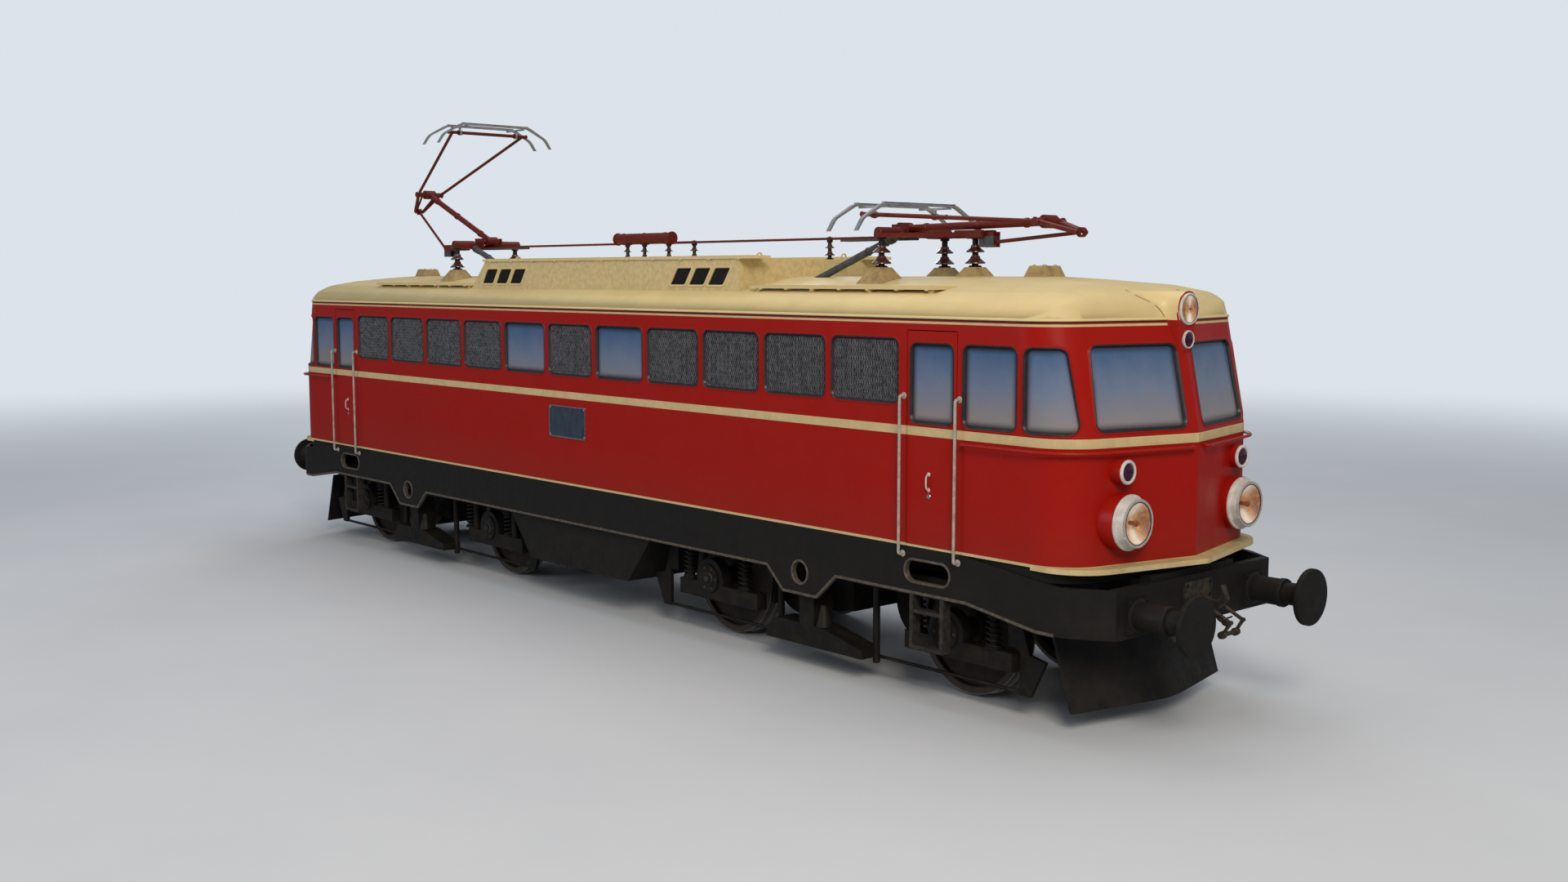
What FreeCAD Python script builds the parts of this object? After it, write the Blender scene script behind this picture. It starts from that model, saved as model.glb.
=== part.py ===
import FreeCAD, Part
import math
import os
import re
import Sketcher
from FreeCAD import Placement, Rotation, Vector

# Four-axle electric locomotive with a cab at each end and two single-arm pantographs.
# X runs along the locomotive, with the front cab at +X. The left side is +Y. Z is up.
# The origin is below the middle, at the wheel flanges' lowest points.
# Heights are given above the top of the rail, and the helpers add rail_top to them.

SIZES = (
    # Body shell
    ("rail_top", 28, "top of the rail above the flanges' lowest points"),
    ("half_width", 1395, "centre line to the body's side"),
    ("fold_reach", 7490, "middle to the fold of the front, up to the belt"),
    ("nose_drop", 326, "how far the front has gone back at the body's side"),
    ("corner_radius", 450, "upright corners of the cab"),
    ("sill_height", 1420, "lower edge of the painted body"),
    ("belt_height", 2500, "where the front begins to lean back"),
    ("eave_height", 3475, "upper edge of the side walls"),
    ("nose_lean", 205, "how far the front leans back from belt to eave"),
    ("body_wall", 60, "thickness of the cab and side walls"),
    ("roof_wall", 50, "thickness of the roof"),
    ("cab_length", 2190, "fold of the front to the cab's joint with the side wall"),
    ("overrun", 40, "how far a cutting shape passes the faces it cuts"),
    ("fit_gap", 0.3, "clearance of bearings, eyes and pins"),
    # Roof
    ("shoulder_half_width", 1060, "centre line to the bend of the roof"),
    ("shoulder_height", 3690, "height of the bend of the roof"),
    ("shoulder_radius", 900, "rounding of the bend of the roof"),
    ("ridge_height", 3886, "where the two flanks of the roof would meet"),
    ("ridge_radius", 2700, "rounding of the roof's top"),
    ("dome_low_height", 3610, "first step of the roof's rounded end"),
    ("dome_low_back", 45, "how far that step lies behind the eave"),
    ("dome_middle_height", 3700, "second step of the roof's rounded end"),
    ("dome_middle_back", 140, "how far that step lies behind the eave"),
    ("dome_high_height", 3765, "third step of the roof's rounded end"),
    ("dome_high_back", 370, "how far that step lies behind the eave"),
    ("dome_top_height", 3820, "fourth step of the roof's rounded end"),
    ("dome_top_back", 1050, "how far that step lies behind the eave"),
    ("dome_end_height", 3900, "level above the roof's top"),
    ("dome_end_back", 2200, "how far the rounded end reaches back"),
    ("ceiling_margin", 1390, "nose to the end of the hollow under the roof"),
    # Windows and doors
    ("window_pitch", 964.5, "machine room windows, centre to centre"),
    ("window_width", 867, "machine room window"),
    ("window_low", 2706, "machine room window, lower edge"),
    ("window_high", 3282, "machine room window, upper edge"),
    ("window_rounding", 70, "window corners"),
    ("pane_inset", 22, "outer face of the body to the glass"),
    ("pane_thickness", 8, "window glass"),
    ("screen_inner", 115, "centre line to the windscreen"),
    ("screen_outer_low", 1070, "centre line to the windscreen's outer lower corner"),
    ("screen_outer_high", 1020, "centre line to the windscreen's outer upper corner"),
    ("screen_low", 2565, "windscreen, lower edge"),
    ("screen_high", 3265, "windscreen, upper edge"),
    ("cab_window_low", 2545, "cab side windows, lower edge"),
    ("cab_window_high", 3247, "cab side windows, upper edge"),
    ("cab_window_back", 6040, "cab side window, edge beside the door"),
    ("cab_window_front", 6630, "cab side window, edge beside the corner window"),
    ("corner_window_back", 6710, "corner window, edge on the side"),
    ("corner_window_front", 7165, "corner window, edge at the pillar"),
    ("doorway_back", 5365, "doorway, edge beside the machine room"),
    ("doorway_front", 5970, "doorway, edge beside the cab window"),
    ("doorway_low", 1440, "top of the threshold"),
    ("doorway_high", 3370, "underside of the door's head"),
    ("door_gap", 8, "door leaf to its frame"),
    ("door_thickness", 45, "door leaf"),
    ("door_pivot_radius", 12, "door pivots"),
    ("door_window_margin", 40, "edge of the leaf to its window"),
    # Underframe
    ("floor_low", 1300, "underside of the floor"),
    ("floor_inset", 30, "body's side to the floor's edge"),
    ("skirt_thickness", 50, "side skirt"),
    ("skirt_low", 970, "skirt's lower edge between the bogies"),
    ("skirt_deep", 745, "lower edge of the deep part of the skirt"),
    ("skirt_step", 990, "skirt's lower edge below the doors"),
    ("skirt_end_low", 870, "skirt's lower edge at the buffer beam"),
    ("deep_start", 3450, "middle to where the skirt begins to go down"),
    ("deep_full", 3690, "middle to where the skirt is at its deepest"),
    ("deep_end", 4180, "middle to where the skirt begins to go up"),
    ("step_start", 4450, "middle to where the skirt is up again"),
    ("step_end", 6090, "middle to where the skirt goes down to the beam"),
    ("end_start", 6875, "middle to where the skirt's edge is level again"),
    ("band_start", 6000, "middle to where the skirt's upper edge goes down"),
    ("band_height", 1290, "upper edge of the buffer beam"),
    ("bend_start", 7070, "middle to the skirt's first bend"),
    ("bend_middle", 7220, "middle to the skirt's second bend"),
    ("bend_half_width", 1340, "centre line to the skirt's second bend"),
    ("beam_reach", 7510, "middle to the buffer beam's face"),
    ("beam_half_width", 1150, "half the length of the buffer beam"),
    ("beam_low", 865, "lower edge of the buffer beam"),
    ("beam_thickness", 80, "buffer beam"),
    ("step_hole_back", 5360, "footstep hole in the skirt, end towards the middle"),
    ("step_hole_front", 5900, "footstep hole in the skirt, other end"),
    ("step_hole_low", 1100, "footstep hole, lower edge"),
    ("step_hole_high", 1300, "footstep hole, upper edge"),
    ("step_hole_rounding", 99, "footstep hole, ends"),
    ("jack_hole_reach", 3940, "middle to the round hole in the skirt"),
    ("jack_hole_height", 966, "height of the round hole"),
    ("jack_hole_radius", 110, "round hole in the skirt"),
    ("ledge_shift", 134, "how far the ledge below the front stands out"),
    ("ledge_low", 1395, "underside of the ledge"),
    # Lamps
    ("head_lamp_side", 840, "centre line to the headlamp"),
    ("head_lamp_height", 1810, "headlamp"),
    ("head_lamp_flange", 235, "radius of the flange on the headlamp's housing"),
    ("head_lamp_flange_depth", 20, "thickness of that flange"),
    ("head_lamp_radius", 205, "headlamp's rim"),
    ("head_lamp_barrel", 240, "radius of the headlamp's housing"),
    ("head_lamp_lens", 174, "radius of the headlamp's glass"),
    ("head_lamp_reach", 7395, "middle to the front of the headlamp's housing"),
    ("head_lamp_rim_depth", 97, "depth of the headlamp's rim"),
    ("tail_lamp_side", 855, "centre line to the marker lamp"),
    ("tail_lamp_height", 2230, "marker lamp"),
    ("tail_lamp_barrel", 106, "radius of the marker lamp's housing"),
    ("tail_lamp_radius", 103, "marker lamp's rim"),
    ("tail_lamp_lens", 74, "radius of the marker lamp's glass"),
    ("tail_lamp_reach", 7375, "middle to the front of the marker lamp's housing"),
    ("lamp_rim_depth", 25, "depth of the marker and top lamps' rims"),
    ("lens_depth", 12, "thickness of a lamp glass"),
    ("hood_reach", 7350, "middle to the front of the top lamp's hood"),
    ("hood_top", 3720, "top of the hood"),
    ("hood_low", 3200, "lower tip of the hood"),
    ("hood_neck", 3550, "where the hood begins to taper"),
    ("hood_half_width", 148, "centre line to the hood's side"),
    ("hood_tip_half_width", 50, "half the width of the hood's lower tip"),
    ("hood_rounding", 144, "upper corners of the hood"),
    ("hood_tip_rounding", 44, "lower corners of the hood"),
    ("hood_foot_reach", 7235, "middle to where the hood leaves the wall"),
    ("hood_foot_top", 3724, "top of the hood there"),
    ("hood_foot_neck", 3412, "where the hood begins to taper there"),
    ("hood_foot_half_width", 178, "centre line to the hood's side there"),
    ("hood_foot_tip_half_width", 90, "half the width of its lower tip there"),
    ("hood_foot_rounding", 165, "upper corners of the hood there"),
    ("hood_spread_reach", 7140, "middle to where the hood spreads over the roof"),
    ("hood_spread_top", 3725, "top of the hood there"),
    ("hood_spread_neck", 3300, "lower edge of its side there"),
    ("hood_spread_half_width", 360, "centre line to the hood's side there"),
    ("hood_spread_rounding", 290, "upper corners of the hood there"),
    ("hood_back", 7000, "middle to where the hood runs into the roof"),
    ("hood_back_top", 3722, "top of the hood there"),
    ("hood_back_neck", 3210, "lower edge of its side there"),
    ("hood_back_half_width", 800, "centre line to the hood's side there"),
    ("hood_back_rounding", 500, "upper corners of the hood there"),
    ("top_lamp_height", 3565, "top lamp"),
    ("top_lamp_radius", 138, "top lamp's rim"),
    ("top_lamp_lens", 118, "radius of the top lamp's glass"),
    ("low_lamp_height", 3304, "small lamp below the top lamp"),
    ("low_lamp_radius", 79, "small lamp's rim"),
    ("low_lamp_lens", 65, "radius of the small lamp's glass"),
    # Buffers and draw gear
    ("buffer_side", 875, "centre line to the buffer"),
    ("buffer_height", 1050, "buffers above the rail"),
    ("buffer_length", 600, "buffer beam to the buffer's face"),
    ("buffer_radius", 250, "buffer head"),
    ("buffer_head_depth", 45, "buffer head"),
    ("buffer_plate", 290, "side of the buffer's base plate"),
    ("buffer_plate_depth", 25, "buffer's base plate"),
    ("buffer_tube_radius", 120, "buffer housing"),
    ("buffer_tube_share", 0.5667, "share of the buffer's length that its housing takes"),
    ("plunger_radius", 100, "buffer plunger"),
    ("hook_plate_half_width", 200, "plate behind the draw hook"),
    ("hook_plate_low", 950, "plate behind the draw hook, lower edge"),
    ("hook_plate_high", 1235, "plate behind the draw hook, upper edge"),
    ("hook_half_width", 35, "half the thickness of the draw hook"),
    ("hook_length", 290, "buffer beam to the draw hook's tip"),
    ("hook_depth", 60, "height of the draw hook's shank"),
    ("link_side", 95, "centre line to the coupling link"),
    ("link_radius", 16, "coupling link's bar"),
    ("link_swing", 230, "draw hook's pin to the coupling link's outermost bend, outwards"),
    ("link_foot", 160, "draw hook's pin to the coupling link's lower end, outwards"),
    ("link_drop", 230, "draw hook's pin to the coupling link's lower end"),
    # Rails, steps and ploughs
    ("handrail_radius", 14, "handrails"),
    ("handrail_stand", 60, "handrail's centre to the body"),
    ("handrail_low", 1343, "lower end of the door handrails"),
    ("handrail_high", 2778, "upper end of the door handrails"),
    ("handrail_margin", 31, "doorway's edge to the door handrail"),
    ("handrail_bend", 22, "bends of the handrails"),
    ("front_rail_height", 2395, "rail round the cab"),
    ("front_rail_gap", 100, "centre line to the rail's inner end"),
    ("front_rail_back", 6060, "middle to the rail's end on the side"),
    ("grab_low", 1650, "lower end of the corner grab handles"),
    ("grab_high", 1940, "upper end of the corner grab handles"),
    ("grab_side", 1230, "centre line to the corner grab handles"),
    ("grab_radius", 11, "corner grab handles"),
    ("ladder_back", 5420, "middle to the ladder's inner edge"),
    ("ladder_front", 5830, "middle to the ladder's outer edge"),
    ("ladder_low", 485, "lower end of the ladder"),
    ("ladder_tread", 815, "underside of the upper tread"),
    ("ladder_depth", 100, "ladder from front to back"),
    ("ladder_bar", 42, "width of the ladder's side bars"),
    ("tread_thickness", 34, "ladder's treads"),
    ("plough_low", 150, "lower edge of the plough"),
    ("plough_high", 865, "upper edge of the plough, at the buffer beam"),
    ("plough_reach", 7300, "middle to the plough's lower edge at the centre line"),
    ("plough_corner", 7050, "middle to the plough's lower corner"),
    ("plough_half_width", 1100, "centre line to the plough's end"),
    ("plough_rake", 230, "how far the plough's upper edge lies back"),
    ("plough_thickness", 30, "plough blade"),
    ("plough_stay_side", 620, "centre line to the plough's stay"),
    ("plough_stay_width", 60, "plough's stay"),
    ("plough_stay_length", 420, "plough's stay, along the locomotive"),
    # Mass below the floor
    ("tank_half_length", 1420, "half the length of the transformer tank"),
    ("tank_low_half_length", 1000, "half the length of the tank's underside"),
    ("tank_shoulder", 950, "where the tank begins to narrow"),
    ("tank_low", 430, "underside of the tank"),
    ("tank_inset", 15, "skirt to the tank's side"),
    # Roof fittings
    ("hatch_half_width", 1020, "roof hatch"),
    ("hatch_front", 2590, "middle to the hatch's upright end"),
    ("hatch_back", 2450, "middle to the top of the hatch's sloping end"),
    ("hatch_slope", 340, "how far the sloping end runs out"),
    ("hatch_top", 4025, "top of the hatch"),
    ("hatch_low", 3690, "where the hatch's sloping end meets the roof"),
    ("hatch_grille_low", 3740, "hatch grilles, lower edge"),
    ("hatch_grille_high", 3940, "hatch grilles, upper edge"),
    ("hatch_grille_start", 1400, "middle to the first grille of the front set"),
    ("hatch_grille_rear_start", 2540, "middle to the first grille of the rear set"),
    ("hatch_grille_length", 280, "one grille"),
    ("hatch_grille_pitch", 325, "grilles, centre to centre"),
    ("hatch_grille_slant", 140, "how far a grille's top leans forward"),
    ("hatch_grille_depth", 25, "pocket of a grille"),
    ("grille_thickness", 15, "grille panels"),
    ("plank_thickness", 30, "walkway boards"),
    ("plank_outer", 1040, "centre line to the boards' outer edge"),
    ("plank_inner", 750, "centre line to the boards' inner edge"),
    ("plank_overhang", 190, "hatch board past the hatch's upright end"),
    ("walkway_height", 3720, "underside of the roof's walkway boards"),
    ("walkway_start", 2790, "middle to the walkway boards' inner end"),
    ("walkway_end", 5380, "middle to the walkway boards' outer end"),
    ("walkway_post", 60, "side of the posts below the boards"),
    ("roof_box_middle", 5785, "middle to the small roof box"),
    ("roof_box_top", 3940, "top of the small roof box"),
    ("roof_box_half_base", 182, "half length of the small roof box's foot"),
    ("roof_box_half_top", 89, "half length of the small roof box's top"),
    ("roof_box_side_base", 152, "half width of the small roof box's foot"),
    ("roof_box_side_top", 114, "half width of the small roof box's top"),
    ("roof_box_low", 3780, "level inside the roof from which its fittings are cut"),
    ("plinth_half_base", 225, "foot of an insulator's plinth"),
    ("plinth_half_top", 73, "top of an insulator's plinth"),
    ("plinth_low", 3700, "level inside the roof from which the plinths are cut"),
    ("plinth_top", 3930, "top of the plinths"),
    ("insulator_post", 32, "radius of an insulator's post"),
    ("shed_radius", 100, "insulator's lower shed"),
    ("shed_upper_radius", 90, "insulator's upper shed"),
    ("shed_depth", 70, "height of a shed"),
    ("shed_lift", 35, "plinth to the lower shed"),
    ("shed_pitch", 110, "one shed to the next"),
    ("bus_insulator_radius", 55, "busbar insulator's sheds"),
    ("bus_height", 4250, "busbar's centre"),
    ("bus_radius", 14, "busbar"),
    ("bus_side", 330, "centre line to the busbar"),
    ("switch_back", 1430, "middle to the main switch's rear end"),
    ("switch_front", 290, "middle to the main switch's front end"),
    ("switch_height", 4310, "main switch's centre"),
    ("switch_radius", 70, "main switch's tube"),
    # Pantographs
    ("pivot_reach", 3985, "middle to the lower arm's pivot"),
    ("pivot_height", 4320, "lower arm's pivot"),
    ("pivot_radius", 25, "lower arm's shaft"),
    ("pivot_bearing_side", 150, "centre line to the shaft's bearing plate"),
    ("lower_arm_length", 1840, "pivot to knee"),
    ("upper_arm_length", 1840, "knee to top tube"),
    ("lower_arm_radius", 38, "lower arm's tube"),
    ("upper_arm_radius", 20, "upper arm's tubes"),
    ("knee_half_width", 200, "half the length of the knee's cross tube"),
    ("knee_tube_radius", 34, "knee's cross tube"),
    ("boss_radius", 62, "bosses on the lower arm"),
    ("boss_half_width", 80, "half the length of those bosses"),
    ("top_tube_half_width", 615, "half the length of the top tube"),
    ("top_tube_radius", 22, "top tube"),
    ("raised_knee_rise", 705, "pivot to the knee when raised, upwards"),
    ("raised_top_rise", 765, "knee to the top tube when raised, upwards"),
    ("folded_knee_rise", 25, "pivot to the knee when lowered, upwards"),
    ("folded_top_rise", 106, "knee to the top tube when lowered, upwards"),
    ("tail_along", 383, "knee to the tail's eye, in line with the upper arm"),
    ("tail_down", 83, "how far the tail's eye lies below that line"),
    ("tail_radius", 14, "tail's two bars"),
    ("tail_side", 50, "centre line to the tail's bars"),
    ("rod_radius", 18, "thrust rod"),
    ("rod_eye_radius", 46, "eyes of the thrust rod"),
    ("rod_eye_bore", 31, "hole in the eye at the tail"),
    ("rod_pin_radius", 12, "pins of the thrust rod"),
    ("rod_half_width", 25, "half the thickness of the thrust rod's eyes"),
    ("rod_foot_reach", 5150, "middle to the thrust rod's foot"),
    ("rod_foot_height", 4165, "thrust rod's foot"),
    ("base_low", 4225, "underside of the pantograph's base"),
    ("base_high", 4265, "top of the pantograph's base"),
    ("base_cross_reach", 4110, "middle to the two insulators"),
    ("base_cross_side", 460, "centre line to those insulators"),
    ("base_tip_reach", 4930, "middle to the single insulator"),
    ("base_beam", 110, "width of the base's beams"),
    ("base_tip_length", 270, "block over the single insulator"),
    ("base_tip_half_width", 110, "half the width of that block"),
    ("drive_reach", 3120, "middle to the end of the raising drive"),
    ("drive_half_width", 75, "half the width of the raising drive"),
    ("strip_spread", 195, "top tube's centre to a contact strip"),
    ("strip_lift", 110, "top tube to the contact strips"),
    ("strip_width", 45, "contact strip"),
    ("strip_thickness", 22, "contact strip"),
    ("strip_flat", 510, "half the level length of a contact strip"),
    ("horn_side", 810, "centre line to the horn's bend"),
    ("horn_drop", 150, "level of the horn's bend below the strip"),
    ("horn_tip_side", 895, "centre line to the horn's tip"),
    ("horn_tip_drop", 280, "level of the horn's tip below the strip"),
    ("horn_rounding", 180, "horns where they leave the level part"),
    ("hanger_side", 440, "centre line to the strips' carriers"),
    ("hanger_width", 24, "strips' carriers"),
    ("hanger_boss_radius", 38, "carrier's boss on the top tube"),
    # Bogies
    ("bogie_reach", 3950, "middle to the bogie's pivot"),
    ("half_wheelbase", 1700, "bogie's pivot to an axle"),
    ("wheel_radius", 625, "tread"),
    ("flange_height", 28, "flange beyond the tread"),
    ("wheel_back", 680, "centre line to the wheel's inner face"),
    ("wheel_width", 135, "rim"),
    ("flange_width", 32, "flange"),
    ("rim_depth", 75, "tread to the inside of the rim"),
    ("web_thickness", 28, "wheel's disc"),
    ("hub_radius", 155, "wheel's hub"),
    ("axle_radius", 95, "axle"),
    ("journal_radius", 75, "axle's journal"),
    ("journal_start", 1010, "centre line to the journal"),
    ("journal_end", 1130, "centre line to the axle's end"),
    ("box_inner", 1030, "centre line to the axle box's inner face"),
    ("box_outer", 1160, "centre line to the axle box's arms' outer face"),
    ("box_arch_radius", 215, "round top of the axle box"),
    ("box_low", 400, "underside of the axle box's arms"),
    ("arm_top", 569, "top of the axle box's arms"),
    ("arm_back", 510, "axle to the end of the short arm"),
    ("arm_front", 780, "axle to the end of the long arm"),
    ("cover_radius", 150, "axle box's cover"),
    ("cover_depth", 20, "axle box's cover"),
    ("cover_cap_radius", 62, "cap on the axle box's cover"),
    ("cover_cap_depth", 20, "cap on the axle box's cover"),
    ("column_radius", 45, "spring columns"),
    ("column_back", 400, "axle to the spring column on the short arm"),
    ("column_front", 520, "axle to the spring column on the long arm"),
    ("side_beam_low", 920, "underside of the bogie's side beams"),
    ("side_beam_high", 1120, "top of the bogie's side beams"),
    ("side_beam_inner", 950, "centre line to a side beam"),
    ("side_beam_outer", 1200, "centre line to a side beam's outer face"),
    ("end_beam_start", 2360, "bogie's pivot to its end beam"),
    ("end_beam_end", 2480, "bogie's pivot to its end"),
    ("transom_half_length", 300, "half the bogie's middle beam, along the locomotive"),
    ("transom_low", 560, "underside of the middle beam"),
    ("centre_pin_radius", 160, "bogie's centre pin"),
    ("motor_radius", 400, "traction motor"),
    ("motor_half_width", 560, "half the length of a traction motor"),
    ("motor_reach", 900, "bogie's pivot to a motor's centre"),
    ("motor_height", 690, "traction motor's centre"),
    ("motor_nose_half_width", 260, "half the width of a motor's nose"),
    ("motor_nose_low", 620, "underside of a motor's nose"),
    ("motor_nose_high", 860, "top of a motor's nose"),
    ("gear_case_radius", 190, "gear case round the axle"),
    ("gear_case_inner", 585, "centre line to the gear case"),
    ("gear_case_outer", 655, "centre line to the gear case's outer face"),
    ("hanger_back", 620, "bogie's pivot to the rear hanger rod"),
    ("hanger_front", 750, "bogie's pivot to the front hanger rod"),
    ("hanger_rod_radius", 35, "hanger rods"),
    ("hanger_low", 160, "lower end of the hanger rods"),
    ("hanger_line", 1090, "centre line to the hanger rods"),
    ("plank_low", 215, "underside of the spring plank"),
    ("plank_end_high", 300, "top of the spring plank at its ends"),
    ("plank_middle_high", 430, "top of the spring plank in the middle"),
    ("plank_flat_back", 480, "bogie's pivot to the plank's bend"),
    ("plank_flat_front", 180, "bogie's pivot to the plank's other bend"),
    ("plank_side_inner", 1040, "centre line to the spring plank"),
    ("plank_side_outer", 1290, "centre line to the spring plank's outer face"),
    ("pack_back", 130, "bogie's pivot to the spring box"),
    ("pack_front", 80, "bogie's pivot to the spring box's other side"),
    ("pack_high", 830, "top of the spring box"),
    ("cone_reach", 150, "bogie's pivot to the spring cone"),
    ("cone_side", 1220, "centre line to the spring cone"),
    ("cone_radius", 80, "foot of the spring cone"),
    ("cone_top_radius", 30, "top of the spring cone"),
    ("cone_high", 640, "top of the spring cone"),
    ("brake_line", 1050, "centre line to the brake rod"),
    ("brake_rod_radius", 17, "brake rod"),
    ("brake_rod_height", 215, "brake rod"),
    ("brake_rod_back", 2600, "bogie's pivot to the brake rod's end"),
    ("bracket_thickness", 40, "brake brackets"),
    ("bracket_low", 196, "lower end of the brake brackets"),
    ("bracket_back", 2495, "bogie's pivot to the brake bracket's inner edge"),
    ("bracket_knee", 545, "brake bracket's bend"),
    ("bracket_nose", 2780, "bogie's pivot to the brake bracket's outer point"),
    # Cabs
    ("bulkhead_reach", 5200, "middle to the cab's rear wall"),
    ("bulkhead_thickness", 50, "cab's rear wall"),
    ("desk_back", 6640, "middle to the desk's edge"),
    ("desk_front", 7050, "middle to the desk's front"),
    ("desk_high", 2330, "desk's top"),
    ("desk_edge", 2230, "desk's edge"),
    ("desk_foot", 6850, "middle to the desk's foot"),
    ("desk_half_width", 1180, "half the width of the desk"),
    ("seat_reach", 6120, "middle to the seat's centre"),
    ("seat_side", 560, "centre line to the seat's centre"),
    ("seat_half_width", 230, "half the width of the seat"),
    ("seat_height", 1900, "top of the seat"),
    ("seat_depth", 90, "seat cushion"),
    ("seat_back_high", 2480, "top of the seat's back"),
    ("seat_post_radius", 60, "seat's pedestal"),
)
NAMES = {row[0] for row in SIZES}
WINDOW_COUNT = 11
GLAZED = (4, 6)

doc = FreeCAD.newDocument("Locomotive")
sheet = doc.addObject("Spreadsheet::Sheet", "Sizes")
for number, (alias, amount, note) in enumerate(SIZES, start=1):
    sheet.set(f"A{number}", alias)
    sheet.set(f"B{number}", str(amount))
    sheet.set(f"C{number}", note)
    sheet.setAlias(f"B{number}", alias)
doc.recompute()

TURNS = {
    "XY": Rotation(),
    "XZ": Rotation(Vector(1, 0, 0), 90),
    "YZ": Rotation(Vector(1, 1, 1), 120),
}
NORMALS = {"XY": Vector(0, 0, 1), "XZ": Vector(0, 1, 0), "YZ": Vector(1, 0, 0)}
AXES = {
    "X": Rotation(Vector(0, 1, 0), 90),
    "Y": Rotation(Vector(1, 0, 0), -90),
    "Z": Rotation(),
}
NODES = []


def formula(text):
    """The text as an expression, with the sheet's name before each size."""
    return re.sub("[a-z_]+", lambda word: tie(word.group()), text)


def tie(word):
    """A size's full name, or the word itself."""
    return f"Sizes.{word}" if word in NAMES else word


def value(text):
    """What an expression comes to now."""
    return float(sheet.evalExpression(formula(text)))


def bind(piece, property_name, text):
    """Binds one property to the sheet."""
    piece.setExpression(property_name, formula(text))


def place(piece, x, y, z):
    """Binds a piece's position. The height z is above the rail."""
    bind(piece, "Placement.Base.x", x)
    bind(piece, "Placement.Base.y", y)
    bind(piece, "Placement.Base.z", f"rail_top + {z}")


def corner_of(points, spot):
    """A corner's place, and the two ends and centre of its rounding."""
    here, before, after = points[spot], points[spot - 1], points[(spot + 1) % len(points)]
    corner = Vector(here[0], here[1], 0)
    back = (Vector(before[0], before[1], 0) - corner).normalize()
    ahead = (Vector(after[0], after[1], 0) - corner).normalize()
    half = back.getAngle(ahead) / 2
    run = here[2] / math.tan(half)
    centre = corner + (back + ahead).normalize() * (here[2] / math.sin(half))
    left = (back * -1).cross(ahead).z > 0
    return corner + back * run, corner + ahead * run, centre, left


def outline(name, plane, points, start="0", closed=True):
    """A sketch of straight lines, its corners bound to the sheet. A third entry rounds a corner."""
    sketch = doc.addObject("Sketcher::SketchObject", name)
    sketch.Placement = Placement(Vector(), TURNS[plane])
    count = len(points)
    rounded = [len(point) > 2 for point in points]
    numbers = [[value(text) for text in point] for point in points]
    ends = []
    for spot, point in enumerate(numbers):
        if rounded[spot]:
            ends.append(corner_of(numbers, spot))
        else:
            ends.append((Vector(point[0], point[1], 0),) * 2)
    lines = count if closed else count - 1
    shapes = [Part.LineSegment(ends[spot][1], ends[(spot + 1) % count][0]) for spot in range(lines)]
    sketch.addGeometry(shapes, False)
    for spot, (across, along) in enumerate((point[:2] for point in points)):
        inner = closed or 0 < spot < count - 1
        if rounded[spot]:
            target = round_corner(sketch, spot, numbers[spot], ends[spot], points[spot][2], lines)
        else:
            target = (spot, 1) if spot < lines else (spot - 1, 2)
            if inner:
                sketch.addConstraint(Sketcher.Constraint("Coincident", (spot - 1) % lines, 2, spot, 1))
        for kind, text in (("DistanceX", across), ("DistanceY", along)):
            index = sketch.addConstraint(Sketcher.Constraint(kind, -1, 1, *target, value(text)))
            bind(sketch, f"Constraints[{index}]", text)
    base = {"XY": ("0", "0", start), "XZ": ("0", start, "0"), "YZ": (start, "0", "0")}[plane]
    place(sketch, *base)
    return sketch


def round_corner(sketch, spot, point, ends, radius, lines):
    """Rounds a sketch's corner and returns the corner's own point."""
    begin, finish, centre, left = ends
    first, last = (begin, finish) if left else (finish, begin)
    angles = [math.atan2((end - centre).y, (end - centre).x) for end in (first, last)]
    circle = Part.Circle(centre, Vector(0, 0, 1), point[2])
    arc = sketch.addGeometry(Part.ArcOfCircle(circle, *angles), False)
    mark = sketch.addGeometry(Part.Point(Vector(point[0], point[1], 0)), True)
    before, after = (spot - 1) % lines, spot
    entry, leave = (1, 2) if left else (2, 1)
    sketch.addConstraint(Sketcher.Constraint("PointOnObject", mark, 1, before))
    sketch.addConstraint(Sketcher.Constraint("PointOnObject", mark, 1, after))
    sketch.addConstraint(Sketcher.Constraint("Tangent", before, 2, arc, entry))
    sketch.addConstraint(Sketcher.Constraint("Tangent", arc, leave, after, 1))
    index = sketch.addConstraint(Sketcher.Constraint("Radius", arc, point[2]))
    bind(sketch, f"Constraints[{index}]", radius)
    return mark, 1


def prism(name, plane, points, start, end):
    """An outline drawn out at right angles to its plane, from start to end."""
    piece = doc.addObject("Part::Extrusion", name)
    piece.Base = outline(f"{name}_outline", plane, points, start)
    piece.DirMode = "Custom"
    piece.Dir = NORMALS[plane]
    piece.Solid = True
    bind(piece, "LengthFwd", f"({end}) - ({start})")
    return piece


def box(name, x, y, z):
    """A block between three pairs of limits."""
    piece = doc.addObject("Part::Box", name)
    for size, (low, high) in (("Length", x), ("Width", y), ("Height", z)):
        bind(piece, size, f"({high}) - ({low})")
    place(piece, x[0], y[0], z[0])
    return piece


def aim(piece, axis, centre, start):
    """Turns a round piece along an axis and places it, with its centre given across that axis."""
    piece.Placement = Placement(Vector(), AXES[axis])
    spots = {"X": (start, *centre), "Y": (centre[0], start, centre[1]), "Z": (*centre, start)}
    place(piece, *spots[axis])


def rod(name, axis, centre, start, end, radius):
    """A round bar along an axis."""
    piece = doc.addObject("Part::Cylinder", name)
    bind(piece, "Radius", radius)
    bind(piece, "Height", f"({end}) - ({start})")
    aim(piece, axis, centre, start)
    return piece


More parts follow.
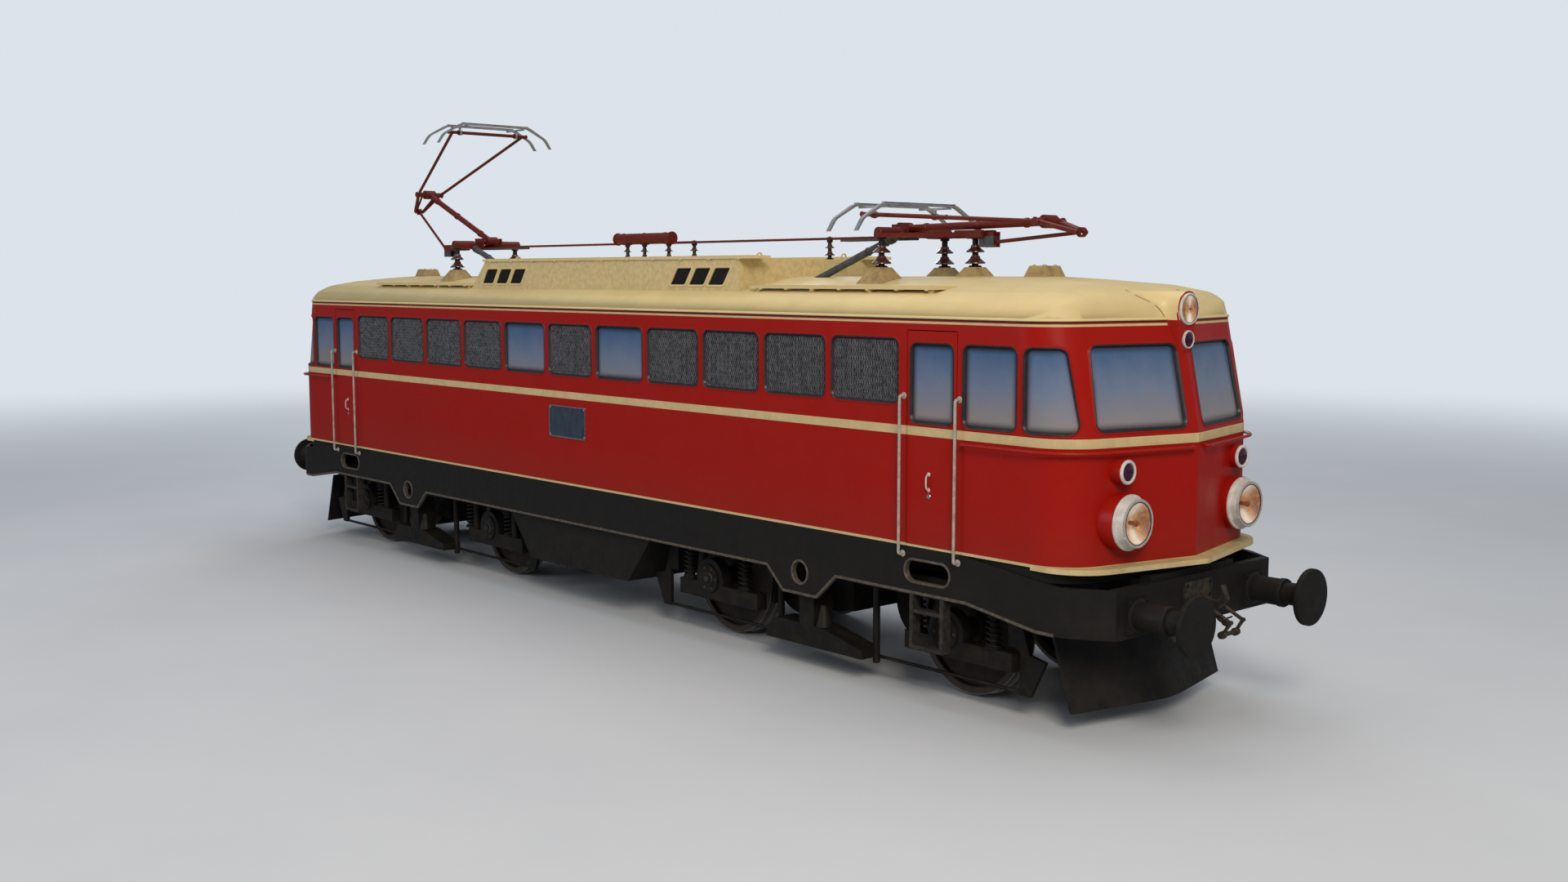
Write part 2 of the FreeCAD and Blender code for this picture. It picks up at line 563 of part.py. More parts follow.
def cone(name, axis, centre, start, end, radius, end_radius):
    """A round tapered bar along an axis."""
    piece = doc.addObject("Part::Cone", name)
    bind(piece, "Radius1", radius)
    bind(piece, "Radius2", end_radius)
    bind(piece, "Height", f"({end}) - ({start})")
    aim(piece, axis, centre, start)
    return piece


def loft(name, sketches):
    """A solid through sketches, with straight sides."""
    piece = doc.addObject("Part::Loft", name)
    piece.Sections = sketches
    piece.Solid = True
    piece.Ruled = True
    return piece


def pipe(name, plane, points, start, radius):
    """A round bar along a path of straight lines and bends."""
    path = outline(f"{name}_path", plane, points, start, closed=False)
    doc.recompute()
    first = [value(text) for text in points[0][:2]]
    second = [value(text) for text in points[1][:2]]
    heading = TURNS[plane].multVec(Vector(second[0] - first[0], second[1] - first[1], 0))
    ring = doc.addObject("Part::Circle", f"{name}_ring")
    bind(ring, "Radius", radius)
    ring.Placement = Placement(Vector(), Rotation(Vector(0, 0, 1), heading))
    across, along = points[0][:2]
    spots = {"XY": (across, along, start), "XZ": (across, start, along), "YZ": (start, across, along)}
    place(ring, *spots[plane])
    piece = doc.addObject("Part::Sweep", name)
    piece.Sections = [ring]
    piece.Spine = (path, [f"Edge{number + 1}" for number in range(len(path.Shape.Edges))])
    piece.Solid = True
    return piece


def fuse(name, pieces):
    """Several pieces made one."""
    piece = doc.addObject("Part::MultiFuse", name)
    piece.Shapes = pieces
    return piece


def cut(name, base, tools):
    """A piece with others cut out of it."""
    piece = doc.addObject("Part::Cut", name)
    piece.Base = base
    piece.Tool = tools[0] if len(tools) == 1 else fuse(f"{name}_tools", tools)
    return piece


def common(name, pieces):
    """What several pieces share."""
    piece = doc.addObject("Part::MultiCommon", name)
    piece.Shapes = pieces
    return piece


def group(name, pieces):
    """Separate solids that share a node."""
    piece = doc.addObject("Part::Compound", name)
    piece.Links = pieces
    return piece


def mirror(name, source, axis):
    """A mirror image, across the middle or across the centre line."""
    piece = doc.addObject("Part::Mirroring", name)
    piece.Source = source
    piece.Normal = Vector(1, 0, 0) if axis == "X" else Vector(0, 1, 0)
    return piece


def both_sides(name, source):
    """A piece and its image across the centre line."""
    return [source, mirror(f"{name}_left", source, "Y")]


def both_ends(name, pieces):
    """Pieces of the front end, and their images at the rear end."""
    return pieces + [mirror(f"{name}_rear_{number}", piece, "X") for number, piece in enumerate(pieces)]


def node(label, piece):
    """Keeps a finished sub-part under its own name."""
    piece.Label = label
    NODES.append(piece)
    return piece


def strut(name, begin, finish, radius):
    """A round bar between two points, each given as three texts."""
    piece = doc.addObject("Part::Cylinder", name)
    spans = [f"(({last}) - ({first}))" for first, last in zip(begin, finish)]
    heading = Vector(*[value(span) for span in spans])
    piece.Placement = Placement(Vector(), Rotation(Vector(0, 0, 1), heading))
    bind(piece, "Radius", radius)
    bind(piece, "Height", f"sqrt({spans[0]}^2 + {spans[1]}^2 + {spans[2]}^2)")
    place(piece, *begin)
    return piece


# The body's outer form, used as it is and inset for walls and glass
SLANT = "sqrt(1 + (nose_drop / half_width)^2)"
CAB_BACK = "fold_reach - cab_length"


def cab_plan(name, inset, lean, height, back):
    """The cab's plan at one height, inset from the body's surface and moved back by the lean."""
    width = f"(half_width - {inset})"
    fold = f"fold_reach - {inset} * {SLANT} - {lean}"
    corner = f"{fold} - nose_drop * {width} / half_width"
    rounding = f"corner_radius - {inset}"
    points = [
        (back, f"-{width}"),
        (corner, f"-{width}", rounding),
        (fold, "0"),
        (corner, width, rounding),
        (back, width),
    ]
    return points if height is None else outline(name, "XY", points, height)


def cab_form(name, inset, low, back):
    """The cab's form from a lower level to the eave, inset from the body's surface."""
    lower = prism(f"{name}_lower", "XY", cab_plan(name, inset, "0", None, back), low, "belt_height")
    belt = cab_plan(f"{name}_belt", inset, "0", "belt_height", back)
    eave = cab_plan(f"{name}_eave", inset, "nose_lean", "eave_height", back)
    return fuse(name, [lower, loft(f"{name}_upper", [belt, eave])])


def window(name, plane, low, high, start, end, rounding="window_rounding"):
    """A cutting shape with rounded corners; low and high are pairs of limits."""
    points = [
        (low[0], low[1], rounding),
        (high[0], low[1], rounding),
        (high[0], high[1], rounding),
        (low[0], high[1], rounding),
    ]
    return prism(name, plane, points, start, end)


cab_block = cab_form("cab_block", "0", "sill_height", CAB_BACK)
cab_hollow = cab_form("cab_hollow", "body_wall", "sill_height - overrun", f"{CAB_BACK} - overrun")

WINDOW_LEAN = "nose_lean * (cab_window_high - belt_height) / (eave_height - belt_height)"
WALL_START = "-half_width - overrun"
WALL_END = "-half_width + body_wall + overrun"
screen = prism(
    "screen_hole",
    "YZ",
    [
        ("-screen_outer_low", "screen_low", "window_rounding"),
        ("-screen_inner", "screen_low", "window_rounding"),
        ("-screen_inner", "screen_high", "window_rounding"),
        ("-screen_outer_high", "screen_high", "window_rounding"),
    ],
    "fold_reach - nose_drop - corner_radius",
    "fold_reach + overrun",
)
cab_window = window(
    "cab_window_hole",
    "XZ",
    ("cab_window_back", "cab_window_low"),
    ("cab_window_front", "cab_window_high"),
    WALL_START,
    WALL_END,
)
corner_window = prism(
    "corner_window_hole",
    "XZ",
    [
        ("corner_window_back", "cab_window_low", "window_rounding"),
        ("corner_window_front", "cab_window_low", "window_rounding"),
        (f"corner_window_front - {WINDOW_LEAN}", "cab_window_high", "window_rounding"),
        ("corner_window_back", "cab_window_high", "window_rounding"),
    ],
    WALL_START,
    "-half_width + corner_radius * 0.8",
)
doorway = box(
    "doorway",
    ("doorway_back", "doorway_front"),
    (WALL_START, WALL_END),
    ("doorway_low", "doorway_high"),
)
panes = []
for name, piece in (("screen", screen), ("cab_window", cab_window), ("corner_window", corner_window)):
    panes += both_sides(name, piece)
openings = panes + both_sides("doorway", doorway)
cab_front = node("cab_front", cut("cab_shell", cab_block, [cab_hollow, *openings]))
cab_rear = node("cab_rear", mirror("cab_shell_rear", cab_front, "X"))

# Side walls with the machine room's windows, their grilles and glass
MIDDLE = WINDOW_COUNT // 2
wall = box(
    "wall_panel",
    (f"-({CAB_BACK})", CAB_BACK),
    ("-half_width", "-half_width + body_wall"),
    ("sill_height", "eave_height"),
)
holes = []
for number in range(WINDOW_COUNT):
    centre = f"({number} - {MIDDLE}) * window_pitch"
    low = (f"{centre} - window_width / 2", "window_low")
    high = (f"{centre} + window_width / 2", "window_high")
    holes.append(window(f"window_hole_{number}", "XZ", low, high, WALL_START, WALL_END))
side_wall_right = node("side_wall_right", cut("side_wall", wall, holes))
side_wall_left = node("side_wall_left", mirror("side_wall_mirror", side_wall_right, "Y"))


def layer(name, depth):
    """A thin upright layer in the side wall, behind its surface."""
    return box(
        name,
        (f"-({CAB_BACK})", CAB_BACK),
        ("-half_width + pane_inset", f"-half_width + pane_inset + {depth}"),
        ("sill_height", "eave_height"),
    )


grilled = fuse("grilled", [hole for number, hole in enumerate(holes) if number not in GLAZED])
glazed = fuse("glazed", [holes[number] for number in GLAZED])
grilles = common("grilles", [layer("grille_layer", "grille_thickness"), grilled])
side_glass = common("side_glass", [layer("glass_layer", "pane_thickness"), glazed])
node("side_grilles", group("side_grille_set", both_sides("grilles", grilles)))
glass_face = cab_form("glass_face", "pane_inset", "sill_height", CAB_BACK)
glass_back = cab_form(
    "glass_back", "(pane_inset + pane_thickness)", "sill_height - overrun", f"{CAB_BACK} - overrun"
)
glass_shell = cut("glass_shell", glass_face, [glass_back])
cab_glass = common("cab_glass", [glass_shell, fuse("pane_holes", panes)])
window_glass = both_ends("cab_glass", [cab_glass]) + both_sides("side_glass", side_glass)
node("window_glass", group("window_glass_set", window_glass))

# Roof with rounded ends
def roof_form(name, inset, reach):
    """The roof's section drawn out along the locomotive, inset from its surface."""
    points = [
        (f"-(half_width - {inset})", "eave_height"),
        ("-shoulder_half_width", f"shoulder_height - {inset}", f"shoulder_radius - {inset}"),
        ("0", f"ridge_height - {inset}", f"ridge_radius - {inset}"),
        ("shoulder_half_width", f"shoulder_height - {inset}", f"shoulder_radius - {inset}"),
        (f"half_width - {inset}", "eave_height"),
    ]
    points.reverse()
    return prism(name, "YZ", points, f"-{reach}", reach)


def dome_plan(level, height, back):
    """The plan of both rounded ends at one height."""
    fold = f"fold_reach - nose_lean - {back}"
    corner = f"{fold} - nose_drop"
    points = [
        (f"-({corner})", "-half_width", "corner_radius"),
        (corner, "-half_width", "corner_radius"),
        (fold, "0"),
        (corner, "half_width", "corner_radius"),
        (f"-({corner})", "half_width", "corner_radius"),
        (f"-({fold})", "0"),
    ]
    return outline(f"dome_plan_{level}", "XY", points, height)


DOME = (
    ("eave_height", "0"),
    ("dome_low_height", "dome_low_back"),
    ("dome_middle_height", "dome_middle_back"),
    ("dome_high_height", "dome_high_back"),
    ("dome_top_height", "dome_top_back"),
    ("dome_end_height", "dome_end_back"),
)
dome = loft("dome", [dome_plan(level, *step) for level, step in enumerate(DOME)])
roof_block = common("roof_block", [roof_form("roof_outer", "0", "fold_reach"), dome])
roof_hollow = roof_form("roof_hollow", "roof_wall", "(fold_reach - ceiling_margin)")
node("roof_shell", cut("roof", roof_block, [roof_hollow]))

# Underframe: floor, skirts and buffer beams
skirt_points = [
    ("0", "skirt_low"),
    ("deep_start", "skirt_low"),
    ("deep_full", "skirt_deep"),
    ("deep_end", "skirt_deep"),
    ("step_start", "skirt_step"),
    ("step_end", "skirt_step"),
    ("end_start", "skirt_end_low"),
    ("bend_start", "skirt_end_low"),
    ("bend_start", "band_height"),
    ("band_start", "sill_height"),
    ("0", "sill_height"),
]
skirt = prism("skirt", "XZ", skirt_points, "-half_width", "-half_width + skirt_thickness")
step_hole = window(
    "step_hole",
    "XZ",
    ("step_hole_back", "step_hole_low"),
    ("step_hole_front", "step_hole_high"),
    WALL_START,
    WALL_END,
    "step_hole_rounding",
)
jack_hole = rod(
    "jack_hole", "Y", ("jack_hole_reach", "jack_hole_height"), WALL_START, WALL_END, "jack_hole_radius"
)
skirt_side = cut("skirt_side", skirt, [step_hole, jack_hole])
bend_points = [
    ("bend_start", "-half_width"),
    ("bend_middle", "-bend_half_width"),
    ("beam_reach", "-beam_half_width"),
    ("beam_reach - skirt_thickness", "-beam_half_width"),
    ("bend_middle - skirt_thickness / 2", "-bend_half_width + skirt_thickness"),
    ("bend_start", "-half_width + skirt_thickness"),
]
bend = prism("skirt_bend", "XY", bend_points, "skirt_end_low", "band_height")
corner = fuse("frame_corner", [skirt_side, bend])
corners = both_sides("frame_corner", corner)
beam = box(
    "buffer_beam",
    ("beam_reach - beam_thickness", "beam_reach"),
    ("-beam_half_width", "beam_half_width"),
    ("beam_low", "band_height"),
)
floor = prism(
    "floor",
    "XY",
    cab_plan("floor", "floor_inset", "0", None, "0"),
    "floor_low",
    "sill_height",
)
beam_gusset = box(
    "beam_gusset",
    ("beam_reach - 2 * beam_thickness", "beam_reach - beam_thickness / 2"),
    ("-plough_stay_side", "plough_stay_side"),
    ("band_height - beam_thickness", "sill_height - beam_thickness"),
)
frame_half = fuse("frame_half", [*corners, beam, beam_gusset, floor])
frame_whole = fuse("frame_whole", [frame_half, mirror("frame_half_rear", frame_half, "X")])
node("underframe", frame_whole)

# Ledge below the front
ledge_points = cab_plan("ledge", "0", "-ledge_shift", None, "band_start")
ledge_block = prism("ledge_block", "XY", ledge_points, "ledge_low", "sill_height + beam_thickness / 4")
ledge_core = prism(
    "ledge_core",
    "XY",
    cab_plan("ledge_core", "0", "0", None, "band_start - overrun"),
    "ledge_low - overrun",
    "sill_height + overrun",
)
ledge = cut("ledge", ledge_block, [ledge_core])
node("nose_ledges", group("nose_ledge_set", both_ends("ledge", [ledge])))

# Lamps
HOOD = (
    ("hood_reach", "hood", "hood_tip_half_width"),
    ("hood_foot_reach", "hood_foot", "hood_foot_tip_half_width"),
    ("hood_spread_reach", "hood_spread", "hood_foot_tip_half_width"),
    ("hood_back", "hood_back", "hood_foot_tip_half_width"),
)


def hood_section(reach, stage, tip):
    """The hood cut across: a round top, sides that taper to a round tip."""
    side = f"{stage}_half_width"
    points = [
        (f"-{tip}", "hood_low", "hood_tip_rounding"),
        (tip, "hood_low", "hood_tip_rounding"),
        (side, f"{stage}_neck"),
        (side, f"{stage}_top", f"{stage}_rounding"),
        (f"-{side}", f"{stage}_top", f"{stage}_rounding"),
        (f"-{side}", f"{stage}_neck"),
    ]
    return outline(f"{stage}_section", "YZ", points, reach)


hood_form = loft("hood_form", [hood_section(*stage) for stage in HOOD])
hood = cut("hood", hood_form, [roof_block, cab_block])
node("lamp_hoods", group("lamp_hood_set", both_ends("hood", [hood])))

HOUSED_LAMPS = (
    ("head", "head_lamp_side", "head_lamp_height", "head_lamp_reach", "head_lamp_rim_depth"),
    ("tail", "tail_lamp_side", "tail_lamp_height", "tail_lamp_reach", "lamp_rim_depth"),
)
barrels = []
rims = []
lenses = []


def lamp(name, spot, reach, depth, radius, lens_radius):
    """A lamp's rim and its glass."""
    face = f"{reach} + {depth}"
    disc = rod(f"{name}_rim_disc", "X", spot, reach, face, radius)
    bore = rod(f"{name}_rim_bore", "X", spot, f"{reach} - overrun", f"{face} + overrun", lens_radius)
    rim = cut(f"{name}_rim", disc, [bore])
    lens = rod(f"{name}_lens", "X", spot, f"{face} - 2 * lens_depth", f"{face} - lens_depth", lens_radius)
    return rim, lens


for name, side, height, reach, depth in HOUSED_LAMPS:
    spot = (f"-{side}", height)
    solid = rod(
        f"{name}_barrel_solid", "X", spot, f"{reach} - corner_radius", reach, f"{name}_lamp_barrel"
    )
    barrel = cut(f"{name}_barrel", solid, [cab_block])
    rim, lens = lamp(name, spot, reach, depth, f"{name}_lamp_radius", f"{name}_lamp_lens")
    if name == "head":
        flange_face = f"{reach} + head_lamp_flange_depth"
        flange = rod("head_flange_disc", "X", spot, reach, flange_face, "head_lamp_flange")
        bore = rod("head_flange_bore", "X", spot, f"{reach} - overrun", f"{flange_face} + overrun", "head_lamp_lens")
        rim = fuse("head_rim_whole", [rim, cut("head_flange", flange, [bore])])
    barrels += both_sides(f"{name}_barrel", barrel)
    rims += both_sides(f"{name}_rim", rim)
    lenses += both_sides(f"{name}_lens", lens)
for name in ("top", "low"):
    spot = ("0", f"{name}_lamp_height")
    rim, lens = lamp(name, spot, "hood_reach", "lamp_rim_depth", f"{name}_lamp_radius", f"{name}_lamp_lens")
    rims.append(rim)
    lenses.append(lens)
node("lamp_housings", group("lamp_housing_set", both_ends("barrels", barrels)))
node("lamp_rims", group("lamp_rim_set", both_ends("rims", rims)))
node("lamp_lenses", group("lamp_lens_set", both_ends("lenses", lenses)))

# Buffers and draw gear
BUFFER = ("-buffer_side", "buffer_height")
BUFFER_FACE = "beam_reach + buffer_length"
TUBE_END = "beam_reach + buffer_length * buffer_tube_share"
plate = box(
    "buffer_base",
    ("beam_reach", "beam_reach + buffer_plate_depth"),
    ("-buffer_side - buffer_plate / 2", "-buffer_side + buffer_plate / 2"),
    ("buffer_height - buffer_plate / 2", "buffer_height + buffer_plate / 2"),
)
tube = rod("buffer_tube", "X", BUFFER, "beam_reach", TUBE_END, "buffer_tube_radius")
housing = fuse("buffer_housing", [plate, tube])
housings = both_ends("housings", both_sides("buffer_housing", housing))
node("buffer_housings", group("buffer_housing_set", housings))
plunger_end = f"{BUFFER_FACE} - buffer_head_depth / 2"
plunger = rod("plunger", "X", BUFFER, TUBE_END, plunger_end, "plunger_radius")
disc_back = f"{BUFFER_FACE} - buffer_head_depth"
disc = rod("buffer_disc", "X", BUFFER, disc_back, BUFFER_FACE, "buffer_radius")
heads = both_ends("heads", both_sides("buffer_head", fuse("buffer_head", [plunger, disc])))
node("buffer_heads", group("buffer_head_set", heads))

hook_plate = box(
    "hook_plate",
    ("beam_reach", "beam_reach + buffer_plate_depth"),
    ("-hook_plate_half_width", "hook_plate_half_width"),
    ("hook_plate_low", "hook_plate_high"),
)
HOOK_TIP = "beam_reach + hook_length"
PIN_REACH = f"{HOOK_TIP} - 2 * hook_depth"
hook = prism(
    "hook_form",
    "XZ",
    [
        ("beam_reach", "buffer_height - hook_depth / 2"),
        (f"{HOOK_TIP} - hook_depth", "buffer_height - hook_depth / 2", "hook_depth / 2"),
        (f"{HOOK_TIP} + hook_depth / 3", "buffer_height + hook_depth", "hook_depth / 2"),
        (f"{HOOK_TIP} - hook_depth / 2", "buffer_height + 3 * hook_depth"),
        (f"{HOOK_TIP} - hook_depth / 2", "buffer_height + hook_depth"),
        (f"{HOOK_TIP} - 2 * hook_depth", "buffer_height + hook_depth / 2"),
        ("beam_reach", "buffer_height + hook_depth"),
    ],
    "-hook_half_width",
    "hook_half_width",
)
hook_pin = rod(
    "hook_pin",
    "Y",
    (PIN_REACH, "buffer_height"),
    "-link_side - 2 * link_radius",
    "link_side + 2 * link_radius",
    "link_radius * 1.2",
)
LINK_TOP = (PIN_REACH, "-link_side", "buffer_height")
LINK_BEND = (f"{PIN_REACH} + link_swing", "-link_side", "buffer_height - link_drop / 2")
LINK_FOOT = (f"{PIN_REACH} + link_foot", "-link_side", "buffer_height - link_drop")
link_bars = [
    strut("link_upper", LINK_TOP, LINK_BEND, "link_radius"),
    strut("link_lower", LINK_BEND, LINK_FOOT, "link_radius"),
    rod(
        "link_knuckle",
        "Y",
        (LINK_BEND[0], LINK_BEND[2]),
        "-link_side - link_radius",
        "-link_side + link_radius",
        "link_radius * 1.2",
    ),
]
link = fuse("link", link_bars)
link_bar = rod(
    "link_bar",
    "Y",
    (LINK_FOOT[0], LINK_FOOT[2]),
    "-link_side - 2 * link_radius",
    "link_side + 2 * link_radius",
    "link_radius * 1.2",
)
draw_gear = fuse("draw_hook", [hook_plate, hook, hook_pin, link_bar, *both_sides("link", link)])
node("draw_gear", group("draw_gear_set", both_ends("draw_hook", [draw_gear])))

# Handrails, grab handles and the rail round each cab
RAIL_LINE = "-(half_width + handrail_stand)"


def door_handrail(name, reach):
    """An upright handrail beside a door."""
    points = [
        ("-half_width", "handrail_low"),
        (RAIL_LINE, "handrail_low", "handrail_bend"),
        (RAIL_LINE, "handrail_high", "handrail_bend"),
        ("-half_width", "handrail_high"),
    ]
    return pipe(name, "YZ", points, reach, "handrail_radius")


handrails = []
for name, reach in (
    ("handrail_inner", "doorway_back - handrail_margin"),
    ("handrail_outer", "doorway_front + handrail_margin"),
):
    handrails += both_sides(name, door_handrail(name, reach))
node("door_handrails", group("handrail_set", both_ends("handrails", handrails)))

RAIL_FOLD = f"(fold_reach + handrail_stand * {SLANT})"
RAIL_CORNER = f"{RAIL_FOLD} - nose_drop * (half_width + handrail_stand) / half_width"
RAIL_TIP = "- nose_drop * front_rail_gap / half_width"
front_rail = pipe(
    "front_rail_bar",
    "XY",
    [
        ("front_rail_back", "-half_width + overrun / 2"),
        ("front_rail_back", RAIL_LINE, "handrail_bend"),
        (RAIL_CORNER, RAIL_LINE, "corner_radius + handrail_stand"),
        (f"{RAIL_FOLD} {RAIL_TIP}", "-front_rail_gap", "handrail_bend"),
        (f"fold_reach - overrun / 2 {RAIL_TIP}", "-front_rail_gap"),
    ],
    "front_rail_height",
    "handrail_radius",
)
GRAB_BACK = "fold_reach - nose_drop - corner_radius / 5"
GRAB_FRONT = "fold_reach - nose_drop + handrail_stand"
grab = pipe(
    "grab_bar",
    "XZ",
    [
        (GRAB_BACK, "grab_low"),
        (GRAB_FRONT, "grab_low", "handrail_bend"),
        (GRAB_FRONT, "grab_high", "handrail_bend"),
        (GRAB_BACK, "grab_high"),
    ],
    "-grab_side",
    "grab_radius",
)
rails = both_ends("rails", both_sides("front_rail", cut("front_rail", front_rail, [cab_block])))
# Each end has one grab handle, to the left of a driver who looks out of it
grab_handle = cut("grab_handle", grab, [cab_block])
rails += [mirror("grab_handle_front", grab_handle, "Y"), mirror("grab_handle_rear", grab_handle, "X")]
node("front_rails", group("front_rail_set", rails))

# Ladders below the doors
LADDER_SIDE = ("-half_width", "-half_width + ladder_depth")
ladder_bars = [
    box(
        "ladder_bar_back",
        ("ladder_back", "ladder_back + ladder_bar"),
        LADDER_SIDE,
        ("ladder_low", "skirt_step"),
    ),
    box(
        "ladder_bar_front",
        ("ladder_front - ladder_bar", "ladder_front"),
        LADDER_SIDE,
        ("ladder_low", "skirt_step"),
    ),
]
for name, level in (("ladder_foot", "ladder_low"), ("ladder_tread", "ladder_tread")):
    ladder_bars.append(
        box(name, ("ladder_back", "ladder_front"), LADDER_SIDE, (level, f"{level} + tread_thickness"))
    )
ladders = both_ends("ladders", both_sides("ladder", fuse("ladder", ladder_bars)))
node("entry_steps", group("ladder_set", ladders))

# Ploughs below the buffer beams
def plough_plan(name, height, back):
    """The plough blade's plan at one height."""
    points = [
        (f"plough_corner - {back}", "-plough_half_width"),
        (f"plough_reach - {back}", "0", "plough_half_width"),
        (f"plough_corner - {back}", "plough_half_width"),
        (f"plough_corner - plough_thickness - {back}", "plough_half_width"),
        (f"plough_reach - plough_thickness - {back}", "0", "plough_half_width"),
        (f"plough_corner - plough_thickness - {back}", "-plough_half_width"),
    ]
    return outline(name, "XY", points, height)


blade = loft(
    "plough_blade",
    [plough_plan("plough_foot", "plough_low", "0"), plough_plan("plough_head", "plough_high", "plough_rake")],
)
STAY_FRONT = (
    "plough_reach - plough_rake"
    " - (plough_reach - plough_corner) * plough_stay_side / plough_half_width - plough_thickness / 2"
)
stay = box(
    "plough_stay",
    (f"{STAY_FRONT} - plough_stay_length", STAY_FRONT),
    ("-plough_stay_side - plough_stay_width / 2", "-plough_stay_side + plough_stay_width / 2"),
    ("plough_high - 3 * plough_thickness", "floor_low"),
)
plough = fuse("plough", [blade, *both_sides("plough_stay", stay)])
node("rail_ploughs", group("plough_set", both_ends("plough", [plough])))

# Transformer tank between the bogies
TANK_SIDE = "half_width - skirt_thickness - tank_inset"
tank = prism(
    "tank",
    "XZ",
    [
        ("-tank_low_half_length", "tank_low"),
        ("tank_low_half_length", "tank_low"),
        ("tank_half_length", "tank_shoulder"),
        ("tank_half_length", "floor_low"),
        ("-tank_half_length", "floor_low"),
        ("-tank_half_length", "tank_shoulder"),
    ],
    f"-({TANK_SIDE})",
    TANK_SIDE,
)
node("transformer", tank)

# Roof hatch with its grilles
hatch_form = prism(
    "hatch_form",
    "XZ",
    [
        ("-hatch_back - hatch_slope", "roof_box_low - plank_inner / 3"),
        ("hatch_front", "roof_box_low - plank_inner / 3"),
        ("hatch_front", "hatch_top"),
        ("-hatch_back", "hatch_top"),
        ("-hatch_back - hatch_slope", "hatch_low"),
    ],
    "-hatch_half_width",
    "hatch_half_width",
)
pockets = []
hatch_panels = []
for set_name, set_start in (("front", "hatch_grille_start"), ("rear", "-hatch_grille_rear_start")):
    for number in range(3):
        start = f"{set_start} + {number} * hatch_grille_pitch"
        points = [
            (start, "hatch_grille_low"),
            (f"{start} + hatch_grille_length", "hatch_grille_low"),
            (f"{start} + hatch_grille_length + hatch_grille_slant", "hatch_grille_high"),
            (f"{start} + hatch_grille_slant", "hatch_grille_high"),
        ]
        pocket = prism(
            f"hatch_pocket_{set_name}_{number}",
            "XZ",
            points,
            "-hatch_half_width - overrun",
            "-hatch_half_width + hatch_grille_depth",
        )
        panel = prism(
            f"hatch_panel_{set_name}_{number}",
            "XZ",
            points,
            "-hatch_half_width + hatch_grille_depth - grille_thickness",
            "-hatch_half_width + hatch_grille_depth",
        )
        pockets += both_sides(f"hatch_pocket_{set_name}_{number}", pocket)
        hatch_panels += both_sides(f"hatch_panel_{set_name}_{number}", panel)
hatch = cut("hatch", hatch_form, [roof_block, *pockets])
node("roof_hatch", hatch)
node("hatch_grilles", group("hatch_grille_set", hatch_panels))

# Walkway boards on the hatch and the roof
boards = both_sides(
    "hatch_plank",
    box(
        "hatch_plank",
        ("-hatch_back - plank_thickness", "hatch_front + plank_overhang"),
        ("-plank_outer", "-plank_inner"),
        ("hatch_top", "hatch_top + plank_thickness"),
    ),
)
walkway_parts = [
    box(
        "walkway_board",
        ("walkway_start", "walkway_end"),
        ("-plank_outer", "-plank_inner"),
        ("walkway_height", "walkway_height + plank_thickness"),
    )
]
for number in range(4):
    spot = f"walkway_start + walkway_post + {number} * (walkway_end - walkway_start - 3 * walkway_post) / 3"
    walkway_parts.append(
        box(
            f"walkway_post_{number}",
            (spot, f"{spot} + walkway_post"),
            ("-plank_outer + walkway_post / 2", "-plank_inner - walkway_post"),
            ("walkway_height - 3 * walkway_post", "walkway_height + plank_thickness / 2"),
        )
    )
walkway = cut("walkway", fuse("walkway_form", walkway_parts), [roof_block])
boards += both_ends("walkway", both_sides("walkway", walkway))
node("roof_walkways", group("walkway_set", boards))

# Plinths and small boxes on the roof
CROSS = ("base_cross_reach", "-base_cross_side")
TIP = ("base_tip_reach", "0")


SQUARE = (
    ("plinth_low", "plinth_half_base", "plinth_half_base"),
    ("plinth_top", "plinth_half_top", "plinth_half_top"),
)
SMALL_BOX = (
    ("roof_box_low - plank_thickness", "roof_box_half_base", "roof_box_side_base"),
    ("roof_box_top", "roof_box_half_top", "roof_box_side_top"),
)


def plinth(name, spot, plan=SQUARE):
    """A plinth, wider at its foot, cut to sit on the roof."""
    plans = []
    for number, (level, half, side) in enumerate(plan):
        points = [
            (f"{spot[0]} - {half}", f"{spot[1]} - {side}"),
            (f"{spot[0]} + {half}", f"{spot[1]} - {side}"),
            (f"{spot[0]} + {half}", f"{spot[1]} + {side}"),
            (f"{spot[0]} - {half}", f"{spot[1]} + {side}"),
        ]
        plans.append(outline(f"{name}_plan_{number}", "XY", points, level))
    return cut(name, loft(f"{name}_form", plans), [roof_block])


plinths = [
    *both_sides("cross_plinth", plinth("cross_plinth", CROSS)),
    plinth("tip_plinth", TIP),
    plinth("roof_box", ("roof_box_middle", "0"), SMALL_BOX),
]
node("roof_plinths", group("plinth_set", both_ends("plinths", plinths)))

# Insulators on the plinths and on the hatch
def insulator(name, spot, low, high, sheds, radius, upper_radius):
    """A post with conical sheds."""
    pieces = [rod(f"{name}_post", "Z", spot, low, high, "insulator_post")]
    for number in range(sheds):
        start = f"{low} + shed_lift + {number} * shed_pitch"
        wide = radius if number == 0 else upper_radius
        pieces.append(
            cone(f"{name}_shed_{number}", "Z", spot, start, f"{start} + shed_depth", wide, "insulator_post")
        )
    return fuse(name, pieces)


def roof_insulator(name, spot):
    """An insulator between a plinth and the pantograph's base."""
    return insulator(name, spot, "plinth_top", "base_low", 2, "shed_radius", "shed_upper_radius")


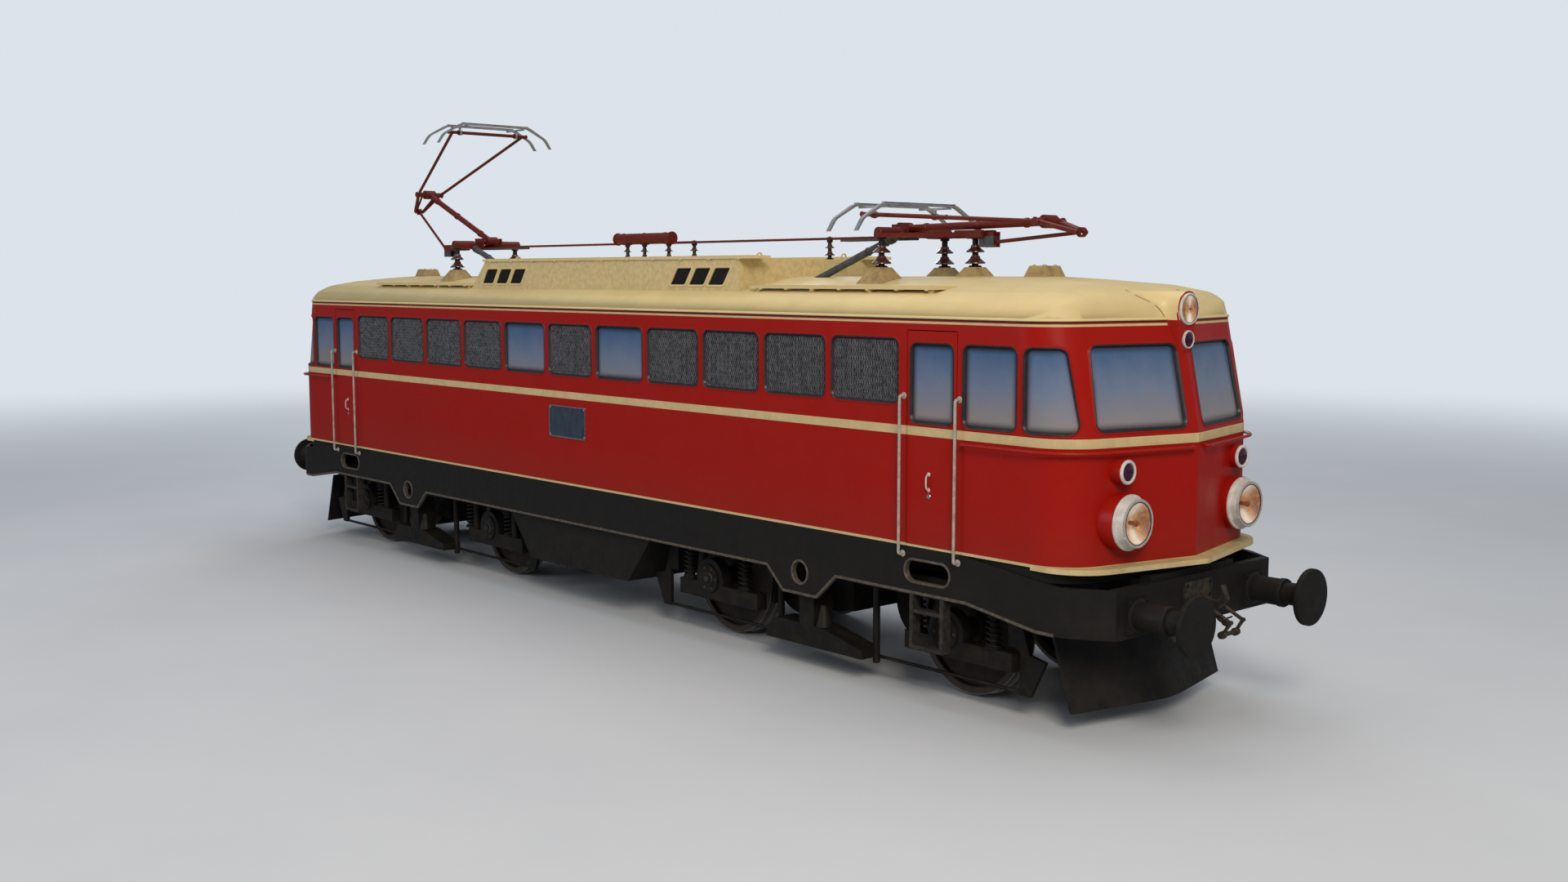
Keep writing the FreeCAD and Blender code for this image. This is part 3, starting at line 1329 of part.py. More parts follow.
insulators = both_ends(
    "insulators",
    [
        *both_sides("cross_insulator", roof_insulator("cross_insulator", CROSS)),
        roof_insulator("tip_insulator", TIP),
    ],
)
BUS_SPOTS = (
    ("bus_insulator_front", "hatch_front - plank_thickness * 2", "bus_height - bus_radius"),
    ("bus_insulator_middle", "switch_front / 2", "bus_height - bus_radius"),
    ("switch_insulator_front", "-switch_front - switch_radius", "switch_height - switch_radius"),
    ("switch_insulator_middle", "-(switch_front + switch_back) / 2", "switch_height - switch_radius"),
    ("switch_insulator_rear", "-switch_back + 3 * switch_radius", "switch_height - switch_radius"),
)
for name, spot, high in BUS_SPOTS:
    insulators.append(
        insulator(name, (spot, "bus_side"), "hatch_top", high, 1, "bus_insulator_radius", "insulator_post")
    )
node("roof_insulators", group("insulator_set", insulators))

# Busbar and main switch
BUS_END = "base_cross_reach - base_beam / 2"
bus_long = rod("bus_long", "X", ("bus_side", "bus_height"), "-switch_front", BUS_END, "bus_radius")
bus_short = rod("bus_short", "X", ("bus_side", "bus_height"), f"-({BUS_END})", "-switch_back", "bus_radius")
switch = rod("switch", "X", ("bus_side", "switch_height"), "-switch_back", "-switch_front", "switch_radius")
node("roof_bus", fuse("bus", [bus_long, bus_short, switch]))

# Pantograph bases
base_parts = [
    box(
        "base_cross",
        ("base_cross_reach - base_beam / 2", "base_cross_reach + base_beam / 2"),
        ("-base_cross_side - base_beam / 2", "base_cross_side + base_beam / 2"),
        ("base_low", "base_high"),
    ),
    box(
        "base_tip",
        ("base_tip_reach - base_tip_length / 2", "base_tip_reach + base_tip_length / 2"),
        ("-base_tip_half_width", "base_tip_half_width"),
        ("base_low", "base_high"),
    ),
    box(
        "drive",
        ("drive_reach", "base_cross_reach"),
        ("-drive_half_width", "drive_half_width"),
        ("base_low - base_beam / 5", "base_high - base_beam / 5"),
    ),
]
beam_points = [
    ("base_cross_reach", "-base_cross_side - base_beam / 2"),
    ("base_cross_reach + base_beam / 2", "-base_cross_side - base_beam / 2"),
    ("base_tip_reach", "-base_tip_half_width"),
    ("base_tip_reach", "0"),
    ("base_cross_reach", "-base_cross_side + base_beam / 2"),
]
base_parts += both_sides("base_arm", prism("base_arm", "XY", beam_points, "base_low", "base_high"))
bearing = box(
    "pivot_bearing",
    ("pivot_reach - boss_radius * 2 / 3", "base_cross_reach + base_beam / 2"),
    ("-pivot_bearing_side", "-pivot_bearing_side + tread_thickness / 2"),
    ("base_low", "pivot_height + boss_radius * 2 / 3"),
)
base_parts += both_sides("pivot_bearing", bearing)
base_parts.append(
    rod(
        "pivot_shaft",
        "Y",
        ("pivot_reach", "pivot_height"),
        "-pivot_bearing_side",
        "pivot_bearing_side",
        "pivot_radius",
    )
)
foot_plate = box(
    "rod_foot_plate",
    ("base_tip_reach + base_tip_length / 3", "rod_foot_reach + rod_eye_radius"),
    ("-rod_half_width - 2 * tail_radius", "-rod_half_width - tail_radius"),
    ("rod_foot_height - rod_eye_radius", "base_high"),
)
base_parts += both_sides("rod_foot_plate", foot_plate)
base_parts.append(
    rod(
        "rod_foot_pin",
        "Y",
        ("rod_foot_reach", "rod_foot_height"),
        "-rod_half_width - 2 * tail_radius",
        "rod_half_width + 2 * tail_radius",
        "rod_pin_radius",
    )
)
drive_rod = strut(
    "drive_rod_form",
    ("base_cross_reach", "-base_beam * 2", "base_low + base_beam / 5"),
    ("hatch_front + base_beam", "-base_beam * 2", "roof_box_low - base_beam / 2"),
    "lower_arm_radius",
)
base_parts.append(cut("drive_rod", drive_rod, [roof_block]))
base = fuse("pantograph_base", base_parts)
node("pantograph_bases", group("pantograph_base_set", both_ends("pantograph_base", [base])))


def pantograph(name, knee_rise, top_rise):
    """The moving pieces of a pantograph over the front cab, at the pose that the two rises give."""
    knee_run = f"sqrt(lower_arm_length^2 - {knee_rise}^2)"
    top_run = f"sqrt(upper_arm_length^2 - {top_rise}^2)"
    knee = (f"pivot_reach + {knee_run}", f"pivot_height + {knee_rise}")
    top = (f"{knee[0]} - {top_run}", f"{knee[1]} + {top_rise}")
    tail = (
        f"{knee[0]} + (tail_along * {top_run} - tail_down * {top_rise}) / upper_arm_length",
        f"{knee[1]} - (tail_along * {top_rise} + tail_down * {top_run}) / upper_arm_length",
    )
    foot = ("rod_foot_reach", "rod_foot_height")
    return {
        "lower_arm": lower_arm(f"{name}_lower_arm", knee),
        "upper_arm": upper_arm(f"{name}_upper_arm", knee, top, tail),
        "pan_head": pan_head(f"{name}_head", top),
        "thrust_rod": thrust_rod(f"{name}_rod", foot, tail),
    }


def lower_arm(name, knee):
    """A single tube with a boss at each end."""
    pivot = ("pivot_reach", "pivot_height")
    pieces = [strut(f"{name}_tube", (pivot[0], "0", pivot[1]), (knee[0], "0", knee[1]), "lower_arm_radius")]
    bores = []
    boss = ("-boss_half_width", "boss_half_width")
    through = ("-boss_half_width - overrun", "boss_half_width + overrun")
    for end, spot, radius in (("foot", pivot, "pivot_radius"), ("knee", knee, "knee_tube_radius")):
        pieces.append(rod(f"{name}_{end}_boss", "Y", spot, *boss, "boss_radius"))
        bores.append(rod(f"{name}_{end}_bore", "Y", spot, *through, f"{radius} + fit_gap"))
    return cut(name, fuse(f"{name}_solid", pieces), bores)


def upper_arm(name, knee, top, tail):
    """Two tubes that spread towards the top tube, and the tail that the thrust rod steers."""
    knee_side = "knee_half_width - upper_arm_radius"
    top_side = "top_tube_half_width - 3 * upper_arm_radius"
    pieces = [
        rod(f"{name}_knee", "Y", knee, "-knee_half_width", "knee_half_width", "knee_tube_radius"),
        rod(f"{name}_top", "Y", top, "-top_tube_half_width", "top_tube_half_width", "top_tube_radius"),
    ]
    for side, sign in (("right", "-"), ("left", "")):
        low = (knee[0], f"{sign}({knee_side})", knee[1])
        high = (top[0], f"{sign}({top_side})", top[1])
        pieces.append(strut(f"{name}_tube_{side}", low, high, "upper_arm_radius"))
        shoulder = (knee[0], f"{sign}(boss_half_width + 2 * tail_radius)", knee[1])
        tip = (tail[0], f"{sign}tail_side", tail[1])
        pieces.append(strut(f"{name}_tail_{side}", shoulder, tip, "tail_radius"))
        eye = (f"{sign}(tail_side - tail_radius)", f"{sign}(tail_side + tail_radius)")
        if sign:
            eye = (eye[1], eye[0])
        pieces.append(rod(f"{name}_tail_eye_{side}", "Y", tail, *eye, "2 * rod_pin_radius"))
    return fuse(name, pieces)


def thrust_rod(name, foot, tail):
    """A bar with an eye on the base's pin and a wider eye at the tail."""
    pieces = [strut(f"{name}_bar", (foot[0], "0", foot[1]), (tail[0], "0", tail[1]), "rod_radius")]
    bores = []
    eye = ("-rod_half_width", "rod_half_width")
    through = ("-rod_half_width - overrun", "rod_half_width + overrun")
    for end, spot, bore in (("foot", foot, "rod_pin_radius + fit_gap"), ("tail", tail, "rod_eye_bore")):
        pieces.append(rod(f"{name}_{end}_eye", "Y", spot, *eye, "rod_eye_radius"))
        bores.append(rod(f"{name}_{end}_bore", "Y", spot, *through, bore))
    return cut(name, fuse(f"{name}_solid", pieces), bores)


def pan_head(name, top):
    """Two contact strips with their horns, on carriers that hang on the top tube."""
    level = f"{top[1]} + strip_lift"
    strip_points = [
        ("-horn_tip_side", f"{level} - horn_tip_drop"),
        ("-horn_side", f"{level} - horn_drop", "horn_rounding"),
        ("-strip_flat - strip_thickness", level, "horn_rounding"),
        ("strip_flat + strip_thickness", level, "horn_rounding"),
        ("horn_side", f"{level} - horn_drop", "horn_rounding"),
        ("horn_tip_side", f"{level} - horn_tip_drop"),
        ("horn_tip_side - strip_thickness", f"{level} - horn_tip_drop"),
        ("horn_side - strip_thickness", f"{level} - horn_drop - strip_thickness / 2", "horn_rounding"),
        ("strip_flat", f"{level} - strip_thickness", "horn_rounding - strip_thickness"),
        ("-strip_flat", f"{level} - strip_thickness", "horn_rounding - strip_thickness"),
        ("-horn_side + strip_thickness", f"{level} - horn_drop - strip_thickness / 2", "horn_rounding"),
        ("-horn_tip_side + strip_thickness", f"{level} - horn_tip_drop"),
    ]
    pieces = []
    bores = []
    for side, sign in (("back", "-"), ("front", "+")):
        line = f"{top[0]} {sign} strip_spread"
        edges = (f"{line} - strip_width / 2", f"{line} + strip_width / 2")
        pieces.append(prism(f"{name}_strip_{side}", "YZ", strip_points, *edges))
    for side, sign in (("right", "-"), ("left", "")):
        low = f"{sign}hanger_side - hanger_width / 2"
        high = f"{sign}hanger_side + hanger_width / 2"
        through = (f"{low} - overrun", f"{high} + overrun")
        pieces.append(rod(f"{name}_boss_{side}", "Y", top, low, high, "hanger_boss_radius"))
        bores.append(rod(f"{name}_bore_{side}", "Y", top, *through, "top_tube_radius + fit_gap"))
        pieces.append(
            box(
                f"{name}_upright_{side}",
                (f"{top[0]} - hanger_width / 2", f"{top[0]} + hanger_width / 2"),
                (low, high),
                (top[1], f"{level} - strip_thickness"),
            )
        )
        pieces.append(
            box(
                f"{name}_yoke_{side}",
                (f"{top[0]} - strip_spread - strip_width / 2", f"{top[0]} + strip_spread + strip_width / 2"),
                (low, high),
                (f"{level} - 2 * strip_thickness", f"{level} - strip_thickness"),
            )
        )
    return cut(name, fuse(f"{name}_solid", pieces), bores)


for end, knee_rise, top_rise in (
    ("front", "folded_knee_rise", "folded_top_rise"),
    ("rear", "raised_knee_rise", "raised_top_rise"),
):
    for role, piece in pantograph(f"pantograph_{end}", knee_rise, top_rise).items():
        placed = piece if end == "front" else mirror(f"{role}_rear", piece, "X")
        node(f"{role}_{end}", placed)


def wheelset(name, reach):
    """An axle with two flanged wheels, turning as one piece."""
    line = (reach, "wheel_radius")
    wheel = [
        rod(f"{name}_journal", "Y", line, "-journal_end", "-journal_start", "journal_radius"),
        rod(f"{name}_hub", "Y", line, "-wheel_back - wheel_width", "-wheel_back", "hub_radius"),
        rod(
            f"{name}_web",
            "Y",
            line,
            "-wheel_back - wheel_width / 2 - web_thickness / 2",
            "-wheel_back - wheel_width / 2 + web_thickness / 2",
            "wheel_radius - rim_depth / 2",
        ),
    ]
    tread = rod(f"{name}_tread", "Y", line, "-wheel_back - wheel_width", "-wheel_back", "wheel_radius")
    hollow = rod(
        f"{name}_hollow",
        "Y",
        line,
        "-wheel_back - wheel_width - overrun",
        "-wheel_back + overrun",
        "wheel_radius - rim_depth",
    )
    wheel.append(cut(f"{name}_rim", tread, [hollow]))
    flange = cone(
        f"{name}_flange_disc",
        "Y",
        line,
        "-wheel_back - flange_width",
        "-wheel_back",
        "wheel_radius + flange_height / 2",
        "wheel_radius + flange_height",
    )
    wheel.append(cut(f"{name}_flange", flange, [hollow]))
    side = fuse(f"{name}_wheel", wheel)
    axle = rod(f"{name}_axle", "Y", line, "-journal_start", "journal_start", "axle_radius")
    return fuse(name, [axle, *both_sides(f"{name}_wheel", side)])


def along_from(reach, offset):
    """A place along the locomotive, given from a bogie's pivot."""
    return f"({reach}) + ({offset})"


def bogie_frame(name, reach):
    """Side beams, end beams and the middle beam with the centre pin."""
    ends = (along_from(reach, "-end_beam_end"), along_from(reach, "end_beam_end"))
    level = ("side_beam_low", "side_beam_high")
    inner = ("-side_beam_inner", "side_beam_inner")
    side = box(f"{name}_side", ends, ("-side_beam_outer", "-side_beam_inner"), level)
    pieces = [
        *both_sides(f"{name}_side", side),
        box(f"{name}_end_back", (ends[0], along_from(reach, "-end_beam_start")), inner, level),
        box(f"{name}_end_front", (along_from(reach, "end_beam_start"), ends[1]), inner, level),
        box(
            f"{name}_transom",
            (along_from(reach, "-transom_half_length"), along_from(reach, "transom_half_length")),
            inner,
            ("transom_low", "side_beam_high"),
        ),
        rod(
            f"{name}_pin",
            "Z",
            (reach, "0"),
            "side_beam_high - overrun",
            "floor_low - fit_gap",
            "centre_pin_radius",
        ),
    ]
    return fuse(name, pieces)


def axle_boxes(name, reach):
    """Axle boxes with their arms, covers and spring columns."""
    boxes = []
    for number, side in enumerate(("-", "+")):
        axle = along_from(reach, f"{side} half_wheelbase")
        line = (axle, "wheel_radius")
        own = f"{name}_{number}"
        middle = "-(box_inner + box_outer) / 2"
        pieces = [
            box(
                f"{own}_arms",
                (f"{axle} - arm_back", f"{axle} + arm_front"),
                ("-box_outer", "-box_inner"),
                ("box_low", "arm_top"),
            ),
            rod(f"{own}_arch", "Y", line, "-box_outer", "-box_inner", "box_arch_radius"),
            rod(f"{own}_cover", "Y", line, "-box_outer - cover_depth", "-box_outer", "cover_radius"),
            rod(
                f"{own}_cap",
                "Y",
                line,
                "-box_outer - cover_depth - cover_cap_depth",
                "-box_outer - cover_depth",
                "cover_cap_radius",
            ),
        ]
        for end, offset in (("back", "- column_back"), ("front", "+ column_front")):
            pieces.append(
                rod(
                    f"{own}_column_{end}",
                    "Z",
                    (f"{axle} {offset}", middle),
                    "arm_top - overrun",
                    "side_beam_low",
                    "column_radius",
                )
            )
        inside = ("-journal_end - fit_gap", "-box_inner + overrun")
        bore = rod(f"{own}_bore", "Y", line, *inside, "journal_radius + fit_gap")
        boxes += both_sides(own, cut(own, fuse(f"{own}_solid", pieces), [bore]))
    return group(name, boxes)


def motors(name, reach):
    """Two traction motors, each with a nose on the middle beam and a gear case round its axle."""
    pieces = []
    for number, side in enumerate(("-", "+")):
        own = f"{name}_{number}"
        centre = along_from(reach, f"{side} motor_reach")
        axle = along_from(reach, f"{side} half_wheelbase")
        nose = [centre, along_from(reach, f"{side} transom_half_length")]
        case = [axle, centre]
        if side == "+":
            nose.reverse()
            case.reverse()
        gear_width = ("gear_case_inner", "gear_case_outer")
        solid = fuse(
            f"{own}_solid",
            [
                rod(
                    f"{own}_drum",
                    "Y",
                    (centre, "motor_height"),
                    "-motor_half_width",
                    "motor_half_width",
                    "motor_radius",
                ),
                box(
                    f"{own}_nose",
                    nose,
                    ("-motor_nose_half_width", "motor_nose_half_width"),
                    ("motor_nose_low", "motor_nose_high"),
                ),
                rod(
                    f"{own}_pinion_case",
                    "Y",
                    (centre, "wheel_radius"),
                    "motor_half_width - overrun",
                    "gear_case_outer",
                    "gear_case_radius",
                ),
                rod(f"{own}_gear_case", "Y", (axle, "wheel_radius"), *gear_width, "gear_case_radius"),
                box(
                    f"{own}_case_bridge",
                    case,
                    gear_width,
                    ("wheel_radius - gear_case_radius / 2", "wheel_radius + gear_case_radius"),
                ),
            ],
        )
        bore = rod(
            f"{own}_bore",
            "Y",
            (axle, "wheel_radius"),
            "gear_case_inner - overrun",
            "gear_case_outer + overrun",
            "axle_radius + fit_gap",
        )
        pieces.append(cut(own, solid, [bore]))
    return group(name, pieces)


def rigging(name, reach):
    """Brake rod with its brackets, hanger rods, and the spring plank that they carry."""
    bracket_points = [
        ("end_beam_start", "side_beam_low"),
        ("end_beam_start", "arm_top + bracket_thickness"),
        ("bracket_back", "arm_top + bracket_thickness"),
        ("bracket_back", "bracket_low"),
        ("brake_rod_back + bracket_thickness / 2", "bracket_low"),
        ("bracket_nose", "bracket_knee - bracket_thickness / 2"),
        ("brake_rod_back", "bracket_knee + bracket_thickness / 2"),
        ("end_beam_end", "side_beam_low"),
    ]
    width = ("-brake_line - bracket_thickness / 2", "-brake_line + bracket_thickness / 2")
    pieces = []
    for end, sign in (("back", "-"), ("front", "")):
        points = [(along_from(reach, f"{sign}({across})"), along) for across, along in bracket_points]
        pieces.append(prism(f"{name}_bracket_{end}", "XZ", points, *width))
    pieces.append(
        rod(
            f"{name}_brake_rod",
            "X",
            ("-brake_line", "brake_rod_height"),
            along_from(reach, "-brake_rod_back"),
            along_from(reach, "brake_rod_back"),
            "brake_rod_radius",
        )
    )
    for end, offset in (("back", "-hanger_back"), ("front", "hanger_front")):
        pieces.append(
            rod(
                f"{name}_hanger_{end}",
                "Z",
                (along_from(reach, offset), "-hanger_line"),
                "hanger_low",
                "side_beam_low",
                "hanger_rod_radius",
            )
        )
    plank_points = [
        (along_from(reach, "-hanger_back"), "plank_low"),
        (along_from(reach, "hanger_front"), "plank_low"),
        (along_from(reach, "hanger_front"), "plank_end_high"),
        (along_from(reach, "plank_flat_front"), "plank_middle_high"),
        (along_from(reach, "-plank_flat_back"), "plank_middle_high"),
        (along_from(reach, "-hanger_back"), "plank_end_high"),
    ]
    plank_sides = ("-plank_side_outer", "-plank_side_inner")
    pieces.append(prism(f"{name}_plank", "XZ", plank_points, *plank_sides))
    pieces.append(
        box(
            f"{name}_spring_box",
            (along_from(reach, "-pack_back"), along_from(reach, "pack_front")),
            ("-plank_side_outer", "-side_beam_inner - 2 * bracket_thickness"),
            ("plank_middle_high - overrun", "pack_high"),
        )
    )
    pieces.append(
        cone(
            f"{name}_spring_cone",
            "Z",
            (along_from(reach, "cone_reach"), "-cone_side"),
            "plank_middle_high",
            "cone_high",
            "cone_radius",
            "cone_top_radius",
        )
    )
    return group(name, both_sides(name, fuse(f"{name}_side", pieces)))


for end, reach in (("front", "bogie_reach"), ("rear", "-bogie_reach")):
    node(f"bogie_frame_{end}", bogie_frame(f"bogie_frame_{end}", reach))
    node(f"axle_boxes_{end}", axle_boxes(f"axle_boxes_{end}", reach))
    node(f"traction_motors_{end}", motors(f"traction_motors_{end}", reach))
    node(f"bogie_rigging_{end}", rigging(f"bogie_rigging_{end}", reach))
    for role, side in (("inner", "-"), ("outer", "+")):
        if end == "rear":
            side = "+" if side == "-" else "-"
        axle = along_from(reach, f"{side} half_wheelbase")
        node(f"wheelset_{end}_{role}", wheelset(f"wheelset_{end}_{role}", axle))

# Doors, hinged on pivots in the threshold and the door's head
LEAF = ("doorway_back + door_gap", "doorway_front - door_gap")
leaf = box(
    "leaf",
    LEAF,
    ("-half_width", "-half_width + door_thickness"),
    ("doorway_low + door_gap", "doorway_high - door_gap"),
)
leaf_window = window(
    "leaf_window",
    "XZ",
    (f"{LEAF[0]} + door_window_margin", "cab_window_low"),
    (f"{LEAF[1]} - door_window_margin", "cab_window_high"),
    WALL_START,
    WALL_END,
)
PIVOT = (f"{LEAF[0]} + door_pivot_radius", "-half_width + door_thickness - door_pivot_radius")
PIN_LOW = ("doorway_low + fit_gap", "doorway_low + 2 * door_gap")
PIN_HIGH = ("doorway_high - 2 * door_gap", "doorway_high - fit_gap")
door_pivots = [
    rod("door_pivot_low", "Z", PIVOT, *PIN_LOW, "door_pivot_radius"),
    rod("door_pivot_high", "Z", PIVOT, *PIN_HIGH, "door_pivot_radius"),
]
door = fuse("door", [cut("door_leaf", leaf, [leaf_window]), *door_pivots])
node("door_front_right", door)
door_left = node("door_front_left", mirror("door_left", door, "Y"))
node("door_rear_right", mirror("door_rear", door, "X"))
node("door_rear_left", mirror("door_rear_mirror", door_left, "X"))

# Inside the cabs
bulkhead = box(
    "bulkhead",
    ("bulkhead_reach", "bulkhead_reach + bulkhead_thickness"),
    ("-half_width + body_wall", "half_width - body_wall"),
    ("sill_height", "eave_height"),
)
node("cab_bulkheads", group("bulkhead_set", both_ends("bulkhead", [bulkhead])))
desk = prism(
    "desk",
    "XZ",
    [
        ("desk_foot", "sill_height"),
        ("desk_front", "sill_height"),
        ("desk_front", "desk_high"),
        ("desk_back", "desk_edge"),
        ("desk_back", "desk_edge - seat_depth"),
        ("desk_foot", "desk_edge - 2 * seat_depth"),
    ],
    "-desk_half_width",
    "desk_half_width",
)
SEAT_SIDES = ("-seat_side - seat_half_width", "-seat_side + seat_half_width")
seat = fuse(
    "seat",
    [
        rod("seat_post", "Z", ("seat_reach", "-seat_side"), "sill_height", "seat_height", "seat_post_radius"),
        box(
            "seat_cushion",
            ("seat_reach - seat_half_width", "seat_reach + seat_half_width"),
            SEAT_SIDES,
            ("seat_height - seat_depth", "seat_height"),
        ),
        box(
            "seat_back",
            ("seat_reach - seat_half_width - seat_depth", "seat_reach - seat_half_width"),
            SEAT_SIDES,
            ("seat_height - seat_depth", "seat_back_high"),
        ),
    ],
)
node("cab_desks", group("desk_set", both_ends("desk", [desk])))
node("cab_seats", group("seat_set", both_ends("seats", both_sides("seat", seat))))

doc.recompute()
for piece in doc.Objects:
    if "Invalid" in piece.State or "Error" in piece.State:
        raise RuntimeError(f"{piece.Name} failed: {piece.State}")
os.makedirs("parts", exist_ok=True)
for piece in NODES:
    if piece.Shape.isNull() or not piece.Shape.isValid():
        raise RuntimeError(f"{piece.Label} has no valid shape")
for piece in NODES:
    piece.Shape.exportStep(f"parts/{piece.Label}.step")
    print(piece.Label, len(piece.Shape.Solids), round(piece.Shape.Volume))
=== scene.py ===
"""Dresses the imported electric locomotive: paint, window rubbers, lamps, roof gear, running gear and stage."""

import math

import bmesh
import bpy
from bpy.props import FloatProperty, FloatVectorProperty, IntProperty, PointerProperty
from mathutils import Matrix, Vector, noise


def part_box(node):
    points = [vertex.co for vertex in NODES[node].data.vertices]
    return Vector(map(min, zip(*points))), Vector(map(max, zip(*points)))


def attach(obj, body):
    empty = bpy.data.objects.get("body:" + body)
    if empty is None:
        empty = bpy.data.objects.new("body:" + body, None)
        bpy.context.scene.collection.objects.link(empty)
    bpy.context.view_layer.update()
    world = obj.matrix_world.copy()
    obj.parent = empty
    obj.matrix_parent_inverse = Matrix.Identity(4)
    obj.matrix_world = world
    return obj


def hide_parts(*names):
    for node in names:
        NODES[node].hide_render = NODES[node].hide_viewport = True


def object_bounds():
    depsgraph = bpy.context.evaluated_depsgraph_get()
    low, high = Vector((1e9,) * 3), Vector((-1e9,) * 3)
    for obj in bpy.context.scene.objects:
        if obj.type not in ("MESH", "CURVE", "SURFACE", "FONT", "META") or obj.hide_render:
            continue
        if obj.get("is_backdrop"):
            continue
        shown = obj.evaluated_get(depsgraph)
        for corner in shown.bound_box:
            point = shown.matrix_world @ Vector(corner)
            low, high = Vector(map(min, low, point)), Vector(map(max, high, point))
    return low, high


bl_info = {
    "name": "Electric locomotive",
    "version": (1, 0, 0),
    "blender": (4, 5, 0),
    "location": "View3D > Sidebar > Locomotive",
    "description": "Paint, glass, lamps, roof gear and running gear for the packed locomotive",
    "category": "Object",
}

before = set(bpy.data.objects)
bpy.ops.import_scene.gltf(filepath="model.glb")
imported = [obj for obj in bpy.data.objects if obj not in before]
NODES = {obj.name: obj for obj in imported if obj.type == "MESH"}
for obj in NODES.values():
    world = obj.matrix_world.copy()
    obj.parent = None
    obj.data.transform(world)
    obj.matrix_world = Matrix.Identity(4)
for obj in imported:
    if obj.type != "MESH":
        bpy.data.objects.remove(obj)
CAD_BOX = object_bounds()

BACKDROP = "DCE3EA"
RAIL = 0.028  # top of the rail above the floor
SIDE = 1.395  # centre line to the body's side
CORNER = Vector((6.807, 0.945))  # centre of the cab's rounded corner, seen from above
CORNER_RADIUS = 0.45
CORNER_START = math.radians(13.15)  # direction in which the front faces
BOGIE = 3.95  # the body's middle to a bogie's
AXLES = (2.25, 5.65)  # the same to its wheelsets
AXLE_UP = 0.653
TREAD = 0.625  # radius on which the wheels roll
ENDS = (("front", 1), ("rear", -1))
FLANKS = (("right", -1), ("left", 1))
FLIP_X = Matrix.Diagonal((-1, 1, 1, 1))
FLIP_Y = Matrix.Diagonal((1, -1, 1, 1))
HERE = Matrix.Identity(4)
BOTH_ENDS = (HERE, FLIP_X)
BOTH_CABS = (HERE, FLIP_X @ FLIP_Y)  # a desk's fittings stand on the driver's side of each cab
EVERY_CORNER = (HERE, FLIP_X, FLIP_Y, FLIP_X @ FLIP_Y)


def linear(hex_code):
    """An sRGB hex colour as the linear RGBA that Blender's sockets take."""
    parts = [int(hex_code[i : i + 2], 16) / 255 for i in (0, 2, 4)]
    return [p / 12.92 if p <= 0.04045 else ((p + 0.055) / 1.055) ** 2.4 for p in parts] + [1.0]


def paint_prop(name, description, hex_code):
    """A colour that the user can change, given as sRGB hex."""
    return FloatVectorProperty(
        name=name,
        description=description,
        default=linear(hex_code),
        size=4,
        min=0.0,
        max=1.0,
        subtype="COLOR",
    )


def length_prop(name, description, metres):
    """A length that the user can change."""
    return FloatProperty(name=name, description=description, default=metres, unit="LENGTH")


class LOCO_PG_livery(bpy.types.PropertyGroup):
    """Colours and heights of the paint."""

    coach_red: paint_prop("Coach red", "Enamel of the side walls and cabs", "96130A")
    line_cream: paint_prop("Line cream", "Belt band and thin lines", "C4B183")
    roof_cream: paint_prop("Roof cream", "Enamel of the roof, hatch and boards", "D2BE8A")
    frame_black: paint_prop("Frame black", "Paint of the skirts, beams and buffers", "1B1A19")
    lamp_grey: paint_prop("Lamp grey", "Paint of the lamp rims", "C9C6BF")
    rail_grey: paint_prop("Handrail grey", "Paint of the door handrails", "A9A096")
    roof_gear_red: paint_prop("Roof gear red", "Paint of the pantographs and busbar", "5E170D")
    # the two glass colours are the ends of a painted reflection, from the top of a pane to its bottom
    glass_high: paint_prop("Glass, upper edge", "Window glass near its upper edge", "3F5E86")
    glass_low: paint_prop("Glass, lower edge", "Window glass near its lower edge", "8C8688")
    band_low: length_prop("Belt band, lower edge", "Above the rail", 2.43)
    band_high: length_prop("Belt band, upper edge", "Above the rail", 2.51)
    line_low: length_prop("Lower line", "Upper edge of the thin line along the skirt, above the rail", 1.445)
    line_high: length_prop("Upper line", "Middle of the thin line below the gutter, above the rail", 3.437)
    line_width: length_prop("Upper line's width", "Width of the thin line below the gutter", 0.02)


class LOCO_PG_fittings(bpy.types.PropertyGroup):
    """Sizes of the small pieces."""

    rubber_width: length_prop("Window rubber", "Width of the window rubber outside the opening", 0.014)
    lip_width: length_prop("Raised lip", "Width of the raised metal lip round a window", 0.016)
    wire_pitch: length_prop("Grille wires", "Distance from wire to wire in the side grilles", 0.0165)
    spring_turns: IntProperty(name="Spring turns", description="Turns of an axle spring", default=6, min=3)
    spring_wire: length_prop("Spring wire", "Radius of an axle spring's wire", 0.012)
    tyre_height: length_prop("Tyre", "Depth of the bright tyre from the tread", 0.062)


# ---------------------------------------------------------------- tools of the bench


def nothing_selected():
    """Leaves every object deselected, so that an operator acts on the new piece alone."""
    bpy.ops.object.select_all(action="DESELECT")


def hold(piece):
    """Makes the piece the only selected one, and the active one."""
    nothing_selected()
    piece.select_set(True)
    bpy.context.view_layer.objects.active = piece
    return piece


def named(name):
    """The object that the last operator added, under its own name, as a plain mesh at the origin."""
    piece = bpy.context.view_layer.objects.active
    piece.name = name
    piece.data.name = name
    bpy.ops.object.transform_apply(location=True, rotation=True, scale=True)
    return piece


def place(piece, matrix):
    """Moves the piece's mesh by the matrix, and keeps its faces outwards in a mirror image."""
    piece.data.transform(matrix)
    if matrix.determinant() < 0:
        piece.data.flip_normals()
    return piece


def towards(direction):
    """The turn that points a piece's own Z along the direction."""
    return Vector(direction).to_track_quat("Z", "Y").to_matrix().to_4x4()


def at(x, y, z):
    """The move to a point."""
    return Matrix.Translation((x, y, z))


def spin(angle, axis):
    """The turn about an axis of the frame."""
    return Matrix.Rotation(angle, 4, axis)


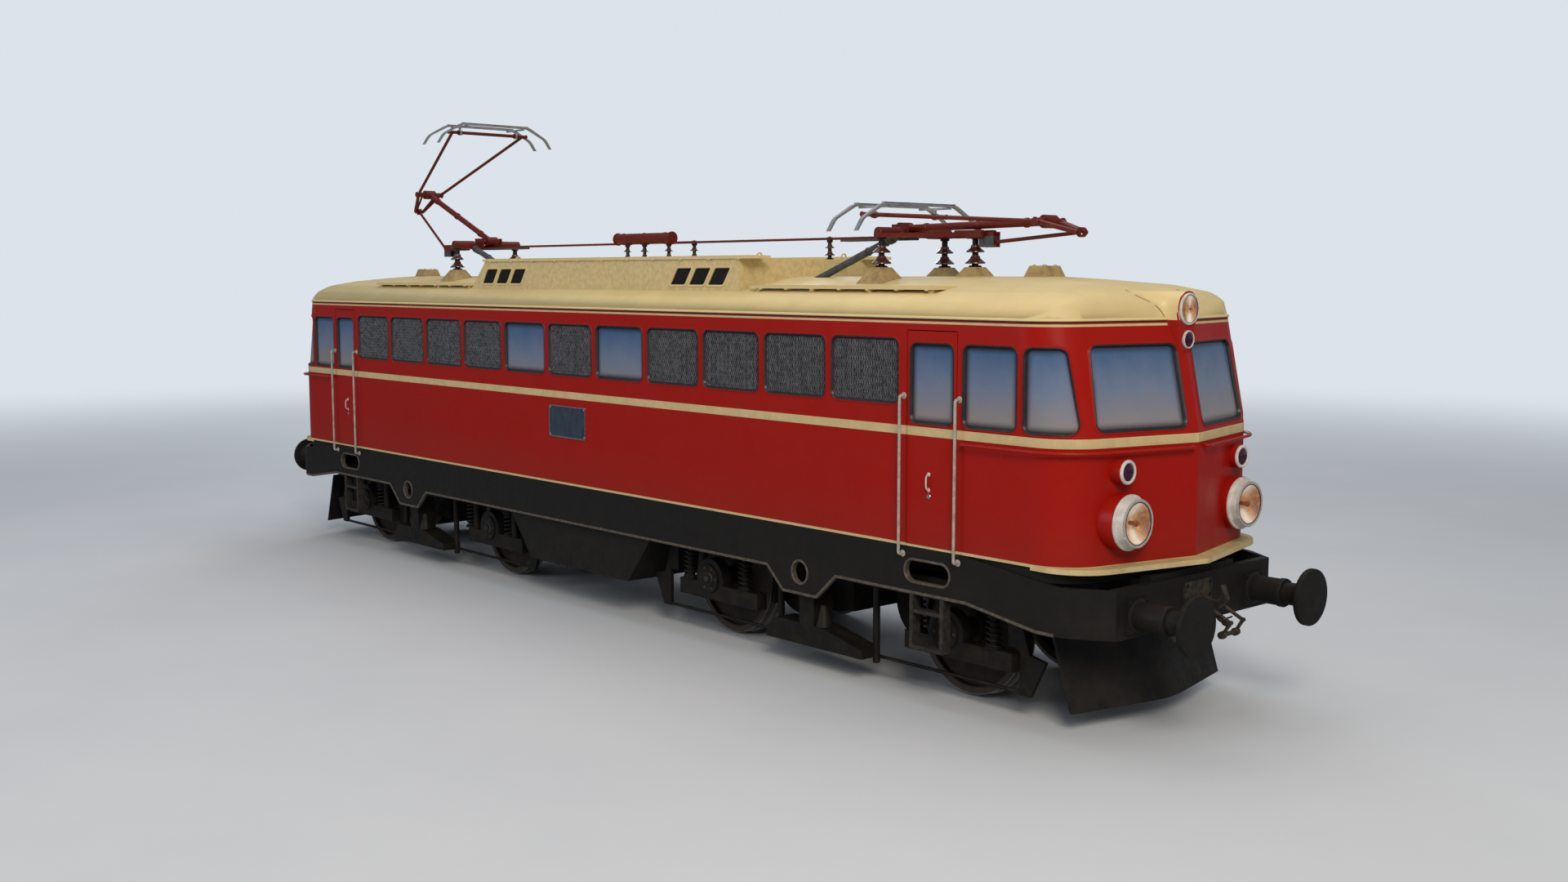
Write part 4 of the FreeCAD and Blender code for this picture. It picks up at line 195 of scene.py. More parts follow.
AHEAD, LEFTWARDS, RIGHTWARDS = (towards(way) for way in ((1, 0, 0), (0, 1, 0), (0, -1, 0)))
UP = Vector((0, 0, 1))


def coat(piece, *finishes):
    """Gives the piece its finishes, in the order of its material slots."""
    piece.data.materials.clear()
    for finish in finishes:
        piece.data.materials.append(FINISHES[finish])
    return piece


def linked(name, data):
    """A new object in the scene."""
    piece = bpy.data.objects.new(name, data)
    bpy.context.scene.collection.objects.link(piece)
    return piece


def smooth(piece, degrees=35):
    """Smooth shading, with edges sharper than the angle kept."""
    hold(piece)
    bpy.ops.object.shade_smooth_by_angle(angle=math.radians(degrees))
    return piece


def block(name, low, high, rounding=0.004, segments=2):
    """A bar between two corners, its edges rounded off."""
    nothing_selected()
    bpy.ops.mesh.primitive_cube_add(size=1, location=[(a + b) / 2 for a, b in zip(low, high)])
    bpy.context.view_layer.objects.active.scale = [abs(b - a) for a, b in zip(low, high)]
    piece = named(name)
    bpy.ops.object.mode_set(mode="EDIT")
    bpy.ops.mesh.select_all(action="SELECT")
    bpy.ops.mesh.bevel(offset=rounding, segments=segments, affect="EDGES")
    bpy.ops.object.mode_set(mode="OBJECT")
    return piece


def turned(name, profile, sides=32):
    """A piece turned on the lathe about Z: each (radius, height) is drawn out of the one before."""
    nothing_selected()
    radius, height = profile[0]
    bpy.ops.mesh.primitive_circle_add(vertices=sides, radius=radius, fill_type="NGON", location=(0, 0, height))
    piece = named(name)
    bpy.ops.object.mode_set(mode="EDIT")
    bpy.ops.mesh.select_all(action="SELECT")
    for next_radius, next_height in profile[1:]:
        bpy.ops.mesh.extrude_region_move(TRANSFORM_OT_translate={"value": (0, 0, next_height - height)})
        ratio = next_radius / radius
        bpy.ops.transform.resize(value=(ratio, ratio, 1), center_override=(0, 0, next_height))
        radius, height = next_radius, next_height
    bpy.ops.mesh.select_all(action="SELECT")
    bpy.ops.mesh.normals_make_consistent(inside=False)
    bpy.ops.object.mode_set(mode="OBJECT")
    return smooth(piece)


def rod(name, start, end, radius, sides=12, rounding=None):
    """A round bar from point to point with its rims broken."""
    start, end = Vector(start), Vector(end)
    length = (end - start).length
    edge = radius * 0.2 if rounding is None else rounding
    profile = [(radius - edge, 0), (radius, edge), (radius, length - edge), (radius - edge, length)]
    return place(turned(name, profile, sides), Matrix.Translation(start) @ towards(end - start))


def tube(name, lines, radius, sides=8, closed=False, kind="POLY"):
    """Tubes along lines of points: curves with a round section, made a mesh."""
    line = bpy.data.curves.new(name, "CURVE")
    line.dimensions = "3D"
    line.bevel_depth = radius
    line.bevel_resolution = max(0, sides // 2 - 2)
    line.use_fill_caps = not closed
    for points in lines:
        spline = line.splines.new(kind)
        spline.points.add(len(points) - 1)
        for point, position in zip(spline.points, points):
            point.co = (*position, 1)
        spline.use_cyclic_u = closed
        if kind == "NURBS":
            spline.order_u = 3
            spline.use_endpoint_u = True
            spline.resolution_u = 6
    piece = hold(linked(name, line))
    bpy.ops.object.convert(target="MESH")
    return smooth(piece, 50)


def plate(name, outline, thickness, rounding=0.002):
    """A flat plate cut to an outline in XY, standing on Z = 0, with its edges rounded."""
    line = bpy.data.curves.new(name, "CURVE")
    line.dimensions = "2D"
    line.fill_mode = "BOTH"
    line.extrude = thickness / 2 - rounding
    line.bevel_depth = rounding
    line.bevel_resolution = 1
    line.offset = -rounding
    spline = line.splines.new("POLY")
    spline.points.add(len(outline) - 1)
    for point, position in zip(spline.points, outline):
        point.co = (position[0], position[1], 0, 1)
    spline.use_cyclic_u = True
    piece = hold(linked(name, line))
    bpy.ops.object.convert(target="MESH")
    return place(smooth(piece, 40), at(0, 0, thickness / 2))


def rounded(width, height, radius, steps=6):
    """The outline of a rectangle with round corners, about the origin."""
    points = []
    for corner, (x, y) in enumerate(((1, 1), (-1, 1), (-1, -1), (1, -1))):
        for step in range(steps + 1):
            angle = math.pi / 2 * (corner + step / steps)
            points.append(
                (
                    x * (width / 2 - radius) + radius * math.cos(angle),
                    y * (height / 2 - radius) + radius * math.sin(angle),
                )
            )
    return points


SLOTS = {  # the colour slot of a fitting with this finish, where none is named
    "chassis": "black_paint",
    "black": "black_paint",
    "forged": "dark_steel",
    "bogie": "dark_steel",
    "tread": "dark_steel",
    "lip": "dark_steel",
    "gear": "bus_red",
    "drive": "pan_grey",
    "zinc": "pan_grey",
    "carbon": "pan_grey",
    "sooty": "cream_paint",
}


def gather(name, stock, body, *finishes, slot=None):
    """One piece from (pattern, places) pairs. Each pattern is copied to its places, and then taken away."""
    nothing_selected()
    made = []
    for pattern, places in stock:
        for matrix in places:
            made.append(place(linked(name, pattern.data.copy()), matrix))
    for pattern, _ in stock:
        bpy.data.objects.remove(pattern)
    for piece in made:
        piece.select_set(True)
    bpy.context.view_layer.objects.active = made[0]
    if len(made) > 1:
        bpy.ops.object.join()
    piece = made[0]
    piece.name = name
    if finishes:
        coat(piece, *finishes)
        slot = slot or SLOTS.get(finishes[0])
    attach(piece, body)
    return piece


def skinned(name, runs, closed=False, degrees=30):
    """A skin over runs of rings, each ring a list of points; an open run is capped at both ends."""
    mesh = bmesh.new()
    for run in runs:
        rings = [[mesh.verts.new(point) for point in ring] for ring in run]
        for first, second in zip(rings, rings[1:] + rings[:1] if closed else rings[1:]):
            for j in range(len(first)):
                k = (j + 1) % len(first)
                mesh.faces.new((first[j], first[k], second[k], second[j]))
        if not closed:
            mesh.faces.new(rings[0])
            mesh.faces.new(rings[-1][::-1])
    bmesh.ops.recalc_face_normals(mesh, faces=mesh.faces[:])
    data = bpy.data.meshes.new(name)
    mesh.to_mesh(data)
    mesh.free()
    return smooth(linked(name, data), degrees)


def swept(name, lines, section, closed=True):
    """A moulding along lines of (point, sideways, outwards); its section is pairs (sideways, outwards)."""
    runs = [[[point + right * s + out * n for s, n in section] for point, right, out in line] for line in lines]
    return skinned(name, runs, closed)


def faces_out(point):
    """Which way the body's wall faces at a point, seen from above."""
    x, y = abs(point.x), abs(point.y)
    angle = math.atan2(y - CORNER.y, x - CORNER.x) if x > CORNER.x else math.pi / 2
    angle = min(max(angle, CORNER_START), math.pi / 2)
    turn = Vector((math.cos(angle), math.sin(angle), 0))
    return Vector((math.copysign(turn.x, point.x) if x > CORNER.x else 0, math.copysign(turn.y, point.y), 0))


def sideways_out(point):
    """Straight out of the nearer flank."""
    return Vector((0, math.copysign(1, point.y), 0))


def merged(data):
    """A mesh as a bmesh, with the points that lie together joined."""
    mesh = bmesh.new()
    mesh.from_mesh(data)
    bmesh.ops.remove_doubles(mesh, verts=mesh.verts[:], dist=0.00002)
    return mesh


def outer_skin(node, facing):
    """A merged copy of a CAD node as a bmesh, with its outwards faces."""
    mesh = merged(NODES[node].data)
    skin = {f for f in mesh.faces if f.normal.dot(facing(f.calc_center_median())) > 0.85}
    return mesh, skin


def outlines(node, facing):
    """The outlines of a node's outwards faces, each a ring of (point, sideways, outwards)."""
    mesh, skin = outer_skin(node, facing)
    after = {}
    for face in skin:
        for loop in face.loops:
            if sum(f in skin for f in loop.edge.link_faces) == 1:
                after[loop.vert] = loop.link_loop_next.vert
    rings = []
    while after:
        start = next(iter(after))
        chain = [start]
        step = after.pop(start)
        while step is not start and step in after:
            chain.append(step)
            step = after.pop(step)
        ring = []
        for i, vert in enumerate(chain):
            outwards = sum((f.normal for f in vert.link_faces if f in skin), Vector()).normalized()
            back = (vert.co - chain[i - 1].co).normalized()
            ahead = (chain[(i + 1) % len(chain)].co - vert.co).normalized()
            tangent = (back + ahead).normalized()
            sideways = tangent.cross(outwards).normalized()
            stretch = 1 / max(0.6, tangent.dot(ahead))
            ring.append((vert.co.copy(), sideways * stretch, outwards))
        rings.append(ring)
    mesh.free()
    return rings


def cut_through(ring):
    """A window's ring with its outwards along the cut of its opening, so that it meets the wall's edge."""
    facing = sum((out for _, _, out in ring), Vector())
    front = abs(facing.x) > 2 * abs(facing.y)
    axis = Vector((math.copysign(1, facing.x), 0, 0)) if front else Vector((0, math.copysign(1, facing.y), 0))
    return [(point, right, axis / max(0.4, axis.dot(out))) for point, right, out in ring]


def cut_points(node, height):
    """The points in which a level plane cuts a node's edges."""
    mesh = merged(NODES[node].data)
    cut = bmesh.ops.bisect_plane(
        mesh,
        geom=mesh.verts[:] + mesh.edges[:] + mesh.faces[:],
        plane_co=(0, 0, height),
        plane_no=(0, 0, 1),
    )["geom_cut"]
    spots = [v.co.copy() for v in cut if isinstance(v, bmesh.types.BMVert)]
    mesh.free()
    return spots


# ---------------------------------------------------------------- materials


def add(tree, kind, settings=None, inputs=None, output=0):
    """Adds one node: settings are its own, inputs go to its sockets as values, hex colours or links."""
    node = tree.nodes.new("ShaderNode" + kind)
    for key, setting in (settings or {}).items():
        setattr(node, key, setting)
    for key, source in (inputs or {}).items():
        if isinstance(source, bpy.types.NodeSocket):
            tree.links.new(source, node.inputs[key])
        else:
            node.inputs[key].default_value = linear(source) if isinstance(source, str) else source
    return node.outputs[output]


def mix(tree, share, first, second):
    """One colour passing into another as the share goes from 0 to 1."""
    return add(tree, "Mix", {"data_type": "RGBA"}, {0: share, 6: first, 7: second}, 2)


def spread(tree, value, low, high, first=0.0, last=1.0):
    """A value that goes from first to last as another goes from low to high."""
    return add(tree, "MapRange", None, {0: value, 1: low, 2: high, 3: first, 4: last})


def maths(tree, operation, *values):
    """One sum on values."""
    return add(tree, "Math", {"operation": operation}, dict(enumerate(values)))


def surface(name, **values):
    """A new material with a plain shader; returns the material, its tree and the shader."""
    material = bpy.data.materials.new(name)
    material.use_nodes = True
    tree = material.node_tree
    shader = tree.nodes["Principled BSDF"]
    for key, value in values.items():
        shader.inputs[key.replace("_", " ")].default_value = value
    return material, tree, shader


def feed(tree, shader, **sources):
    """Links values or colours that change over the surface to the shader."""
    for key, source in sources.items():
        tree.links.new(source, shader.inputs[key.replace("_", " ")])


def wander(tree, size_mm, low=0.0, high=1.0, start=0.35, full=0.7, detail=5.0, stretch=(1, 1, 1)):
    """A value that wanders from low to high over the surface, in patches about size_mm across."""
    spot = add(tree, "TexCoord", output="Object")
    spot = add(tree, "Mapping", None, {"Vector": spot, "Scale": stretch})
    shape = {"Vector": spot, "Scale": 1000 / size_mm, "Detail": detail, "Roughness": 0.65}
    return spread(tree, add(tree, "TexNoise", None, shape), start, full, low, high)


def patched(tree, colour, other, size_mm, share=1.0, start=0.35, full=0.7, **shape):
    """The other colour showing on the first in patches about size_mm across, share being the most of it."""
    return mix(tree, wander(tree, size_mm, 0.0, share, start, full, **shape), colour, other)


def bumped(tree, shader, height, depth_mm, strength):
    """The surface raised by a height from 0 to 1 times the depth."""
    inputs = {"Height": height, "Distance": depth_mm / 1000, "Strength": strength}
    feed(tree, shader, Normal=add(tree, "Bump", None, inputs))


def grained(tree, shader, size_mm, depth_mm, strength=0.4, detail=3.0):
    """A fine unevenness of the surface, size_mm across and depth_mm deep."""
    bumped(tree, shader, wander(tree, size_mm, 0.0, 1.0, 0.0, 1.0, detail), depth_mm, strength)


def object_axes(tree):
    """The three Object coordinates, in metres."""
    parts = add(tree, "SeparateXYZ", None, {0: add(tree, "TexCoord", output="Object")})
    return parts.node.outputs


def stripe(tree, up, low, high):
    """1 between two heights, its edges 1 mm soft."""
    above = spread(tree, up, low - 0.0005, low + 0.0005)
    below = spread(tree, up, high - 0.0005, high + 0.0005, 1.0, 0.0)
    return maths(tree, "MULTIPLY", above, below)


def coach_enamel(livery):
    """Synthetic enamel sprayed on sheet steel: an even gloss, orange peel, dust low down, cream lines."""
    material, tree, shader = surface(
        "sprayed_coach_enamel", IOR=1.5, Specular_IOR_Level=0.13, Coat_Weight=0.03, Coat_Roughness=0.15
    )
    up = object_axes(tree)["Z"]
    red = patched(tree, list(livery.coach_red), "8E1409", 900, 0.35)
    red = patched(tree, red, "B83424", 60, 0.14, 0.6, 0.8)
    dust = spread(tree, up, 1.95, 1.40, 0.0, 0.16)
    red = mix(tree, dust, red, "5A3A2A")
    thin = livery.line_width / 2
    band = stripe(tree, up, livery.band_low + RAIL, livery.band_high + RAIL)
    low = stripe(tree, up, 0.5, livery.line_low + RAIL)
    high = stripe(tree, up, livery.line_high + RAIL - thin, livery.line_high + RAIL + thin)
    lines = maths(tree, "MAXIMUM", maths(tree, "MAXIMUM", band, low), high)
    cream = patched(tree, list(livery.line_cream), "A08F66", 120, 0.4)
    colour = mix(tree, lines, red, cream)
    feed(tree, shader, Base_Color=colour, Roughness=wander(tree, 300, 0.27, 0.42))
    grained(tree, shader, 9, 0.25)
    return material


def housing_enamel(livery, name, cream_from):
    """The same enamel on pressed lamp housings and the front rail: red, and cream from a height upwards."""
    material, tree, shader = surface(
        name, IOR=1.5, Roughness=0.36, Specular_IOR_Level=0.2, Coat_Weight=0.04, Coat_Roughness=0.15
    )
    red = patched(tree, list(livery.coach_red), "861409", 200, 0.3)
    above = spread(tree, object_axes(tree)["Z"], cream_from - 0.0005, cream_from + 0.0005)
    feed(tree, shader, Base_Color=mix(tree, above, red, list(livery.roof_cream)))
    grained(tree, shader, 9, 0.25)
    return material


def roof_enamel(livery, name, soot, patch_mm):
    """Roof enamel laid on by brush: matt and patchy, with brake dust and soot; soot sets how much."""
    material, tree, shader = surface(name, IOR=1.45, Specular_IOR_Level=0.35)
    cream = patched(tree, list(livery.roof_cream), "C4B07C", 700, 0.4)
    cream = patched(tree, cream, "6F6242", patch_mm, soot, 0.42, 0.72, detail=8)
    cream = patched(tree, cream, "4D452F", 14, soot * 0.8, 0.62, 0.78)
    feed(tree, shader, Base_Color=cream, Roughness=wander(tree, 120, 0.5, 0.68))
    grained(tree, shader, 12, 0.5)
    return material


def chassis_paint(livery):
    """Chassis paint on plate and castings: near black, half matt, with road dust settled low down."""
    material, tree, shader = surface("brushed_chassis_paint", IOR=1.5, Specular_IOR_Level=0.15)
    depth = spread(tree, object_axes(tree)["Z"], 1.45, 0.2, 0.05, 0.4)
    dust = maths(tree, "MULTIPLY", depth, wander(tree, 220))
    black = mix(tree, dust, list(livery.frame_black), "3A332C")
    black = patched(tree, black, "45403B", 35, 0.3, 0.62, 0.75, stretch=(1, 1, 2.5))
    feed(tree, shader, Base_Color=black, Roughness=wander(tree, 90, 0.42, 0.62))
    grained(tree, shader, 18, 0.8)
    return material


def bogie_steel():
    """Forged and cast running gear: oily black-brown, rough from the mould, dusted with brake iron."""
    material, tree, shader = surface("oily_cast_steel", IOR=1.5, Specular_IOR_Level=0.2, Metallic=0.15)
    steel = patched(tree, "1C1A19", "38301F", 160, 0.45, 0.45, 0.72, detail=7)
    steel = patched(tree, steel, "141312", 60, 0.7, 0.58, 0.7)
    feed(tree, shader, Base_Color=steel, Roughness=wander(tree, 70, 0.38, 0.7))
    grained(tree, shader, 11, 1.2, 0.5)
    return material


def far_out(tree, source):
    """The length of a vector, such as a point's way from the origin."""
    return add(tree, "VectorMath", {"operation": "LENGTH"}, {0: source}, "Value")


def wheel_steel(fittings):
    """Rolled wheel: a tread polished bright by the rail, a worn rim and a dusty brown disc."""
    material, tree, shader = surface("rolled_wheel_steel", IOR=1.5, Specular_IOR_Level=0.3)
    spot = object_axes(tree)
    along = maths(tree, "SUBTRACT", maths(tree, "ABSOLUTE", spot["X"]), BOGIE)
    along = maths(tree, "SUBTRACT", maths(tree, "ABSOLUTE", along), BOGIE - AXLES[0])
    over = maths(tree, "SUBTRACT", spot["Z"], AXLE_UP)
    radius = far_out(tree, add(tree, "CombineXYZ", None, {0: along, 2: over}))
    tread = spread(tree, radius, TREAD - 0.006, TREAD - 0.002)
    edge = TREAD - fittings.tyre_height
    rim = spread(tree, radius, edge, edge + 0.003, 0.0, 0.45)
    brown = patched(tree, "221E1B", "3B2E25", 140)
    brown = mix(tree, rim, brown, "4F4941")
    feed(
        tree,
        shader,
        Base_Color=mix(tree, tread, brown, "B9B6B0"),
        Metallic=spread(tree, tread, 0.0, 1.0, 0.15, 0.95),
        Roughness=spread(tree, tread, 0.0, 1.0, 0.6, 0.28),
    )
    grained(tree, shader, 13, 0.8)
    return material


def oxide_enamel(livery, name, grey_below=0.0):
    """Red oxide enamel brushed on pantograph tubes: half matt, dark where greased; grey on the drive rods."""
    material, tree, shader = surface(name, IOR=1.5, Roughness=0.45, Specular_IOR_Level=0.3)
    red = patched(tree, list(livery.roof_gear_red), "7C3428", 130, 0.45, 0.5, 0.75)
    red = patched(tree, red, "330B07", 50, 0.7, 0.6, 0.72)
    if grey_below:
        above = spread(tree, object_axes(tree)["Z"], grey_below, grey_below + 0.001)
        grey = patched(tree, "54575A", "3A3C3E", 70)
        red = mix(tree, above, grey, red)
    feed(tree, shader, Base_Color=red)
    grained(tree, shader, 10, 0.4)
    return material


def galvanised_tube():
    """Hot-dip galvanised tube: light grey with the spangle of its zinc, dulled by weather."""
    material, tree, shader = surface("galvanised_tube", Metallic=0.7)
    spot = add(tree, "TexCoord", output="Object")
    spangle = add(tree, "TexVoronoi", None, {"Vector": spot, "Scale": 90.0}, "Color")
    zinc = mix(tree, 0.15, "A9ACAE", spangle)
    feed(
        tree,
        shader,
        Base_Color=patched(tree, zinc, "7D7C79", 80, 0.6, 0.45, 0.7),
        Roughness=wander(tree, 60, 0.34, 0.52),
    )
    grained(tree, shader, 8, 0.2)
    return material


def glazed_porcelain():
    """Brown glazed porcelain: a wet gloss over a maroon body, sooty in patches."""
    material, tree, shader = surface(
        "brown_glazed_porcelain", IOR=1.52, Roughness=0.3, Coat_Weight=0.6, Coat_Roughness=0.08
    )
    glaze = patched(tree, "3C1B16", "552B21", 40)
    feed(tree, shader, Base_Color=patched(tree, glaze, "21110F", 90, 0.5, 0.5, 0.75))
    grained(tree, shader, 20, 0.4, 0.3)
    return material


def window_glass_painted_light(livery):
    """Laminated glass: blue above and pale below as a painted reflection, darker near its edges as painted
    shade where the rubber meets it.
    """
    material, tree, shader = surface("laminated_glass_painted_reflection", IOR=1.5, Transmission_Weight=0.12)
    # painted reflection: blue at the top of a pane passing to pale at its bottom
    fall = spread(tree, object_axes(tree)["Z"], 3.28, 2.62)
    fall = maths(tree, "ADD", fall, wander(tree, 260, -0.07, 0.07))
    ramp = add(tree, "ValToRGB", None, {"Fac": fall}, "Color")
    stops = ((0.0, list(livery.glass_high)), (0.5, linear("6E7C96")), (0.95, list(livery.glass_low)))
    ramp.node.color_ramp.elements.new(0.5)
    for element, (position, colour) in zip(ramp.node.color_ramp.elements, stops):
        element.position = position
        element.color = colour
    # painted shade: the pane darkens to near black within 75 mm of its edges, from the distances that edge_gaps
    # records
    gaps = add(tree, "Attribute", {"attribute_name": "edge_gap"}, output="Color")
    near = add(tree, "SeparateColor", None, {0: gaps}).node.outputs
    nearest = maths(tree, "SMOOTH_MIN", near[0], near[1], 0.03)
    nearest = maths(tree, "SMOOTH_MIN", nearest, near[2], 0.03)
    nearest = maths(tree, "SMOOTH_MIN", nearest, gaps.node.outputs["Alpha"], 0.03)
    edge = add(
        tree, "MapRange", {"interpolation_type": "SMOOTHSTEP"}, {0: nearest, 1: 0.0, 2: 0.075, 3: 0.9, 4: 0.0}
    )
    colour = mix(tree, edge, ramp, "1E2126")
    feed(tree, shader, Base_Color=colour, Roughness=wander(tree, 5, 0.1, 0.2))
    return material


def window_rubber():
    """Extruded rubber profile: black, satin, chalked grey by the weather in patches."""
    material, tree, shader = surface("extruded_window_rubber", IOR=1.5, Roughness=0.42)
    feed(tree, shader, Base_Color=patched(tree, "17181A", "34363A", 45, 0.5, 0.45, 0.75))
    grained(tree, shader, 7, 0.2, 0.3)
    return material


def filter_fleece():
    """Oiled filter fleece behind the side grilles: almost black, furry with dust."""
    material, tree, shader = surface("oiled_filter_fleece", Roughness=0.9)
    feed(tree, shader, Base_Color=patched(tree, "101114", "26282D", 22, 1.0, 0.4, 0.65))
    grained(tree, shader, 15, 5, 0.7, 5.0)
    return material


def crimped_wire():
    """Crimped galvanised wire of the side grilles: dull grey, dusty in patches."""
    material, tree, shader = surface("crimped_grille_wire", Metallic=0.4, Roughness=0.55)
    feed(tree, shader, Base_Color=patched(tree, "6E7178", "33363C", 40, 1.0, 0.35, 0.7))
    grained(tree, shader, 5, 0.4)
    return material


def chalked_rim(livery):
    """Grey enamel on cast lamp rims: blotched white where it has chalked, grey where it is worn."""
    material, tree, shader = surface("chalked_rim_enamel", IOR=1.5, Roughness=0.45)
    grey = patched(tree, list(livery.lamp_grey), "A9A59D", 80, 1.0, 0.4, 0.7)
    feed(tree, shader, Base_Color=patched(tree, grey, "E0DDD6", 22, 0.35, 0.6, 0.75))
    grained(tree, shader, 12, 0.4)
    return material


def nickel_bezel():
    """Nickel-plated brass bezel: mirror bright, slightly warm, hazed by washing."""
    material, tree, shader = surface("nickel_plated_bezel", Metallic=1.0)
    colour = patched(tree, "D6D4CE", "A8A59E", 25, 1.0, 0.4, 0.7)
    feed(tree, shader, Base_Color=colour, Roughness=wander(tree, 30, 0.14, 0.3))
    return material


def silvered_reflector():
    """Silvered reflector: amber, with painted highlights white above and below the bulb, a painted reflection
    of the rim dusky beside it, and a faint painted glow.
    """
    material, tree, shader = surface("silvered_reflector", Metallic=0.35, Roughness=0.3)
    painted_reflection = add(tree, "Attribute", {"attribute_name": "painted_reflection"}, output="Color")
    share = add(tree, "SeparateColor", None, {0: painted_reflection}).node.outputs
    amber = patched(tree, "D9994E", "A0662E", 35, 1.0, 0.4, 0.65)
    # painted reflection of the rim: dusky 6E5358 beside the bulb; painted highlight: white EFE9E0 above and
    # below it
    colour = mix(tree, share[1], amber, "6E5358")
    colour = mix(tree, share[0], colour, "EFE9E0")
    # painted glow: the unlit reflector emits its own colour faintly
    feed(tree, shader, Base_Color=colour, Emission_Color=colour)
    shader.inputs["Emission Strength"].default_value = 0.42
    return material


def lamp_glass():
    """Pressed headlamp glass: clear, slightly warm, with a soft ripple from its mould."""
    material, tree, shader = surface("pressed_lamp_glass", IOR=1.47, Roughness=0.04, Transmission_Weight=1.0)
    shader.inputs["Base Color"].default_value = linear("FFF6EA")
    grained(tree, shader, 30, 0.4, 0.3, 1.0)
    return material


def marker_glass():
    """Deep red marker glass over an unlit lamp: near-black purple with a sharp highlight."""
    material, tree, shader = surface("dark_marker_glass", IOR=1.5, Roughness=0.1, Specular_IOR_Level=0.35)
    feed(tree, shader, Base_Color=patched(tree, "250D20", "43203A", 60, detail=2))
    return material


def brushed_paint(name, colour, rubbed, roughness=0.42, patch_mm=90):
    """Brush-painted steel fitting: an uneven gloss, rubbed to another tone where hands and feet reach it."""
    material, tree, shader = surface(name, IOR=1.5, Specular_IOR_Level=0.3)
    colour = patched(tree, colour, rubbed, patch_mm, 1.0, 0.42, 0.72)
    feed(tree, shader, Base_Color=colour, Roughness=wander(tree, 40, roughness - 0.07, roughness + 0.1))
    grained(tree, shader, 9, 0.3)
    return material


def plate_enamel():
    """Vitreous enamel on the blank works plate: dark blue, streaked, chipped to grey at a few specks."""
    material, tree, shader = surface("blue_vitreous_enamel", IOR=1.52, Roughness=0.3)
    blue = patched(tree, "22303F", "33424F", 60, stretch=(1, 1, 0.35))
    feed(tree, shader, Base_Color=patched(tree, blue, "8D9499", 9, 0.7, 0.68, 0.74))
    grained(tree, shader, 14, 0.3)
    return material


def desk_lacquer():
    """Hammer-finish lacquer of the cab walls and desk: grey-green with dimples 5 mm across."""
    material, tree, shader = surface("hammer_finish_lacquer", IOR=1.5, Roughness=0.45)
    feed(tree, shader, Base_Color=patched(tree, "8D9488", "767D72", 300))
    spot = add(tree, "TexCoord", output="Object")
    dimple = add(tree, "TexVoronoi", None, {"Vector": spot, "Scale": 200.0}, "Distance")
    bumped(tree, shader, dimple, 0.4, 0.5)
    return material


def seat_moquette():
    """Brown woven moquette on the seats: its 2 mm ribs are drawn 12 mm apart so that they show."""
    material, tree, shader = surface("woven_seat_moquette", Roughness=0.85, Sheen_Weight=0.4)
    shape = {"Vector": add(tree, "TexCoord", output="Object"), "Scale": 26.0, "Distortion": 0.6}
    rib = add(tree, "TexWave", {"bands_direction": "Y"}, shape, "Fac")
    colour = mix(tree, rib, "4A3426", "6B4C37")
    feed(tree, shader, Base_Color=patched(tree, colour, "3A281D", 120, 0.5))
    bumped(tree, shader, rib, 1.2, 0.6)
    return material


FINISHES = {}


class LOCO_OT_mix_finishes(bpy.types.Operator):
    """Mixes every paint, metal, glass and rubber that the pieces use"""

    bl_idname = "loco.mix_finishes"
    bl_label = "Mix finishes"

    def execute(self, context):
        livery, fittings = context.scene.loco_livery, context.scene.loco_fittings
        FINISHES.update(
            coach=coach_enamel(livery),
            housing=housing_enamel(livery, "sprayed_housing_enamel", 3.5),
            face=housing_enamel(livery, "sprayed_face_enamel", 9.0),
            roof=roof_enamel(livery, "brushed_roof_enamel", 0.10, 260),
            sooty=roof_enamel(livery, "sooty_roof_enamel", 0.38, 60),
            chassis=chassis_paint(livery),
            bogie=bogie_steel(),
            wheel=wheel_steel(fittings),
            gear=oxide_enamel(livery, "brushed_oxide_enamel"),
            base=oxide_enamel(livery, "brushed_base_enamel", 4.252),
            zinc=galvanised_tube(),
            porcelain=glazed_porcelain(),
            glass=window_glass_painted_light(livery),
            rubber=window_rubber(),
            fleece=filter_fleece(),
            wire=crimped_wire(),
            rim=chalked_rim(livery),
            bezel=nickel_bezel(),
            ring=brushed_paint("grey_ring_enamel", "A3A19D", "8B8986"),
            silver=silvered_reflector(),
            amber=brushed_paint("amber_bulb_glass", "B5723A", "5C3420", 0.2, 12),
            lens=lamp_glass(),
            marker=marker_glass(),
            handrail=brushed_paint("hand_worn_rail_paint", list(livery.rail_grey), "857B70"),
            grab=brushed_paint("light_grab_paint", "C9C3B8", "9B958A"),
            # lighter brown-grey on skirt flanges, hole rims and insulator nuts: partly chipped wear, partly a
            # painted highlight of edges catching the light
            lip=brushed_paint("chipped_edge_painted_highlight", "45403A", "6A5F50", 0.5, 50),
            tread=brushed_paint("boot_worn_tread", "262422", "403A34", 0.5, 60),
            edge=brushed_paint("dusty_cream_edge", list(livery.line_cream), "AC9A6C", 0.5, 200),
            forged=brushed_paint("forged_coupling_steel", "28241F", "4A4036", 0.45, 60),
            drive=brushed_paint("grey_drive_enamel", "484A4D", "2E3032", 0.45, 70),
            carbon=brushed_paint("rubbed_carbon_strip", "2B2C2E", "4D4E50", 0.35, 60),
            black=brushed_paint("stoved_black_lacquer", "111214", "26272A", 0.35, 60),
            # tan for the line along the hood's crease: painted shade
            caulk=brushed_paint("tan_roof_caulk", "8A7548", "6B5A38", 0.6, 60),
            plinth=brushed_paint("sooty_plinth_enamel", "A68E60", "836F4A", 0.6, 70),
            plate=plate_enamel(),
            lacquer=desk_lacquer(),
            cloth=seat_moquette(),
        )
        return {"FINISHED"}


